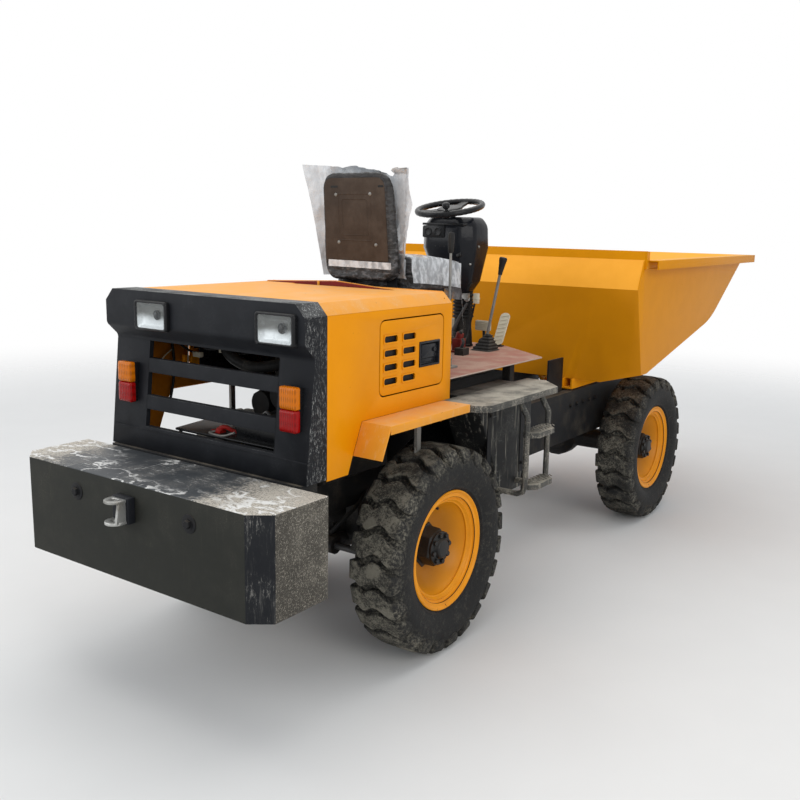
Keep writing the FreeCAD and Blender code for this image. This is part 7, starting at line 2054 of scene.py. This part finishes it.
@dataclass
class EngineBay:
    """Engine, gearbox, battery and what shows of them through the grille."""

    def build(self, bench: Bench) -> None:
        """Build the power train's pieces."""
        bench.take(bench.copy("engine", "engine.block", 0.006, 3), "chassis", Finish.CAST, ["engine"])
        bench.take(bench.copy("gearbox", "gearbox", 0.006, 3), "chassis", Finish.CAST, ["gearbox"])
        battery = bench.copy("battery", "battery.case", 0.005, 3)
        bench.take(battery, "chassis", Finish.PLASTIC, ["battery"])
        bench.take(self._battery_top(), "chassis", Finish.GREY_GREASE)
        tray = Form().prism(
            [(-0.215, -1.655, 0.856), (0.405, -1.655, 0.856), (0.405, -1.350, 0.856), (-0.215, -1.350, 0.856), (-0.245, -1.470, 0.856)],
            Vector((0, 0, 0.009)),
        )
        tray.box((0.08, -1.640, 0.865), (0.39, -1.42, 0.935)).box((-0.20, -1.652, 0.80), (-0.19, -1.640, 0.858))
        bench.take(bevel(tray.object("battery.tray"), 0.003, 2), "chassis", Finish.PLASTIC)
        caps = Form()
        caps.lathe([(0, 0), (0, 0.015), (0.016, 0.014), (0.020, 0.010), (0.020, 0)], 20, (-0.034, -1.605, 0.864), Vector((0, 0, 1)))
        caps.tube(smooth_path([(-0.034, -1.605, 0.882), (-0.010, -1.600, 0.886), (0.020, -1.585, 0.872), (0.045, -1.570, 0.870)], 6), 0.008, 10)
        caps.box((-0.062, -1.622, 0.864), (-0.020, -1.590, 0.874))
        bench.take(caps.object("battery.cap", 50), "chassis", Finish.RED_CAP)
        lead = Form().tube(smooth_path([(-0.034, -1.605, 0.872), (-0.052, -1.640, 0.868), (0.020, -1.648, 0.867), (0.075, -1.640, 0.885)], 8), 0.0045, 8)
        bench.take(lead.object("battery.lead", 50), "chassis", Finish.BARE_STEEL)
        # A dark sheet across the bay in the shaded paint: painted shade that closes the view through the bay.
        wall = Form().box((-0.462, -0.931, 0.862), (0.462, -0.928, 1.335))
        bench.take(wall.object("bay.painted_shade_wall"), "chassis", Finish.SHADED_PAINT)
        shield = Form().prism(
            [(-0.302, -1.455, 1.170), (-0.302, -0.965, 1.130), (-0.302, -0.965, 0.935), (-0.302, -1.240, 0.974), (-0.302, -1.455, 1.022)],
            Vector((0.004, 0, 0)),
        )
        shield.box((0.100, -0.592, 0.565), (0.345, -0.588, 0.815))
        bench.take(bevel(shield.object("engine.shield"), 0.001, 1), "chassis", Finish.PLASTIC)
        bench.take(self._front(), "chassis", Finish.CAST)
        bench.take(self._cleaner(), "chassis", Finish.PLASTIC)
        bench.take(self._hoses(), "chassis", Finish.SOFT_PLASTIC)
        bench.take(self._plugs(), "chassis", Finish.CREAM)

    def _battery_top(self) -> bpy.types.Object:
        """Clamp bar, posts and cable lugs."""
        form = Form()
        form.box((0.100, -1.545, 0.9345), (0.370, -1.525, 0.941))
        for x in (0.135, 0.295):
            form.lathe([(0, 0), (0, 0.009), (0.018, 0.008), (0.018, 0)], 16, (x, -1.590, 0.934), Vector((0, 0, 1)))
        form.tube(smooth_path([(0.295, -1.590, 0.949), (0.270, -1.610, 0.962), (0.215, -1.600, 0.950), (0.150, -1.560, 0.955), (0.060, -1.500, 0.90), (0.020, -1.40, 0.86)], 8), 0.0065, 10)
        return form.object("battery.cables", 45)

    def _front(self) -> bpy.types.Object:
        """Engine end cover, pulleys, belt, rocker cover with its bolts, manifold and a row of upright ribs."""
        back = Vector((0, -1, 0))
        form = Form()
        form.lathe([(0, 0), (0, 0.085), (0.014, 0.085), (0.018, 0.078), (0.026, 0.078), (0.030, 0.085), (0.036, 0.085), (0.036, 0)], 40, (0.030, -1.330, 0.745), back)
        form.lathe([(0, 0), (0, 0.046), (0.036, 0.046), (0.036, 0)], 32, (-0.070, -1.330, 0.930), back)
        form.lathe([(0, 0), (0, 0.052), (0.036, 0.052), (0.036, 0)], 32, (0.030, -1.330, 0.970), back)
        belt = [(0.118, 0.745), (0.030 + 0.055, 0.975), (0.030, 1.024), (-0.025, 1.005), (-0.112, 0.955), (-0.116, 0.915), (-0.058, 0.745), (0.030, 0.656)]
        form.tube([(x, -1.352, z) for x, z in belt], 0.0065, 8, loop=True)
        form.box((-0.045, -1.300, 1.120), (0.105, -0.95, 1.158))
        for y in (-1.25, -1.12, -1.0):
            form.lathe([(0, 0), (0, 0.012), (0.012, 0.012), (0.014, 0.008), (0.014, 0)], 16, (0.030, y, 1.157), Vector((0, 0, 1)))
        form.tube(smooth_path([(0.135, -1.30, 1.080), (0.180, -1.26, 1.085), (0.185, -1.12, 1.080), (0.180, -0.98, 1.075)], 6), 0.026, 16)
        for y in (-1.26, -1.15, -1.04):
            form.tube([(0.10, y, 1.075), (0.182, y, 1.080)], 0.018, 14)
        for number in range(8):
            form.box((-0.094, -1.290 + number * 0.045, 0.70), (-0.088, -1.278 + number * 0.045, 0.98))
        return bevel(form.object("engine.fittings"), 0.0012, 1)

    def _cleaner(self) -> bpy.types.Object:
        """Air cleaner canister and its hose on the right of the bay."""
        form = Form()
        form.lathe([(0, 0), (0, 0.074), (0.012, 0.080), (0.030, 0.080), (0.036, 0.075), (0.230, 0.075), (0.236, 0.080), (0.250, 0.080), (0.262, 0.070), (0.262, 0)], 44, (0.345, -1.560, 1.190), Vector((0, 1, 0)))
        form.tube(smooth_path([(0.345, -1.31, 1.190), (0.330, -1.26, 1.195), (0.25, -1.20, 1.190), (0.160, -1.18, 1.150)], 8), 0.028, 16)
        return form.object("engine.cleaner", 40)

    def _hoses(self) -> bpy.types.Object:
        """Water hoses, fuel pipes and the wiring along the left wall."""
        form = Form()
        lines = (
            ([(-0.20, -1.44, 1.19), (-0.12, -1.47, 1.12), (-0.02, -1.46, 1.085), (0.08, -1.42, 1.10), (0.16, -1.34, 1.14)], 0.021),
            ([(-0.33, -1.45, 1.16), (-0.24, -1.47, 1.135), (-0.12, -1.46, 1.15), (0.0, -1.44, 1.16)], 0.008),
            ([(-0.44, -1.50, 1.28), (-0.438, -1.47, 1.16), (-0.44, -1.46, 1.02), (-0.43, -1.50, 0.88)], 0.0055),
            ([(-0.44, -1.50, 1.20), (-0.40, -1.44, 1.12), (-0.36, -1.35, 1.08), (-0.2, -1.28, 1.10)], 0.0045),
            ([(0.38, -1.60, 1.24), (0.40, -1.55, 1.10), (0.36, -1.50, 0.98), (0.26, -1.52, 0.945)], 0.0060),
            ([(0.20, -1.40, 0.70), (0.30, -1.50, 0.73), (0.39, -1.52, 0.80), (0.42, -1.45, 0.92), (0.40, -1.36, 1.02)], 0.012),
        )
        for path, radius in lines:
            form.tube(smooth_path(path, 10), radius, 12)
        return form.object("engine.hoses", 60)

    def _plugs(self) -> bpy.types.Object:
        """Pale connectors on the wiring."""
        form = Form()
        for x, z, half in ((-0.306, 1.103, 0.020), (-0.165, 1.132, 0.018)):
            form.box((x - half, -1.466, z - 0.010), (x + half, -1.446, z + 0.010))
        plugs = bevel(form.object("plugs"), 0.002, 2)
        wires = Form()
        wires.tube([(-0.421, -1.40, 1.20), (-0.424, -1.40, 1.12), (-0.427, -1.40, 1.02)], 0.0028, 8)
        wires.tube([(-0.440, -1.530, 1.070), (-0.440, -1.495, 1.095), (-0.440, -1.470, 1.110)], 0.0028, 8)
        return join("engine.plugs", [plugs, wires.object("wires", 60)])


@dataclass
class RunningGear:
    """Axles, knuckles, shafts, steering rod and the tipping ram."""

    def build(self, bench: Bench) -> None:
        """Build the running gear's pieces."""
        for node, body in (
            ("rear_axle", "chassis"), ("front_axle", "chassis"), ("driveshafts", "chassis"),
            ("knuckle_left", "knuckle_left"), ("knuckle_right", "knuckle_right"),
        ):
            bench.take(bench.copy(node, node.replace("_", "."), 0.003, 2), body, Finish.CAST, [node])
        bench.take(bench.copy("steering_rod", "steering.rod", 0.0012, 2), "steering_rod", Finish.GREY_GREASE, ["steering_rod"])
        bench.take(bench.copy("ram_barrel", "ram.barrel", 0.002, 2), "ram_barrel", Finish.PAINT, ["ram_barrel"])
        bench.take(bench.copy("ram_rod", "ram.rod", 0.001, 2), "ram_rod", Finish.CHROME, ["ram_rod"])
        self._fixings(bench)

    def _fixings(self, bench: Bench) -> None:
        """Cover bolts round both differentials and the hoses to the cylinders."""
        material = Finish.CAST.material()
        rings = []
        for y, out in ((REAR_AXLE, -1.0), (FRONT_AXLE, 1.0)):
            bolt = Form().bolt((0, out * 0.0945, 0.094), Vector((0, out, 0)), 0.014, 0.007).object("bolt")
            ring = Repeat(10, turn=(0, math.tau / 10, 0)).of(bolt, material)
            rings.append(moved(ring, (0, y, AXLE_HEIGHT)))
        bench.take(join("axle.bolts", rings), "chassis")
        form = Form()
        for side in SIDES.values():
            form.tube(smooth_path([(side * 0.13, -1.19, 0.415), (side * 0.17, -1.16, 0.47), (side * 0.19, -1.08, 0.53), (side * 0.16, -0.98, 0.60)], 8), 0.0085, 10)
        form.tube(smooth_path([(0.03, 0.60, 0.622), (0.10, 0.58, 0.66), (0.16, 0.50, 0.68), (0.20, 0.42, 0.66)], 8), 0.009, 10)
        bench.take(form.object("cylinder.hoses", 60), "chassis", Finish.SOFT_PLASTIC)


@dataclass
class Studio:
    """Pale floor, soft lights, white surroundings and the camera at the photograph's angle."""

    place: Point = (2.331, -3.834, 1.603)
    right: Point = (0.81285, 0.58218, 0.01829)
    up: Point = (-0.12396, 0.14222, 0.98205)
    ahead: Point = (-0.56913, 0.80053, -0.18777)
    lens: float = 41.40
    floor_colour: Colour = (0.74, 0.73, 0.71)

    def build(self) -> None:
        """Set the camera, the floor, the lamps and the world."""
        camera = bpy.data.cameras.new("camera")
        camera.lens = self.lens
        camera.sensor_width = 36.0
        camera.clip_end = 200.0
        holder = bpy.data.objects.new("camera", camera)
        bpy.context.scene.collection.objects.link(holder)
        turn = Matrix((self.right, self.up, tuple(-c for c in self.ahead))).transposed()
        holder.matrix_world = Matrix.Translation(Vector(self.place)) @ turn.to_4x4()
        bpy.context.scene.camera = holder
        self._floor()
        self._lamp("sky", (-0.8, 0.2, 6.5), (0, 0, 0.6), 8.0, 300.0, (1.0, 0.985, 0.96))
        self._lamp("right", (6.0, -3.6, 3.4), (0.2, -0.2, 0.8), 4.0, 150.0, (1.0, 0.98, 0.95))
        self._lamp("rear", (-3.4, -6.2, 3.2), (0, -0.4, 0.9), 4.0, 110.0, (0.96, 0.98, 1.0))
        self._world()
        bpy.context.scene.view_settings.view_transform = "Standard"

    def _lamp(self, name: str, place: Point, target: Point, size: float, power: float, colour: Colour) -> None:
        """One square soft lamp that looks at a point."""
        data = bpy.data.lights.new(name, "AREA")
        data.size = size
        data.energy = power
        data.color = colour
        item = bpy.data.objects.new(name, data)
        bpy.context.scene.collection.objects.link(item)
        item.location = place
        item.rotation_euler = (Vector(target) - Vector(place)).to_track_quat("-Z", "Y").to_euler()

    def _floor(self) -> None:
        """Pale floor that fades away far out."""
        half = 30.0
        steps = [i / 6 for i in range(7)]
        floor = Form().sheet(steps, steps, lambda u, v: Vector(((u - 0.5) * 2 * half, (v - 0.5) * 2 * half, 0.0))).object("floor")
        shader = Shader("pale floor")
        x, y, _ = shader.parts(shader.place)
        far = ((x * x + y * y) ** 0.5).ramp(3.2, 9.0)
        grain = shader.noise(3.0, 5.0)
        colour = shader.blend(grain.ramp(0.3, 0.7) * 0.4, self.floor_colour, tuple(c * 0.96 for c in self.floor_colour))
        shader.feed(Base_Color=colour, Roughness=0.85, Specular_IOR_Level=0.2)
        mix = shader.add("MixShader")
        gone = shader.add("BsdfTransparent", None, {"Color": (1.0, 1.0, 1.0)})
        links = shader.tree.links
        links.new(far.socket, mix.inputs[0])
        links.new(shader.surface.outputs[0], mix.inputs[1])
        links.new(gone.outputs[0], mix.inputs[2])
        links.new(mix.outputs[0], shader.output.inputs["Surface"])
        floor.data.materials.append(shader.material)

    def _world(self) -> None:
        """Soft grey light all round, seen white by the camera and in reflections."""
        world = bpy.data.worlds.new("surroundings")
        bpy.context.scene.world = world
        world.use_nodes = True
        tree = world.node_tree
        tree.nodes.clear()
        output = tree.nodes.new("ShaderNodeOutputWorld")
        light = tree.nodes.new("ShaderNodeBackground")
        seen = tree.nodes.new("ShaderNodeBackground")
        mix = tree.nodes.new("ShaderNodeMixShader")
        path = tree.nodes.new("ShaderNodeLightPath")
        first = tree.nodes.new("ShaderNodeMath")
        second = tree.nodes.new("ShaderNodeMath")
        first.operation = second.operation = "MAXIMUM"
        light.inputs["Color"].default_value = (0.86, 0.92, 1.0, 1.0)
        light.inputs["Strength"].default_value = 0.62
        seen.inputs["Color"].default_value = (1.0, 1.0, 1.0, 1.0)
        seen.inputs["Strength"].default_value = 1.0
        tree.links.new(path.outputs["Is Camera Ray"], first.inputs[0])
        tree.links.new(path.outputs["Is Glossy Ray"], first.inputs[1])
        tree.links.new(first.outputs[0], second.inputs[0])
        tree.links.new(path.outputs["Is Transmission Ray"], second.inputs[1])
        tree.links.new(second.outputs[0], mix.inputs[0])
        tree.links.new(light.outputs[0], mix.inputs[1])
        tree.links.new(seen.outputs[0], mix.inputs[2])
        tree.links.new(mix.outputs[0], output.inputs["Surface"])


def corners(bounds: Any) -> list[list[float]]:
    """A box as plain lists."""
    return [[float(c) for c in corner] for corner in bounds]


def main() -> None:
    """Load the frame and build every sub-assembly in order."""
    logging.basicConfig(level=logging.INFO, format="%(message)s")
    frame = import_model()
    bench = Bench(frame)
    Studio().build()
    for end in ("front", "rear"):
        for side in SIDES:
            Wheel(end, side).build(bench)
    for assembly in (
        Skip(), Bonnet(), RearPanel(), Counterweight(), Platform(), Seat(), Controls(), EngineBay(), RunningGear(),
    ):
        assembly.build(bench)
    LOG.info("%d pieces", bench.taken)


if __name__ == "__main__":
    main()
